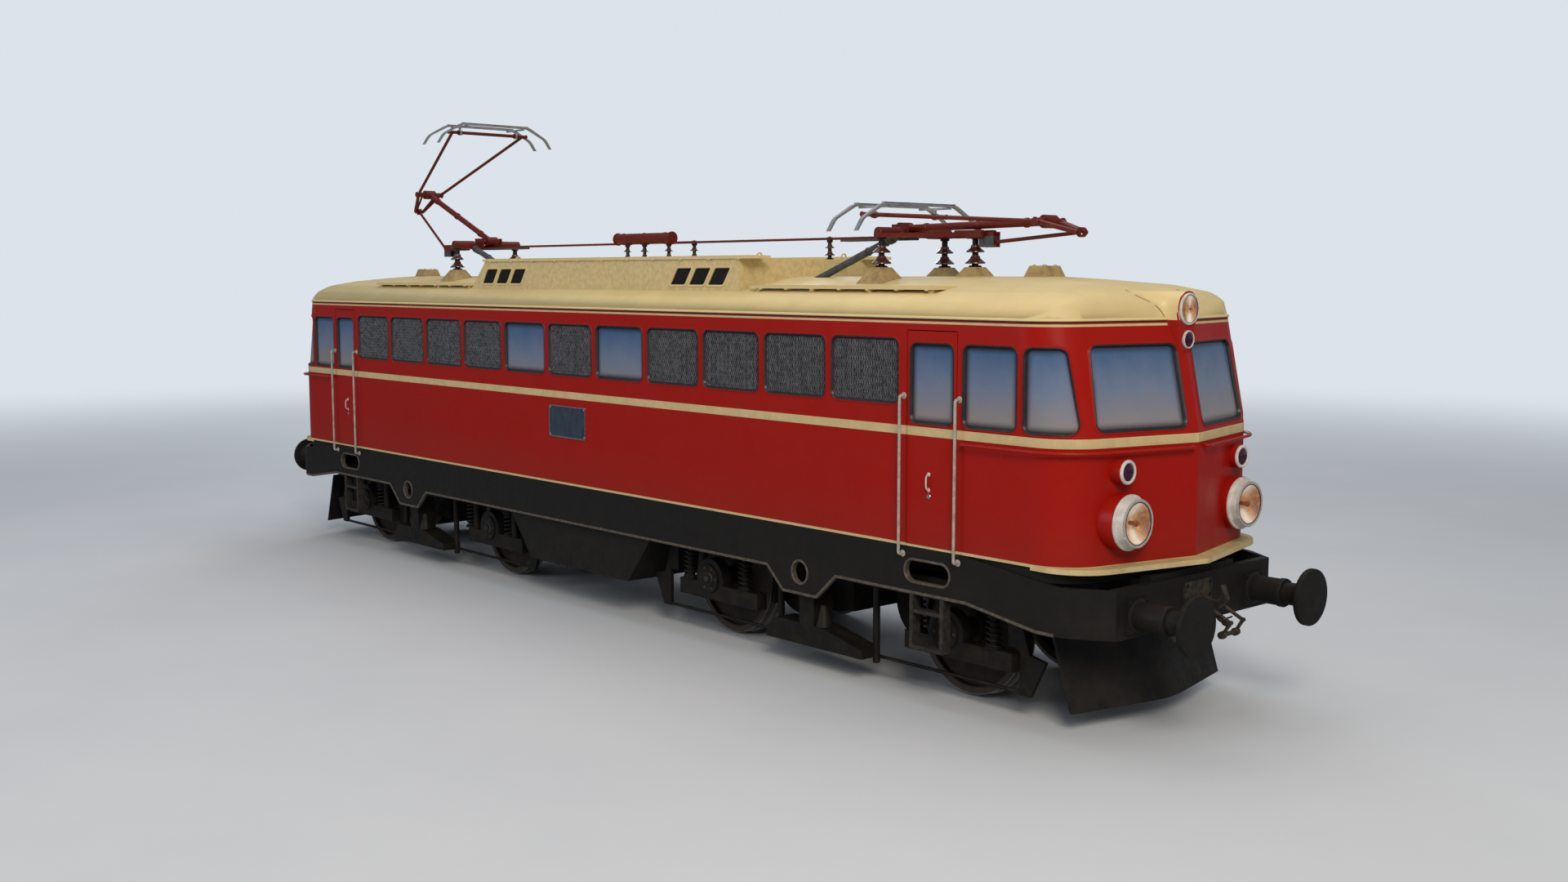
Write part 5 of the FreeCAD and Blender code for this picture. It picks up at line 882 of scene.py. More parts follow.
NODE_FINISH = {
    "coach": ("side_wall_right", "side_wall_left", "cab_front", "cab_rear")
    + tuple(f"door_{end}_{flank}" for end, _ in ENDS for flank, _ in FLANKS),
    "housing": ("lamp_hoods", "lamp_housings", "front_rails"),
    "roof": ("roof_shell", "roof_walkways"),
    "sooty": ("roof_hatch",),
    "plinth": ("roof_plinths",),
    "chassis": ("underframe", "buffer_housings", "buffer_heads", "rail_ploughs", "transformer"),
    "forged": ("draw_gear",),
    "tread": ("entry_steps",),
    "bogie": tuple(
        f"{kind}_{end}"
        for kind in ("bogie_frame", "axle_boxes", "traction_motors", "bogie_rigging")
        for end, _ in ENDS
    ),
    "wheel": tuple(f"wheelset_{end}_{role}" for end, _ in ENDS for role in ("inner", "outer")),
    "rim": ("lamp_rims",),
    "lens": ("lamp_lenses",),
    "glass": ("window_glass",),
    "fleece": ("side_grilles", "hatch_grilles"),
    "handrail": ("door_handrails",),
    "edge": ("nose_ledges",),
    "porcelain": ("roof_insulators",),
    "base": ("pantograph_bases",),
    "gear": ("roof_bus",)
    + tuple(f"{kind}_{end}" for kind in ("lower_arm", "upper_arm", "thrust_rod") for end, _ in ENDS),
    "zinc": tuple(f"pan_head_{end}" for end, _ in ENDS),
    "lacquer": ("cab_bulkheads", "cab_desks"),
    "cloth": ("cab_seats",),
}


class LOCO_OT_paint_frame(bpy.types.Operator):
    """Gives every carried-over part its finish"""

    bl_idname = "loco.paint_frame"
    bl_label = "Paint the frame"

    def execute(self, context):
        for finish, nodes in NODE_FINISH.items():
            for node in nodes:
                for spot in NODES[node].material_slots:
                    spot.material = FINISHES[finish]
        return {"FINISHED"}


# ---------------------------------------------------------------- windows, doors and grilles

GLASS_DEPTH = 0.022  # the wall's outer face to the glass
PANE = 0.008
DOOR_PANE = (0.509, 0.702, 0.07)  # width, height and rounding of a door's window
DOOR_WINDOW = (5.6675, 2.924)  # its centre, along and up
HANDLE = (5.645, 1.98, 2.12)  # a door's handle: along, its lower and upper end
LOCK_UP = 1.92
HANDRAIL_FEET = [(x, up) for x in (5.334, 6.001) for up in (1.371, 2.806)]


def wall_line(spots, outwards, closed=True):
    """Points on a flat wall as a line of (point, sideways, outwards), sideways to the right of its run."""
    line = []
    for i, spot in enumerate(spots):
        back = spot - spots[i - 1] if closed or i else spots[1] - spot
        ahead = spots[(i + 1) % len(spots)] - spot if closed or i + 1 < len(spots) else back
        tangent = (back.normalized() + ahead.normalized()).normalized()
        sideways = tangent.cross(outwards).normalized() / max(0.6, tangent.dot(ahead.normalized()))
        line.append((spot, sideways, outwards))
    return line


def flat_ring(centre, right, up, outline):
    """An outline on a flat wall as a ring; right, up and outwards are a set."""
    return wall_line([centre + right * x + up * y for x, y in outline], right.cross(up))


def flank_ring(sign, x, up, outline, out=0.0):
    """A flat ring on a flank: sign is -1 for the right flank and 1 for the left."""
    centre = Vector((x, sign * (SIDE + out), up))
    return flat_ring(centre, Vector((-sign, 0, 0)), UP, outline)


def rubber_section(width):
    """The window rubber: from the glass up the slope of the opening and over its edge."""
    top = GLASS_DEPTH + 0.006
    return (
        (-0.011, -0.002),
        (-0.013, 0.004),
        (-0.004, GLASS_DEPTH - 0.001),
        (0.001, top - 0.001),
        (width * 0.5, top + 0.001),
        (width - 0.004, top),
        (width, top - 0.004),
        (width, GLASS_DEPTH - 0.006),
        (0.002, GLASS_DEPTH - 0.008),
        (-0.004, -0.002),
    )


def lip_section(start, width):
    """The pressed lip of the wall round a window, outside the rubber."""
    wall = GLASS_DEPTH
    return (
        (start - 0.003, wall - 0.006),
        (start - 0.003, wall + 0.003),
        (start + width * 0.3, wall + 0.006),
        (start + width * 0.7, wall + 0.004),
        (start + width, wall + 0.0005),
        (start + width, wall - 0.006),
    )


def frame_windows(group, rings, body, fit):
    """Rubber and lip round a group of window rings, riding on a body."""
    rubber = swept(f"window_rubbers_{group}", rings, rubber_section(fit.rubber_width))
    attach(coat(rubber, "rubber"), body)
    lip = swept(f"window_lips_{group}", rings, lip_section(fit.rubber_width, fit.lip_width))
    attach(coat(lip, "coach"), body)


def copied(node, name):
    """A copy of a CAD node with its points merged, which takes the node's place."""
    mesh, _ = outer_skin(node, faces_out)
    data = bpy.data.meshes.new(name)
    mesh.to_mesh(data)
    mesh.free()
    piece = linked(name, data)
    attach(piece, "carbody")
    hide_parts(node)
    return piece


def along_wall(point):
    """How far a point lies along the body's wall, going from the middle round the corner to the nose."""
    x, y = abs(point.x), abs(point.y)
    if x < CORNER.x:
        return x
    angle = max(math.atan2(y - CORNER.y, x - CORNER.x), CORNER_START)
    arc = CORNER.x + CORNER_RADIUS * (math.pi / 2 - angle)
    if angle == CORNER_START:
        arc += max(0.0, CORNER.y + CORNER_RADIUS * math.sin(CORNER_START) - y)
    return arc


def islands(mesh):
    """The sets of points that hang together in a bmesh."""
    left = set(mesh.verts)
    while left:
        found = {left.pop()}
        front = list(found)
        while front:
            for edge in front.pop().link_edges:
                for vert in edge.verts:
                    if vert in left:
                        left.discard(vert)
                        found.add(vert)
                        front.append(vert)
        yield found


def edge_gaps(piece):
    """Records on each pane how far its points lie from its four edges, in metres, for the glass's painted edge
    shade.
    """
    mesh = merged(piece.data)
    layer = mesh.verts.layers.float_color.new("edge_gap")
    for pane in islands(mesh):
        spots = {vert: Vector((along_wall(vert.co), vert.co.z)) for vert in pane}
        low = min(spot.y for spot in spots.values())
        high = max(spot.y for spot in spots.values())
        middle = (low + high) / 2
        halves = [[s for s in spots.values() if s.y < middle], [s for s in spots.values() if s.y >= middle]]
        sides = []
        for sign in (1, -1):
            foot, head = (min(half, key=lambda s: s.x * sign) for half in halves)
            line = (head - foot).normalized()
            sides.append((foot, Vector((line.y, -line.x)) * sign))
        for vert, spot in spots.items():
            gaps = [(spot - foot).dot(inwards) for foot, inwards in sides]
            vert[layer] = (*gaps, spot.y - low, high - spot.y)
    mesh.to_mesh(piece.data)
    mesh.free()
    return smooth(piece, 20)


class LOCO_OT_glaze_windows(bpy.types.Operator):
    """Puts glass, rubber and a raised lip into every window of the body"""

    bl_idname = "loco.glaze_windows"
    bl_label = "Glaze the windows"

    def execute(self, context):
        fit = context.scene.loco_fittings
        panes = copied("window_glass", "window_panes")
        edge_gaps(panes)
        coat(panes, "glass")
        rings = [cut_through(ring) for ring in outlines("window_glass", faces_out)]
        frame_windows("body", rings, "carbody", fit)
        frame_windows("grilles", outlines("side_grilles", sideways_out), "carbody", fit)
        for end, x_sign in ENDS:
            for flank, y_sign in FLANKS:
                width, height, radius = DOOR_PANE
                outline = rounded(width, height, radius)
                x, up = x_sign * DOOR_WINDOW[0], DOOR_WINDOW[1]
                pane = plate(f"door_pane_{end}_{flank}", outline, PANE, 0.001)
                face = SIDE - GLASS_DEPTH - (PANE if y_sign > 0 else 0)
                place(pane, at(x, y_sign * face, up) @ spin(math.pi / 2, "X") @ at(0, 0, -PANE))
                edge_gaps(pane)
                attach(coat(pane, "glass"), f"door_{end}_{flank}")
                ring = flank_ring(y_sign, x, up, outline, -GLASS_DEPTH)
                frame_windows(f"door_{end}_{flank}", [ring], f"door_{end}_{flank}", fit)
        return {"FINISHED"}


def reach_of(off, across, along, radius):
    """Half the length of a wire that lies off the middle of a rounded panel, from the panel's half sizes."""
    inside = max(0.0, abs(off) - (across - radius))
    return along - radius + math.sqrt(max(0.0, radius**2 - inside**2))


def wire_panel(width, height, radius, pitch):
    """One woven panel in XZ that looks along -Y: crimped uprights over cross wires."""
    lines = []
    count = int(width / pitch)
    for i in range(count):
        x = (i + 0.5 - count / 2) * pitch
        reach = reach_of(x, width / 2, height / 2, radius)
        steps = 15
        line = []
        for j in range(steps + 1):
            up = -reach + 2 * reach * j / steps
            stray = 0.0035 * noise.noise(Vector((x * 31.0, up * 23.0, 4.0)))
            line.append((x + stray, (-1) ** (i + j) * 0.0035 - 0.004, up))
        lines.append(line)
    uprights = tube("grille_uprights", lines, 0.0042, 4)
    lines = []
    rows = int(height / (pitch * 1.6))
    for i in range(rows):
        up = (i + 0.5 - rows / 2) * pitch * 1.6
        reach = reach_of(up, height / 2, width / 2, radius)
        steps = 10
        lines.append(
            [
                (reach * (2 * j / steps - 1), 0.001, up + 0.002 * noise.noise(Vector((j * 1.7, up * 40, 9.0))))
                for j in range(steps + 1)
            ]
        )
    return uprights, tube("grille_cross_wires", lines, 0.003, 4)


class LOCO_OT_weave_grilles(bpy.types.Operator):
    """Weaves the wire of the side grilles and the mesh of the roof hatch"""

    bl_idname = "loco.weave_grilles"
    bl_label = "Weave the grilles"

    def execute(self, context):
        fit = context.scene.loco_fittings
        rings = outlines("side_grilles", sideways_out)
        for flank, sign in FLANKS:
            places = []
            for ring in rings:
                xs = [p.x for p, _, _ in ring]
                ups = [p.z for p, _, _ in ring]
                if ring[0][0].y * sign > 0:
                    turn = spin(math.pi if sign > 0 else 0, "Z")
                    places.append(at((min(xs) + max(xs)) / 2, ring[0][0].y, (min(ups) + max(ups)) / 2) @ turn)
                    size = (max(xs) - min(xs), max(ups) - min(ups))
            uprights, crosses = wire_panel(size[0] - 0.01, size[1] - 0.01, 0.065, fit.wire_pitch)
            stock = [(uprights, places), (crosses, places)]
            gather(f"grille_wires_{flank}", stock, "carbody", "wire", slot="grille")
        frames, meshes = [], []
        for ring in outlines("hatch_grilles", sideways_out):
            corners = [p for p, _, _ in ring]
            sign = math.copysign(1, corners[0].y)
            low, high = min(c.z for c in corners), max(c.z for c in corners)
            feet = sorted(c.x for c in corners if abs(c.z - low) < 0.001)
            tops = sorted(c.x for c in corners if abs(c.z - high) < 0.001)
            middle = Vector(((feet[0] + tops[-1]) / 2, sign * 1.02, (low + high) / 2))
            right = Vector((-sign, 0, 0))
            shape = [(feet[0], low), (feet[-1], low), (tops[-1], high), (tops[0], high)]
            flat = [((x - middle.x) * right.x, up - middle.z) for x, up in shape]
            if sign > 0:
                flat.reverse()
            frames.append(flat_ring(middle, right, UP, softened(flat, 0.035)))
            for step in range(1, 22):
                for slope in (1, -1):
                    share = step / 11
                    ends = [(max(0.0, share - 1), min(1.0, share)), (min(1.0, share), max(0.0, share - 1))]
                    line = []
                    for across, along in ends:
                        across = across if slope > 0 else 1 - across
                        x = feet[0] + (feet[-1] - feet[0]) * across + (tops[0] - feet[0]) * along
                        line.append((x, sign * (1.0125 + 0.001 * slope), low + (high - low) * along))
                    meshes.append(line)
        section = (
            (-0.012, -0.012), (-0.012, 0.004), (-0.002, 0.010), (0.010, 0.009), (0.016, 0.003), (0.016, -0.012)
        )
        rims = swept("hatch_grille_frames", frames, section)
        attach(coat(rims, "roof"), "carbody")
        mesh = tube("hatch_grille_mesh", meshes, 0.0022, 4)
        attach(coat(mesh, "black"), "carbody")
        return {"FINISHED"}


def softened(corners, radius, steps=4):
    """A polygon with its corners rounded off."""
    points = []
    for i, corner in enumerate(corners):
        here = Vector(corner)
        back = (Vector(corners[i - 1]) - here).normalized() * radius
        ahead = (Vector(corners[(i + 1) % len(corners)]) - here).normalized() * radius
        for step in range(steps + 1):
            share = step / steps
            points.append(here + back * (1 - share) ** 2 + ahead * share**2)
    return points


class LOCO_OT_fit_doors(bpy.types.Operator):
    """Fits handles, locks and kick strips to the cab doors, and feet to their handrails"""

    bl_idname = "loco.fit_doors"
    bl_label = "Fit the doors"

    def execute(self, context):
        x, low, high = HANDLE
        curve = (
            (-SIDE, low), (-1.43, low + 0.005), (-1.434, (low + high) / 2), (-1.43, high - 0.005), (-SIDE, high)
        )
        for end, x_sign in ENDS:
            for flank, sign in FLANKS:
                door = f"door_{end}_{flank}"
                flip = Matrix.Diagonal((x_sign, -sign, 1, 1))
                grip = tube("grip", [[(x, y, up) for y, up in curve]], 0.0075, 8, kind="NURBS")
                rose = turned("rose", [(0.018, 0), (0.019, 0.003), (0.012, 0.008), (0.004, 0.009)], 20)
                seats = [flip @ at(x, -SIDE, up) @ RIGHTWARDS for up in (low, high)]
                stock = [(grip, [flip]), (rose, seats)]
                gather(f"door_handle_{end}_{flank}", stock, door, "grab", slot="handrail")
                shape = [(0.022, 0), (0.023, 0.002), (0.020, 0.006), (0.009, 0.0065), (0.008, 0.002)]
                lock = turned("lock", shape, 20)
                spot = flip @ at(x, -SIDE, LOCK_UP) @ RIGHTWARDS
                gather(f"door_lock_{end}_{flank}", [(lock, [spot])], door, "bezel")
                step = block("kick", (5.40, -1.399, 1.472), (5.935, -1.394, 1.555), 0.002)
                gather(f"door_kick_strip_{end}_{flank}", [(step, [flip])], door, "coach", slot="red_paint")
        foot = turned("foot", [(0.03, 0), (0.032, 0.004), (0.028, 0.010), (0.017, 0.014)], 20)
        bolt = turned("bolt", [(0.006, 0), (0.006, 0.004), (0.003, 0.006)], 6)
        spots = [turn @ at(x, -SIDE, up) for x, up in HANDRAIL_FEET for turn in EVERY_CORNER]
        feet = [spot @ RIGHTWARDS for spot in spots]
        screws = [spot @ at(0.021 * side, -0.006, 0.0) @ RIGHTWARDS for spot in spots for side in (1, -1)]
        gather("handrail_feet", [(foot, feet), (bolt, screws)], "carbody", "handrail", slot="handrail")
        return {"FINISHED"}


PLATE = (-0.0675, 2.183, 0.745, 0.37)  # a works plate: its middle along and up, its width and height


class LOCO_OT_hang_plates(bpy.types.Operator):
    """Screws the blank works plates to both flanks"""

    bl_idname = "loco.hang_plates"
    bl_label = "Hang the plates"

    def execute(self, context):
        middle, up, width, height = PLATE
        sheets, borders, screws = [], [], []
        for _, sign in FLANKS:
            turn = spin(0 if sign < 0 else math.pi, "Z") @ at(middle, -SIDE, up) @ spin(math.pi / 2, "X")
            sheets.append(turn)
            screws += [turn @ at(x * 0.345, y * 0.158, 0.006) for x in (1, -1) for y in (1, -1)]
            borders.append(flank_ring(sign, -sign * middle, up, rounded(width, height, 0.012, 3), 0.006))
        sheet = plate("works_plate", rounded(width, height, 0.012, 3), 0.007)
        gather("works_plates", [(sheet, sheets)], "carbody", "plate")
        section = (
            (-0.012, -0.003), (-0.012, 0.003), (-0.009, 0.005), (-0.002, 0.005), (0.001, 0.003), (0.001, -0.006)
        )
        border = swept("plate_borders", borders, section)
        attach(coat(border, "bezel"), "carbody")
        screw = turned("screw", [(0.011, 0), (0.0115, 0.003), (0.008, 0.006), (0.002, 0.007)], 16)
        gather("plate_screws", [(screw, screws)], "carbody", "bezel")
        return {"FINISHED"}


# ---------------------------------------------------------------- lamps

# (face of the housing, side, height) of each lamp at the front
HEADLAMPS = [(7.395, side, 1.838) for side in (0.84, -0.84)]
MARKERS = [(7.375, side, 2.258) for side in (0.855, -0.855)]
TOP_LAMP = [(7.350, 0.0, 3.593)]
LOW_LAMP = [(7.350, 0.0, 3.332)]
LAMP_PARTS = (  # turned: name, spots, finish, colour slot, sides, whether opened right through, profile
    ("headlamp_rims", HEADLAMPS, "rim", "lamp_rim", 64, False, (
        (0.232, -0.004), (0.2365, 0.001), (0.2365, 0.016), (0.232, 0.021), (0.221, 0.023), (0.2155, 0.028),
        (0.211, 0.045), (0.2075, 0.078), (0.2045, 0.084), (0.198, 0.086), (0.19, 0.08), (0.178, 0.02),
    )),
    ("headlamp_bezels", HEADLAMPS, "ring", "lamp_rim", 64, True, (
        (0.198, 0.080), (0.2065, 0.085), (0.207, 0.091), (0.203, 0.0965), (0.190, 0.098), (0.182, 0.095),
        (0.1775, 0.088),
    )),
    ("headlamp_seals", HEADLAMPS, "rubber", None, 64, True, (
        (0.182, 0.084), (0.182, 0.0945), (0.1785, 0.096), (0.1735, 0.0945), (0.1735, 0.088),
    )),
    ("headlamp_bulbs", HEADLAMPS, "amber", None, 20, False, (
        (0.018, 0.024), (0.018, 0.046), (0.026, 0.056), (0.026, 0.066), (0.018, 0.076), (0.006, 0.080),
    )),
    ("headlamp_lenses", HEADLAMPS, "lens", "lamp_glass", 56, False, (
        (0.176, 0.0875), (0.176, 0.091), (0.15, 0.096), (0.11, 0.100), (0.06, 0.103), (0.004, 0.104),
    )),
    ("marker_rims", MARKERS, "rim", "lamp_rim", 48, False, (
        (0.102, -0.003), (0.1045, 0.002), (0.1035, 0.013), (0.098, 0.021), (0.090, 0.024), (0.082, 0.022),
        (0.076, 0.016), (0.074, 0.006),
    )),
    ("marker_lenses", MARKERS, "marker", "lamp_glass", 48, False, (
        (0.076, 0.006), (0.075, 0.012), (0.065, 0.020), (0.045, 0.027), (0.020, 0.031), (0.003, 0.0315),
    )),
    ("top_lamp_bezel", TOP_LAMP, "rim", "lamp_rim", 56, True, (
        (0.134, -0.006), (0.1385, 0.002), (0.138, 0.012), (0.133, 0.021), (0.127, 0.0235), (0.121, 0.021),
        (0.1175, 0.013),
    )),
    ("top_lamp_seal", TOP_LAMP, "rubber", None, 56, True, (
        (0.122, 0.008), (0.122, 0.0195), (0.1195, 0.021), (0.1155, 0.0195), (0.1155, 0.012),
    )),
    ("top_lamp_bulb", TOP_LAMP, "amber", None, 16, False, (
        (0.008, 0.002), (0.008, 0.010), (0.012, 0.014), (0.008, 0.019), (0.003, 0.020),
    )),
    ("top_lamp_lens", TOP_LAMP, "lens", "lamp_glass", 48, False, (
        (0.118, 0.0135), (0.118, 0.017), (0.095, 0.022), (0.06, 0.026), (0.02, 0.028), (0.003, 0.0285),
    )),
    ("low_lamp_rim", LOW_LAMP, "rim", "lamp_rim", 40, False, (
        (0.076, -0.006), (0.0795, 0.002), (0.079, 0.012), (0.075, 0.019), (0.070, 0.021), (0.066, 0.018),
        (0.064, 0.008),
    )),
    ("low_lamp_lens", LOW_LAMP, "marker", "lamp_glass", 36, False, (
        (0.066, 0.006), (0.065, 0.012), (0.055, 0.020), (0.035, 0.026), (0.012, 0.029), (0.002, 0.0292),
    )),
)
HOOD = (  # sections of the top lamp's hood: along, half width, top, rounding, neck, lower tip, its half width
    (7.350, 0.148, 3.748, 0.144, 3.578, 3.228, 0.050),
    (7.235, 0.178, 3.752, 0.165, 3.440, 3.228, 0.090),
    (7.140, 0.360, 3.753, 0.290, 3.462, 3.440, 0.090),
    (7.000, 0.800, 3.750, 0.500, 3.570, 3.550, 0.090),
)

HOOD_CREASE = (  # points along the crease where the hood meets the roof; a thin tan tube laid on them is painted shade
    (7.239, 0.179, 3.512), (7.226, 0.188, 3.549), (7.207, 0.214, 3.589), (7.189, 0.244, 3.619),
    (7.148, 0.299, 3.659), (7.106, 0.346, 3.688), (7.071, 0.388, 3.711), (7.017, 0.389, 3.738),
    (6.968, 0.378, 3.753),
)


def bowl(name, radius, depth, sides=64):
    """A reflector that opens along Z; its colour attribute marks the painted highlight, white (red), and the
    painted reflection of the rim, dusky (green).
    """
    steps = [i / 9 for i in range(9)]
    shape = [(radius * 0.9, -depth - 0.004), (radius, -0.004), (radius, 0.001)]
    shape += [(radius * (0.97 - 0.85 * s), -depth * (1 - (1 - s) ** 2)) for s in steps]
    piece = turned(name, shape, sides)
    mesh = bmesh.new()
    mesh.from_mesh(piece.data)
    layer = mesh.verts.layers.float_color.new("painted_reflection")
    for vert in mesh.verts:
        far = math.hypot(vert.co.x, vert.co.y) / radius
        upright, aside = abs(vert.co.y), abs(vert.co.x)
        # painted highlight: white lobes above and below the bulb (red); painted reflection of the rim: dusky
        # patches beside it (green)
        white_highlight = min(1.0, (upright / max(1e-6, upright + aside * 1.5)) ** 3 * 2.2) * min(1.0, far * 2.2)
        stray = noise.noise(Vector((vert.co.x * 26, vert.co.y * 26, 3.0)))
        dusky_reflection = max(0.0, min(1.0, 0.9 * aside / radius - 0.15 + 1.1 * stray))
        vert[layer] = (max(0.0, min(1.0, white_highlight + 0.5 * max(0.0, stray - 0.25))), dusky_reflection, 0, 1)
    mesh.to_mesh(piece.data)
    mesh.free()
    return coat(piece, "silver")


def hood_ring(step):
    """The hood's section at a step between 0, its face, and 3, deep in the roof: smooth between its stages."""
    weights = [math.prod((step - j) / (i - j) for j in range(4) if j != i) for i in range(4)]
    along, half, top, rounding, neck, low, tip = (
        sum(w * v for w, v in zip(weights, kind)) for kind in zip(*HOOD)
    )
    start = math.asin(min(1.0, max(0.0, (neck - top + rounding) / rounding)))
    reach = half - rounding
    side = [
        (tip * 0.4, low), (tip * 0.8, low + 0.008), (tip, low + min(0.04, (neck - low) * 0.7)),
        (reach + rounding * math.cos(start), neck),
    ]
    for i in range(13):
        angle = start + (math.pi / 2 - start) * i / 12
        side.append((reach + rounding * math.cos(angle), top - rounding + rounding * math.sin(angle)))
    return [Vector((along, y, z)) for y, z in side] + [Vector((along, -y, z)) for y, z in side[::-1]]


def lamp_places(spots):
    """The moves to the spots on both ends, with a lamp's own Z facing forwards."""
    return [turn @ at(*spot) @ AHEAD for spot in spots for turn in BOTH_ENDS]


class LOCO_OT_build_lamps(bpy.types.Operator):
    """Builds the headlamps, marker lamps and top lamps: rims, bezels, reflectors, bulbs and glasses"""

    bl_idname = "loco.build_lamps"
    bl_label = "Build the lamps"

    def execute(self, context):
        for name, spots, finish, slot, sides, opened, profile in LAMP_PARTS:
            part = turned("part", profile, sides)
            stock = [(carve_ring(part) if opened else part, lamp_places(spots))]
            gather(name, stock, "carbody", finish, slot=slot)
        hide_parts("lamp_rims")
        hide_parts("lamp_lenses")
        for name, spots, radius, depth, up in (
            ("headlamp_reflectors", HEADLAMPS, 0.177, 0.060, 0.086),
            ("top_lamp_reflector", TOP_LAMP, 0.118, 0.009, 0.0135),
        ):
            places = [spot @ at(0, 0, up) for spot in lamp_places(spots)]
            gather(name, [(bowl("bowl", radius, depth), places)], "carbody")
        turns = [
            spot @ spin(math.radians(angle), "Z") for spot in lamp_places(HEADLAMPS) for angle in (90, 210, 330)
        ]
        clip = block("clip", (0.200, -0.013, 0.084), (0.2125, 0.013, 0.094), 0.003)
        screws = [turn @ at(0.2265, 0, 0.0215) for turn in turns]
        gather("headlamp_clips", [(clip, turns)] + bolts(screws, 0.006), "carbody", "rim")
        runs = []
        for sign in (1, -1):
            rings = [hood_ring(step / 8) for step in range(25)]
            middle = Vector((0, 0, 3.55))
            face = [Vector((p.x, p.y * 0.975, middle.z + (p.z - middle.z) * 0.99)) for p in rings[0]]
            rings[0] = [Vector((p.x - 0.004, p.y, p.z)) for p in rings[0]]
            runs.append([[Vector((sign * p.x, p.y, p.z)) for p in ring] for ring in [face] + rings])
        hoods = coat(skinned("lamp_hoods_pressed", runs, degrees=28), "housing", "face")
        for face in hoods.data.polygons:
            face.material_index = int(abs(face.normal.x) > 0.6 and abs(face.center.x) > 7.3)
        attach(hoods, "carbody")
        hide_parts("lamp_hoods")
        return {"FINISHED"}


def carve_ring(piece):
    """Opens a turned ring right through, so that what lies behind it shows."""
    hold(piece)
    bpy.ops.object.mode_set(mode="EDIT")
    bpy.ops.mesh.select_all(action="DESELECT")
    bpy.ops.object.mode_set(mode="OBJECT")
    caps = [f for f in piece.data.polygons if len(f.vertices) > 8]
    for face in caps:
        face.select = True
    bpy.ops.object.mode_set(mode="EDIT")
    bpy.ops.mesh.select_mode(type="FACE")
    bpy.ops.mesh.delete(type="ONLY_FACE")
    bpy.ops.mesh.select_mode(type="EDGE")
    bpy.ops.mesh.select_all(action="DESELECT")
    bpy.ops.mesh.select_non_manifold(extend=False, use_wire=False, use_boundary=True)
    bpy.ops.mesh.bridge_edge_loops()
    bpy.ops.mesh.select_all(action="SELECT")
    bpy.ops.mesh.normals_make_consistent(inside=False)
    bpy.ops.mesh.select_mode(type="VERT")
    bpy.ops.object.mode_set(mode="OBJECT")
    return piece


# ---------------------------------------------------------------- roof

EAVE = 3.503  # the roof's foot
PLINTH_TOP = 3.958
BIG_SHED = ((0.1, 0.035), (0.09, 0.145))  # radius and height above the foot of each shed
SMALL_SHED = ((0.055, 0.045), (0.050, 0.125))
PANTOGRAPH_FEET = ((4.93, 0.0), (4.11, -0.46), (4.11, 0.46))  # their insulators, along and across
BUS_FEET = (-1.22, -0.86, -0.36, 0.145, 2.53)
BUS_SIDE = 0.33  # centre line to the busbar
SWITCH_UP = 4.338  # middle of the main switch's drum
SWITCH_FLANGES = (  # from, to and radius
    (-1.437, -1.412, 0.080), (-1.30, -1.285, 0.075), (-0.868, -0.852, 0.075), (-0.435, -0.42, 0.075),
    (-0.308, -0.283, 0.080),
)
BOARD_SIDE = 0.895  # centre line to the middle of the boards
LOW_BATTEN, LOW_BOARD = 3.748, 3.7785  # tops of the battens and of the boards at the ends
HIGH_BATTEN, HIGH_BOARD = 4.055, 4.0835  # the same along the hatch
HATCH_TOP = 4.053
BOX_BOLTS = [(5.785 + dx, 0.082, 3.968) for dx in (-0.057, 0.057)]  # in the lids of the small boxes


def hull(points):
    """The convex outline round points in XY, turning left."""
    spots = sorted({(round(p.x, 5), round(p.y, 5)) for p in points})
    halves = []
    for run in (spots, spots[::-1]):
        line = []
        for spot in run:
            while len(line) > 1:
                (ax, ay), (bx, by) = line[-2], line[-1]
                if (bx - ax) * (spot[1] - ay) - (by - ay) * (spot[0] - ax) > 1e-9:
                    break
                line.pop()
            line.append(spot)
        halves += line[:-1]
    return halves


def eave_ring(height):
    """The body's outline at the roof's foot as a ring of (point, up, outwards)."""
    spots = [Vector((x, y, height)) for x, y in hull(cut_points("roof_shell", EAVE + 0.002))]
    ring = []
    for i, spot in enumerate(spots):
        back = (spot - spots[i - 1]).normalized()
        ahead = (spots[(i + 1) % len(spots)] - spot).normalized()
        tangent = (back + ahead).normalized()
        outwards = tangent.cross(UP) / max(0.6, tangent.dot(ahead))
        ring.append((spot, UP, outwards))
    return ring


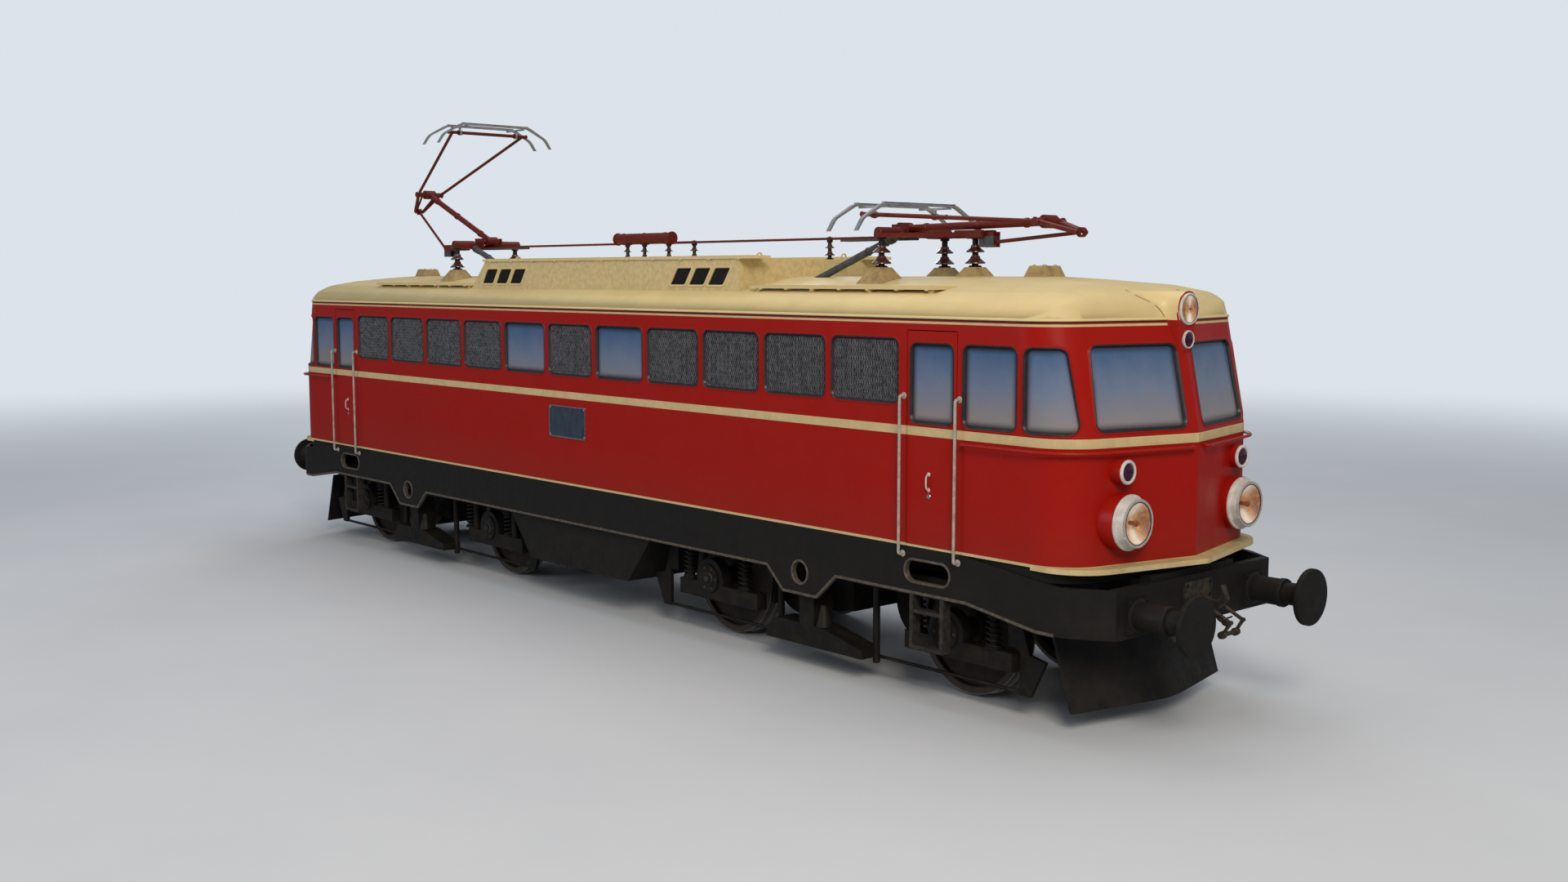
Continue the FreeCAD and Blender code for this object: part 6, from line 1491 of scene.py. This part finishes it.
class LOCO_OT_trim_roof(bpy.types.Operator):
    """Lays the roof's skin, its drip edge with a black strip below it as painted shadow, a tan line along the
    hood's creases as painted shade, the hatch seams, the battens and ribs of its boards, its bolts and lifting
    eyes
    """

    bl_idname = "loco.trim_roof"
    bl_label = "Trim the roof"

    def execute(self, context):
        roof = smooth(coat(copied("roof_shell", "roof_skin"), "roof"), 38)
        # painted shade: a thin tan tube along each crease where the hood meets the roof
        seams = [[(sx * x, sy * y, up + 0.001) for x, y, up in HOOD_CREASE] for sx in (1, -1) for sy in (1, -1)]
        crease_line = tube("hood_crease_shade_lines", seams, 0.004, 8, kind="NURBS")
        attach(coat(crease_line, "caulk"), "carbody")
        ring = eave_ring(EAVE)
        lip = swept(
            "roof_drip_edge",
            [ring],
            ((-0.004, -0.01), (-0.004, 0.010), (0.002, 0.015), (0.010, 0.012), (0.020, 0.002), (0.020, -0.01)),
        )
        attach(coat(lip, "roof"), "carbody")
        # painted shadow: a black strip under the drip edge
        shadow_strip = swept(
            "drip_edge_painted_shadow",
            [ring],
            ((-0.018, -0.01), (-0.018, 0.003), (-0.014, 0.005), (-0.0045, 0.005), (-0.0045, -0.01)),
        )
        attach(coat(shadow_strip, "rubber"), "carbody")
        batten = block("batten", (-0.02, -0.15, -0.012), (0.02, 0.15, 0.0), 0.003)
        low = [(sx * (2.95 + 0.385 * i), LOW_BATTEN) for i in range(7) for sx in (1, -1)]
        high = [(-2.3 + 0.49 * i, HIGH_BATTEN) for i in range(11)]
        places = [at(x, sy * BOARD_SIDE, up) for x, up in low + high for sy in (1, -1)]
        gather("board_battens", [(batten, places)], "carbody", "sooty", slot="board")
        grips = []
        for length, xs, up in ((2.57, (4.085, -4.085), LOW_BOARD), (5.24, (0.15,), HIGH_BOARD)):
            for row in range(5):
                y = 0.79 + row * 0.055
                half = length / 2 - 0.02
                rib = block("rib", (-half, -0.004, 0), (half, 0.004, 0.004), 0.0015, 1)
                grips.append((rib, [at(x, sy * y, up) for x in xs for sy in (1, -1)]))
        gather("board_grip_ribs", grips, "carbody", "roof", slot="board")
        bolt = turned("bolt", [(0.014, 0), (0.014, 0.009), (0.010, 0.012)], 6)
        washer = turned("washer", [(0.019, -0.002), (0.019, 0.002)], 16)
        spots = [at(-2.35 + 0.35 * i, sy * 0.70, HATCH_TOP) for i in range(15) for sy in (1, -1)]
        spots += [at(sx * x, sy * y, up) for sx in (1, -1) for x, y, up in BOX_BOLTS for sy in (1, -1)]
        gather("roof_bolts", [(bolt, spots), (washer, spots)], "carbody", "sooty", slot="cream_paint")
        seams = [[(x, y, HATCH_TOP + 0.001) for y in (-0.72, -0.3, 0.3, 0.72)] for x in (-1.55, -0.25, 1.05)]
        bead = tube("hatch_seams", seams, 0.006, 6)
        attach(coat(bead, "sooty"), "carbody")
        ring = [
            (0.035 * math.cos(a), 0, 0.035 * math.sin(a) + 0.028)
            for a in [math.tau * i / 16 for i in range(16)]
        ]
        eye = tube("eye", [ring], 0.009, 6, closed=True)
        across = spin(math.pi / 2, "Z")
        eyes = [at(x, sy * 0.62, HATCH_TOP) @ across for x in (-2.3, 2.45) for sy in (1, -1)]
        gather("lifting_eyes", [(eye, eyes)], "carbody", "sooty")
        return {"FINISHED"}


def shed_profile(sheds, post):
    """The outline of one insulator's sheds: umbrella cones with a drip edge below."""
    profiles = []
    for radius, up in sheds:
        profiles.append(
            [
                (post, up + 0.012),
                (radius * 0.62, up + 0.009),
                (radius * 0.93, up - 0.002),
                (radius, up + 0.001),
                (radius * 0.985, up + 0.009),
                (radius * 0.74, up + radius * 0.30),
                (radius * 0.5, up + radius * 0.52),
                (post * 1.25, up + radius * 0.74),
                (post, up + radius * 0.78),
            ]
        )
    return profiles


class LOCO_OT_set_insulators(bpy.types.Operator):
    """Stands the porcelain insulators under the pantographs, the switch and the busbar"""

    bl_idname = "loco.set_insulators"
    bl_label = "Set the insulators"

    def execute(self, context):
        sheds, posts = [], []
        feet = [turn @ at(x, y, PLINTH_TOP) for x, y in PANTOGRAPH_FEET for turn in BOTH_ENDS]
        low_feet = [at(x, BUS_SIDE, HATCH_TOP) for x in BUS_FEET]
        for sizes, post, places in ((BIG_SHED, 0.034, feet), (SMALL_SHED, 0.024, low_feet)):
            for profile in shed_profile(sizes, post):
                sheds.append((turned("shed", profile, 28), places))
            height = 0.296 if post > 0.03 else 0.212
            shape = [
                (post * 1.9, -0.002), (post * 1.95, 0.008), (post * 1.1, 0.016), (post * 0.9, 0.028),
                (post * 0.88, height - 0.03), (post * 1.4, height - 0.022), (post * 1.4, height - 0.001),
            ]
            posts.append((turned("post", shape, 20), places))
        whole = gather("insulator_sheds", sheds, "carbody", "porcelain", slot="insulator")
        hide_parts("roof_insulators")
        gather("insulator_posts", posts, "carbody", "black", slot="insulator")
        nut = turned("nut", [(0.011, 0), (0.011, 0.009), (0.007, 0.012)], 6)
        nuts = [
            f @ at(0.047 * math.cos(a), 0.047 * math.sin(a), 0.006)
            for f in feet
            for a in (0.8, 2.37, 3.94, 5.5)
        ]
        gather("insulator_nuts", [(nut, nuts)], "carbody", "lip")
        return {"FINISHED"}


# ---------------------------------------------------------------- skirts, ends and running gear

SKIRT_EDGE = (
    (3.45, 0.998), (3.69, 0.773), (4.18, 0.773), (4.45, 1.018), (6.09, 1.018), (6.875, 0.898), (7.065, 0.898)
)
STEP_HOLE = (5.63, 1.228)  # from the middle, up
JACK_HOLE = (3.94, 0.994)
BEAM = 7.51
BUFFER = (0.875, 1.078)  # from the centre line, up
HOOK_PIN = (7.68, 1.078)  # along, up
LINK_FOOT = (7.84, 0.848)
COLUMNS = (1.85, 2.77, 5.25, 6.17)  # spring columns, from the middle
COLUMN_SIDE = 1.095
COVER_FACE = 1.18  # centre line to the face of an axle box's cover


def bolts(places, radius):
    """Hexagon heads on washers, as gather's stock."""
    head = turned("head", [(radius, 0), (radius, radius * 0.6), (radius * 0.7, radius * 0.75)], 6)
    washer = turned(
        "washer", [(radius * 1.4, -0.001), (radius * 1.4, radius * 0.15), (radius * 1.2, radius * 0.22)], 14
    )
    return [(head, places), (washer, places)]


class LOCO_OT_trim_skirts(bpy.types.Operator):
    """Welds a flange along the skirts' lower edge, and rims round the step and jacking holes"""

    bl_idname = "loco.trim_skirts"
    bl_label = "Trim the skirts"

    def execute(self, context):
        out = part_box("underframe")[1][1]
        lines, rims = [], []
        for _, sign in FLANKS:
            run = [(-x, up) for x, up in SKIRT_EDGE[::-1]] + list(SKIRT_EDGE)
            spots = [Vector((-sign * x, sign * out, up)) for x, up in run]
            lines.append(wall_line(spots, Vector((0, sign, 0)), False))
            for x_sign in (1, -1):
                for (x, up), outline in (
                    (STEP_HOLE, rounded(0.54, 0.2, 0.099, 8)),
                    (JACK_HOLE, rounded(0.22, 0.22, 0.1099, 8)),
                ):
                    rims.append(flank_ring(sign, x_sign * x, up, outline, out - SIDE))
        edge = ((0.004, -0.03), (0.004, 0.003), (0, 0.006), (-0.020, 0.006), (-0.024, 0.003), (-0.024, -0.002))
        flange = swept("skirt_flanges", lines, edge, closed=False)
        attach(coat(flange, "lip"), "carbody")
        sleeve = (
            (-0.006, -0.048), (-0.007, 0.003), (-0.002, 0.009), (0.009, 0.009), (0.016, 0.003), (0.017, -0.003),
            (0.001, -0.004), (0.001, -0.048),
        )
        rim = swept("skirt_hole_rims", rims, sleeve)
        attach(coat(rim, "lip"), "carbody")
        return {"FINISHED"}


class LOCO_OT_fit_ends(bpy.types.Operator):
    """Fits collars and bolts to the buffers, nuts and eyes to the coupling, and air cocks below the beams"""

    bl_idname = "loco.fit_ends"
    bl_label = "Fit the ends"

    def execute(self, context):
        side, up = BUFFER
        faces = [turn @ at(BEAM, side, up) @ AHEAD for turn in EVERY_CORNER]
        weld = turned("weld", [(0.145, 0.020), (0.143, 0.030), (0.126, 0.042), (0.118, 0.044)], 40)
        collar = turned(
            "collar", [(0.118, 0.288), (0.128, 0.293), (0.1295, 0.332), (0.124, 0.343), (0.102, 0.345)], 40
        )
        boss = turned(
            "boss", [(0.099, 0.470), (0.103, 0.49), (0.122, 0.525), (0.165, 0.548), (0.172, 0.557)], 40
        )
        shape = [
            (0.242, 0.5545), (0.2505, 0.556), (0.2525, 0.560), (0.2525, 0.592), (0.250, 0.598), (0.243, 0.6008)
        ]
        rim = turned("rim", shape, 64)
        corners = [face @ at(x * 0.117, y * 0.117, 0.025) for face in faces for x in (1, -1) for y in (1, -1)]
        stock = [(piece, faces) for piece in (weld, collar, boss, rim)]
        gather("buffer_fittings", stock + bolts(corners, 0.015), "carbody", "chassis")
        for end, sign in ENDS:
            flip = Matrix.Diagonal((sign, 1, 1, 1))
            pins, eyes = [], []
            for x, height in (HOOK_PIN, LINK_FOOT):
                for turn in (HERE, FLIP_Y):
                    pins.append(flip @ turn @ at(x, 0.127, height) @ LEFTWARDS)
                    eyes.append(flip @ turn @ at(x, 0.076, height) @ LEFTWARDS)
            eye = turned("eye", [(0.030, 0), (0.034, 0.004), (0.034, 0.032), (0.030, 0.036)], 24)
            plate_bolts = [
                flip @ at(BEAM + 0.025, y, z) @ AHEAD for y in (-0.17, 0.17) for z in (1.008, 1.12, 1.233)
            ]
            stock = [(eye, eyes)] + bolts(pins, 0.022)
            gather(f"coupling_fittings_{end}", stock, "carbody", "forged")
            gather(f"coupling_plate_bolts_{end}", bolts(plate_bolts, 0.014), "carbody", "chassis")
            flanks = [flip, flip @ FLIP_Y]
            bend = [(x, 0.42, up) for x, up in ((7.44, 0.93), (7.45, 0.87), (7.49, 0.835), (7.575, 0.815))]
            pipe = tube("pipe", [bend], 0.017, 10, kind="NURBS")
            body = rod("body", (7.515, 0.42, 0.829), (7.59, 0.42, 0.811), 0.027, 12, 0.006)
            stem = rod("stem", (7.553, 0.42, 0.82), (7.553, 0.42, 0.868), 0.011, 10)
            lever = rod("lever", (7.553, 0.41, 0.868), (7.553, 0.50, 0.872), 0.008, 10)
            stock = [(piece, flanks) for piece in (pipe, body, stem, lever)]
            gather(f"air_cocks_{end}", stock, "carbody", "forged")
        return {"FINISHED"}


class LOCO_OT_fit_bogies(bpy.types.Operator):
    """Sets coil springs round the columns, rings and bolts on the axle boxes and brake shoes at the wheels"""

    bl_idname = "loco.fit_bogies"
    bl_label = "Fit the bogies"

    def execute(self, context):
        fit = context.scene.loco_fittings
        for end, sign in ENDS:
            flips = [Matrix.Diagonal((sign, side, 1, 1)) for side in (1, -1)]
            columns = [flip @ at(x, COLUMN_SIDE, 0) for flip in flips for x in COLUMNS]
            steps = fit.spring_turns * 12
            turns = [math.tau * i / 12 for i in range(steps + 1)]
            helix = [
                (0.066 * math.cos(a), 0.066 * math.sin(a), 0.616 + 0.31 * i / steps)
                for i, a in enumerate(turns)
            ]
            coil = tube("coil", [helix], fit.spring_wire, 8)
            cup = turned(
                "cup", [(0.082, 0.595), (0.086, 0.599), (0.086, 0.611), (0.080, 0.617), (0.052, 0.619)], 24
            )
            cap = turned("cap", [(0.052, 0.924), (0.080, 0.926), (0.086, 0.932), (0.086, 0.949)], 24)
            gather(f"axle_springs_{end}", [(p, columns) for p in (coil, cup, cap)], f"bogie_{end}", "bogie")
            covers = [flip @ at(x, COVER_FACE, AXLE_UP) @ LEFTWARDS for flip in flips for x in AXLES]
            rounds = [c @ spin(math.tau * i / 6, "Z") @ at(0.118, 0, 0) for c in covers for i in range(6)]
            ring = turned("ring", [(0.076, -0.001), (0.076, 0.006), (0.068, 0.014), (0.062, 0.015)], 28)
            hub = turned("hub", [(0.040, 0.018), (0.042, 0.030), (0.034, 0.037)], 6)
            stock = [(ring, covers), (hub, covers)] + bolts(rounds, 0.013)
            gather(f"axle_box_fittings_{end}", stock, f"bogie_{end}", "tread")
            arc = [math.radians(-19 + 38 * i / 8) for i in range(9)]
            shape = [(0.676 * math.cos(a), 0.676 * math.sin(a)) for a in arc]
            shape += [(0.633 * math.cos(a), 0.633 * math.sin(a)) for a in arc[::-1]]
            lay = at(0, 0.806, AXLE_UP) @ spin(math.pi / 2, "X")
            shoe = place(plate("shoe", shape, 0.084, 0.004), lay)
            hanger = rod("hanger", (0.672, 0.764, 0.66), (0.690, 0.764, 1.03), 0.020, 10)
            pin = rod("pin", (0.690, 0.70, 1.02), (0.690, 0.962, 1.02), 0.019, 12)
            wheels = [flip @ at(x, 0, 0) @ turn for flip in flips for x in AXLES for turn in BOTH_ENDS]
            stock = [(p, wheels) for p in (shoe, hanger, pin)]
            gather(f"brake_shoes_{end}", stock, f"bogie_{end}", "bogie")
        return {"FINISHED"}


# ---------------------------------------------------------------- roof gear

PIVOT = (3.985, 4.348)  # of a lower arm: along, up
ARM_POINTS = {  # knee, top tube and tail of each pantograph: along and up
    "front": ((5.82483, 4.373), (3.98789, 4.479), (6.20241, 4.26807)),
    "rear": ((-5.68458, 5.053), (-4.01115, 5.818), (-5.9984, 4.81828)),
}
DRIVE_ROD = ((4.11, -0.22, 4.275), (2.70, -0.22, 3.753))  # from a pantograph's base to the roof


class LOCO_OT_fit_pantographs(bpy.types.Operator):
    """Fits collars, gussets, caps and carbons to the pantographs, and stubs and bolts to their bases"""

    bl_idname = "loco.fit_pantographs"
    bl_label = "Fit the pantographs"

    def execute(self, context):
        for end, sign in ENDS:
            knee, top, tail = (Vector((x, 0, up)) for x, up in ARM_POINTS[end])
            pivot = Vector((sign * PIVOT[0], 0, PIVOT[1]))
            arm = (knee - pivot).normalized()
            both = (HERE, FLIP_Y)
            collars, lugs = [], []
            for reach in (0.30, 0.98, 1.58):
                spot = pivot + arm * reach
                collars.append(
                    (rod("collar", spot - arm * 0.022, spot + arm * 0.022, 0.047, 20, 0.006), both[:1])
                )
                lugs += [turn @ at(spot.x, 0.045, spot.z) @ LEFTWARDS for turn in both]
            gather(f"lower_arm_collars_{end}", collars + bolts(lugs, 0.011), f"lower_arm_{end}", "gear")
            side = Vector((0, 1, 0))
            stock = [
                (rod("gusset", knee + side * 0.176, tail + side * 0.064, 0.024, 6, 0.003), both),
                (rod("knee_cap", knee + side * 0.194, knee + side * 0.214, 0.041, 24, 0.006), both),
                (rod("top_cap", top + side * 0.604, top + side * 0.624, 0.028, 20, 0.005), both),
                (rod("stop_ring", top + side * 0.459, top + side * 0.473, 0.032, 20, 0.003), both),
                (rod("stop_ring", top + side * 0.407, top + side * 0.421, 0.032, 20, 0.003), both),
            ]
            gather(f"upper_arm_fittings_{end}", stock, f"upper_arm_{end}", "gear")
            level = top.z + 0.11
            carbon = block("carbon", (-0.015, -0.505, level - 0.001), (0.015, 0.505, level + 0.009), 0.003)
            clip = block("clip", (-0.024, -0.014, level - 0.004), (0.024, 0.014, level + 0.0115), 0.003)
            strips = [at(top.x + s * 0.195, 0, 0) for s in (1, -1)]
            gather(f"contact_carbons_{end}", [(carbon, strips)], f"pan_head_{end}", "carbon")
            clips = [s @ at(0, y, 0) for s in strips for y in (-0.50, -0.17, 0.17, 0.50)]
            gather(f"carbon_clips_{end}", [(clip, clips)], f"pan_head_{end}", "zinc")
        stub = rod("stub", (4.11, 0.20, 4.300), (4.11, 0.522, 4.300), 0.055, 10, 0.006)
        cheek = block("cheek", (4.745, 0.056, 4.234), (5.105, 0.116, 4.314), 0.016, 2)
        nuts = [turn @ at(PIVOT[0], 0.150, PIVOT[1]) @ LEFTWARDS for turn in EVERY_CORNER]
        heads = [
            turn @ at(x, y, 4.2925)
            for turn in EVERY_CORNER
            for x, y in ((4.30, 0.36), (4.52, 0.235), (4.72, 0.13))
        ]
        stock = [(stub, EVERY_CORNER), (cheek, EVERY_CORNER)] + bolts(nuts, 0.024) + bolts(heads, 0.014)
        gather("pantograph_base_fittings", stock, "carbody", "gear")
        start, finish = (Vector(point) for point in DRIVE_ROD)
        along = (finish - start).normalized()
        stock = []
        for first, last, radius in ((0.07, 0.13, 0.049), (0.17, 0.19, 0.045), (0.44, 0.46, 0.045)):
            stock.append(
                (rod("sleeve", start + along * first, start + along * last, radius, 20, 0.004), BOTH_ENDS)
            )
        gather("drive_rod_collars", stock, "carbody", "drive")
        return {"FINISHED"}


class LOCO_OT_fit_busbar(bpy.types.Operator):
    """Clamps the busbar to its insulators, and puts flanges, saddles and a terminal on the main switch"""

    bl_idname = "loco.fit_busbar"
    bl_label = "Fit the busbar"

    def execute(self, context):
        clamp = block("clamp", (-0.026, -0.022, 4.258), (0.026, 0.022, 4.297), 0.005)
        saddle = block("saddle", (-0.032, -0.052, 4.262), (0.032, 0.052, 4.300), 0.006)
        clamps = [at(x, BUS_SIDE, 0) for x in BUS_FEET[3:]]
        saddles = [at(x, BUS_SIDE, 0) for x in BUS_FEET[:3]]
        terminal = block("terminal", (-0.30, BUS_SIDE - 0.02, 4.263), (0.165, BUS_SIDE + 0.02, 4.293), 0.004)
        stock = [(clamp, clamps), (saddle, saddles), (terminal, [HERE])]
        for first, last, radius in SWITCH_FLANGES:
            start, finish = ((x, BUS_SIDE, SWITCH_UP) for x in (first, last))
            stock.append((rod("flange", start, finish, radius, 32, 0.004), [HERE]))
        ends = [at(x, BUS_SIDE, SWITCH_UP) @ towards((x + 0.86, 0, 0)) for x in (-1.437, -0.283)]
        rounds = [e @ spin(math.tau * i / 6, "Z") @ at(0.056, 0, 0) for e in ends for i in range(6)]
        heads = [c @ at(0, 0, 4.297) for c in clamps] + rounds
        gather("busbar_fittings", stock + bolts(heads, 0.009), "carbody", "gear")
        return {"FINISHED"}


# ---------------------------------------------------------------- cabs

SEAT = (6.12, 0.56, 1.928)  # along, out from the centre line, top of the cushion
CUSHION_SIZE = (0.44, 0.45, 0.085)
BACK_SIZE = (0.085, 0.45, 0.64)
CUSHION_SWELL = 0.010  # the most that a cushion's cover stands off its foam


def cushion(name, size):
    """A sprung cushion about the origin: a cloth simulation swells its cover; its edges stay drawn in."""
    piece = block(name, [-s / 2 for s in size], [s / 2 for s in size], 0.022, 3)
    remesh = piece.modifiers.new("remesh", "REMESH")
    remesh.mode = "VOXEL"
    remesh.voxel_size = 0.010
    hold(piece)
    bpy.ops.object.modifier_apply(modifier="remesh")
    start = [vertex.co.copy() for vertex in piece.data.vertices]
    cloth = piece.modifiers.new("cloth", "CLOTH")
    cloth.settings.use_pressure = True
    cloth.settings.uniform_pressure_force = 4.0
    cloth.settings.effector_weights.gravity = 0.0
    scene = bpy.context.scene
    for number in range(1, 21):
        scene.frame_set(number)
    bpy.ops.object.modifier_apply(modifier="cloth")
    for vertex, home in zip(piece.data.vertices, start):
        move = vertex.co - home
        if move.length > CUSHION_SWELL:
            vertex.co = home + move.normalized() * CUSHION_SWELL
    scene.frame_set(1)
    return smooth(piece, 60)


class LOCO_OT_furnish_cabs(bpy.types.Operator):
    """Furnishes both cabs: upholstered seats on pedestals, gauges, a handwheel and levers on the desks"""

    bl_idname = "loco.furnish_cabs"
    bl_label = "Furnish the cabs"

    def execute(self, context):
        x, y, top = SEAT
        seat = cushion("seat", CUSHION_SIZE)
        back = cushion("back", BACK_SIZE)
        for end, sx in ENDS:
            for flank, sy in FLANKS:
                spot = Matrix.Diagonal((sx, -sy, 1, 1))
                for kind, pattern, move in (
                    ("seat", seat, at(x, -y, top - CUSHION_SIZE[2] / 2)),
                    ("back", back, at(x - 0.275, -y, top + BACK_SIZE[2] / 2 - 0.05)),
                ):
                    piece = place(linked(f"{kind}_cushion_{end}_{flank}", pattern.data.copy()), spot @ move)
                    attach(coat(piece, "cloth"), "carbody")
        for pattern in (seat, back):
            bpy.data.objects.remove(pattern)
        shape = [
            (0.15, 1.446), (0.152, 1.462), (0.06, 1.480), (0.052, 1.70), (0.075, 1.76), (0.078, 1.815),
            (0.14, 1.822), (0.145, 1.846),
        ]
        post = turned("post", shape, 28)
        pan = block("pan", (-0.20, -0.205, 1.832), (0.20, 0.205, 1.850), 0.006)
        stay = block("stay", (-0.335, -0.16, 1.84), (-0.318, 0.16, 2.44), 0.006)
        foot = block("foot", (-0.335, -0.05, 1.834), (-0.10, 0.05, 1.848), 0.005)
        seats = [turn @ at(x, y, 0) for turn in EVERY_CORNER]
        stock = [(piece, seats) for piece in (post, pan, stay, foot)]
        frames = gather("seat_frames", stock, "carbody", "black")
        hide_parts("cab_seats")
        ring = [(0.13 * math.cos(a), 0.13 * math.sin(a), 0) for a in [math.tau * i / 24 for i in range(24)]]
        lean = spin(math.radians(-14), "Y")
        wheels = [turn @ at(6.74, -0.56, 2.375) @ lean for turn in BOTH_CABS]
        wheel = tube("wheel", [ring], 0.011, 8, closed=True)
        spoke = tube("spoke", [[(-0.13, 0, 0), (0, 0, -0.02), (0.13, 0, 0)]], 0.008, 8)
        hub = turned(
            "hub", [(0.030, -0.095), (0.030, -0.02), (0.036, -0.012), (0.030, 0.004), (0.012, 0.010)], 20
        )
        crossed = wheels + [w @ spin(math.pi / 2, "Z") for w in wheels]
        stock = [(wheel, wheels), (spoke, crossed), (hub, wheels)]
        gather("desk_handwheels", stock, "carbody", "black")
        shape = [
            (0.058, -0.02), (0.060, 0.022), (0.056, 0.028), (0.048, 0.029), (0.047, 0.024), (0.004, 0.0235)
        ]
        case = turned("case", shape, 28)
        lean = towards((-0.62, 0, 0.78))
        sides = [-0.56 + 0.15 * i for i in (-2, -1, 0, 1, 2)]
        faces = [turn @ at(6.93, y, 2.39) @ lean for turn in BOTH_CABS for y in sides]
        gather("desk_gauges", [(case, faces)], "carbody", "black")
        arm = rod("arm", (0, 0, -0.02), (-0.03, 0, 0.11), 0.008, 10)
        knob = turned("knob", [(0.010, 0), (0.021, 0.012), (0.024, 0.026), (0.018, 0.040), (0.006, 0.045)], 18)
        levers = [turn @ at(6.76, y, 2.31) for turn in BOTH_CABS for y in (-0.92, -0.20)]
        stock = [(arm, levers), (place(knob, at(-0.028, 0, 0.10)), levers)]
        gather("desk_levers", stock, "carbody", "bezel")
        return {"FINISHED"}


# ---------------------------------------------------------------- stage


class LOCO_OT_set_stage(bpy.types.Operator):
    """Lays a pale floor, hangs soft studio lights and points the camera as the photograph does"""

    bl_idname = "loco.set_stage"
    bl_label = "Set the stage"

    def execute(self, context):
        scene = context.scene
        nothing_selected()
        bpy.ops.mesh.primitive_plane_add(size=240, location=(0, 0, 0))
        floor = named("studio_floor")
        material, tree, shader = surface("pale_studio_floor", Roughness=0.8)
        path = add(tree, "LightPath", output="Is Camera Ray")
        pale = patched(tree, "C9CDD1", "C3C8CD", 4000)
        dim = maths(tree, "MULTIPLY", path.node.outputs["Is Glossy Ray"], 0.75)
        feed(tree, shader, Base_Color=mix(tree, dim, pale, "33373C"))
        distance = far_out(tree, add(tree, "TexCoord", output="Object"))
        far = add(tree, "MapRange", {"interpolation_type": "SMOOTHSTEP"}, {0: distance, 1: 12.0, 2: 42.0})
        glow = add(tree, "Emission", None, {"Color": BACKDROP, "Strength": 1.0})
        fade = add(
            tree, "MixShader", None, {0: maths(tree, "MULTIPLY", far, path), 1: shader.outputs[0], 2: glow}
        )
        tree.links.new(fade, tree.nodes["Material Output"].inputs["Surface"])
        floor.data.materials.append(material)
        floor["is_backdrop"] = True
        world = bpy.data.worlds.new("pale_studio")
        scene.world = world
        world.use_nodes = True
        tree = world.node_tree
        tree.nodes.clear()
        path = add(tree, "LightPath", output="Is Camera Ray")
        glossy = path.node.outputs["Is Glossy Ray"]
        seen = maths(tree, "MAXIMUM", path, path.node.outputs["Is Transmission Ray"])
        light = add(tree, "Background", None, {"Color": "EEF2F8", "Strength": 0.42})
        shown = add(tree, "Background", None, {"Color": BACKDROP, "Strength": 1.0})
        mirrored = add(tree, "Background", None, {"Color": "C9D3DF", "Strength": 0.4})
        dim = add(tree, "MixShader", None, {0: glossy, 1: light, 2: mirrored})
        output = tree.nodes.new("ShaderNodeOutputWorld")
        tree.links.new(add(tree, "MixShader", None, {0: seen, 1: dim, 2: shown}), output.inputs["Surface"])
        for name, spot, target, size, watts, tone in (
            ("key_softbox", (22, -14, 16), (2, 0, 1.5), 9.0, 4100, "FFF1E0"),
            ("side_softbox", (-6, -20, 9), (0, 0, 1.8), 10.0, 700, "F3F6FF"),
            ("top_softbox", (0, 2, 18), (0, 0, 3), 14.0, 1000, "FFFFFF"),
            ("back_softbox", (-18, 16, 10), (0, 0, 2), 9.0, 1400, "F3F6FF"),
        ):
            lamp = bpy.data.lights.new(name, "AREA")
            lamp.energy = watts
            lamp.size = size
            lamp.color = linear(tone)[:3]
            holder = linked(name, lamp)
            holder.location = spot
            holder.rotation_euler = (Vector(target) - Vector(spot)).to_track_quat("-Z", "Y").to_euler()
        camera = bpy.data.cameras.new("photo_camera")
        camera.lens = 35.65
        camera.sensor_width = 36.0
        camera.clip_end = 400.0
        holder = linked("photo_camera", camera)
        holder.location = (15.004, -11.460, 3.877)
        holder.rotation_euler = [math.radians(turn) for turn in (83.919, 0.0, 48.291)]
        scene.camera = holder
        scene.view_settings.view_transform = "Standard"
        return {"FINISHED"}


# ---------------------------------------------------------------- the add-on


STEPS = (
    LOCO_OT_mix_finishes,
    LOCO_OT_paint_frame,
    LOCO_OT_glaze_windows,
    LOCO_OT_weave_grilles,
    LOCO_OT_fit_doors,
    LOCO_OT_hang_plates,
    LOCO_OT_build_lamps,
    LOCO_OT_trim_roof,
    LOCO_OT_set_insulators,
    LOCO_OT_trim_skirts,
    LOCO_OT_fit_ends,
    LOCO_OT_fit_bogies,
    LOCO_OT_fit_pantographs,
    LOCO_OT_fit_busbar,
    LOCO_OT_furnish_cabs,
    LOCO_OT_set_stage,
)


class LOCO_PT_panel(bpy.types.Panel):
    """The locomotive's sizes, colours and building steps"""

    bl_idname = "LOCO_PT_panel"
    bl_label = "Electric locomotive"
    bl_space_type = "VIEW_3D"
    bl_region_type = "UI"
    bl_category = "Locomotive"

    def draw(self, context):
        for group in (context.scene.loco_livery, context.scene.loco_fittings):
            column = self.layout.column(align=True)
            for key in group.__annotations__:
                column.prop(group, key)
        column = self.layout.column(align=True)
        for step in STEPS:
            column.operator(step.bl_idname)


CLASSES = (LOCO_PG_livery, LOCO_PG_fittings, *STEPS, LOCO_PT_panel)


def register():
    for kind in CLASSES:
        bpy.utils.register_class(kind)
    bpy.types.Scene.loco_livery = PointerProperty(type=LOCO_PG_livery)
    bpy.types.Scene.loco_fittings = PointerProperty(type=LOCO_PG_fittings)


def unregister():
    del bpy.types.Scene.loco_livery
    del bpy.types.Scene.loco_fittings
    for kind in reversed(CLASSES):
        bpy.utils.unregister_class(kind)


def main():
    """Registers the add-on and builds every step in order."""
    register()
    for step in STEPS:
        group, operator = step.bl_idname.split(".")
        getattr(getattr(bpy.ops, group), operator)()
    boxes = {"cad": CAD_BOX, "visual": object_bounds()}
    {name: [list(corner) for corner in box] for name, box in boxes.items()}


if __name__ == "__main__":
    main()
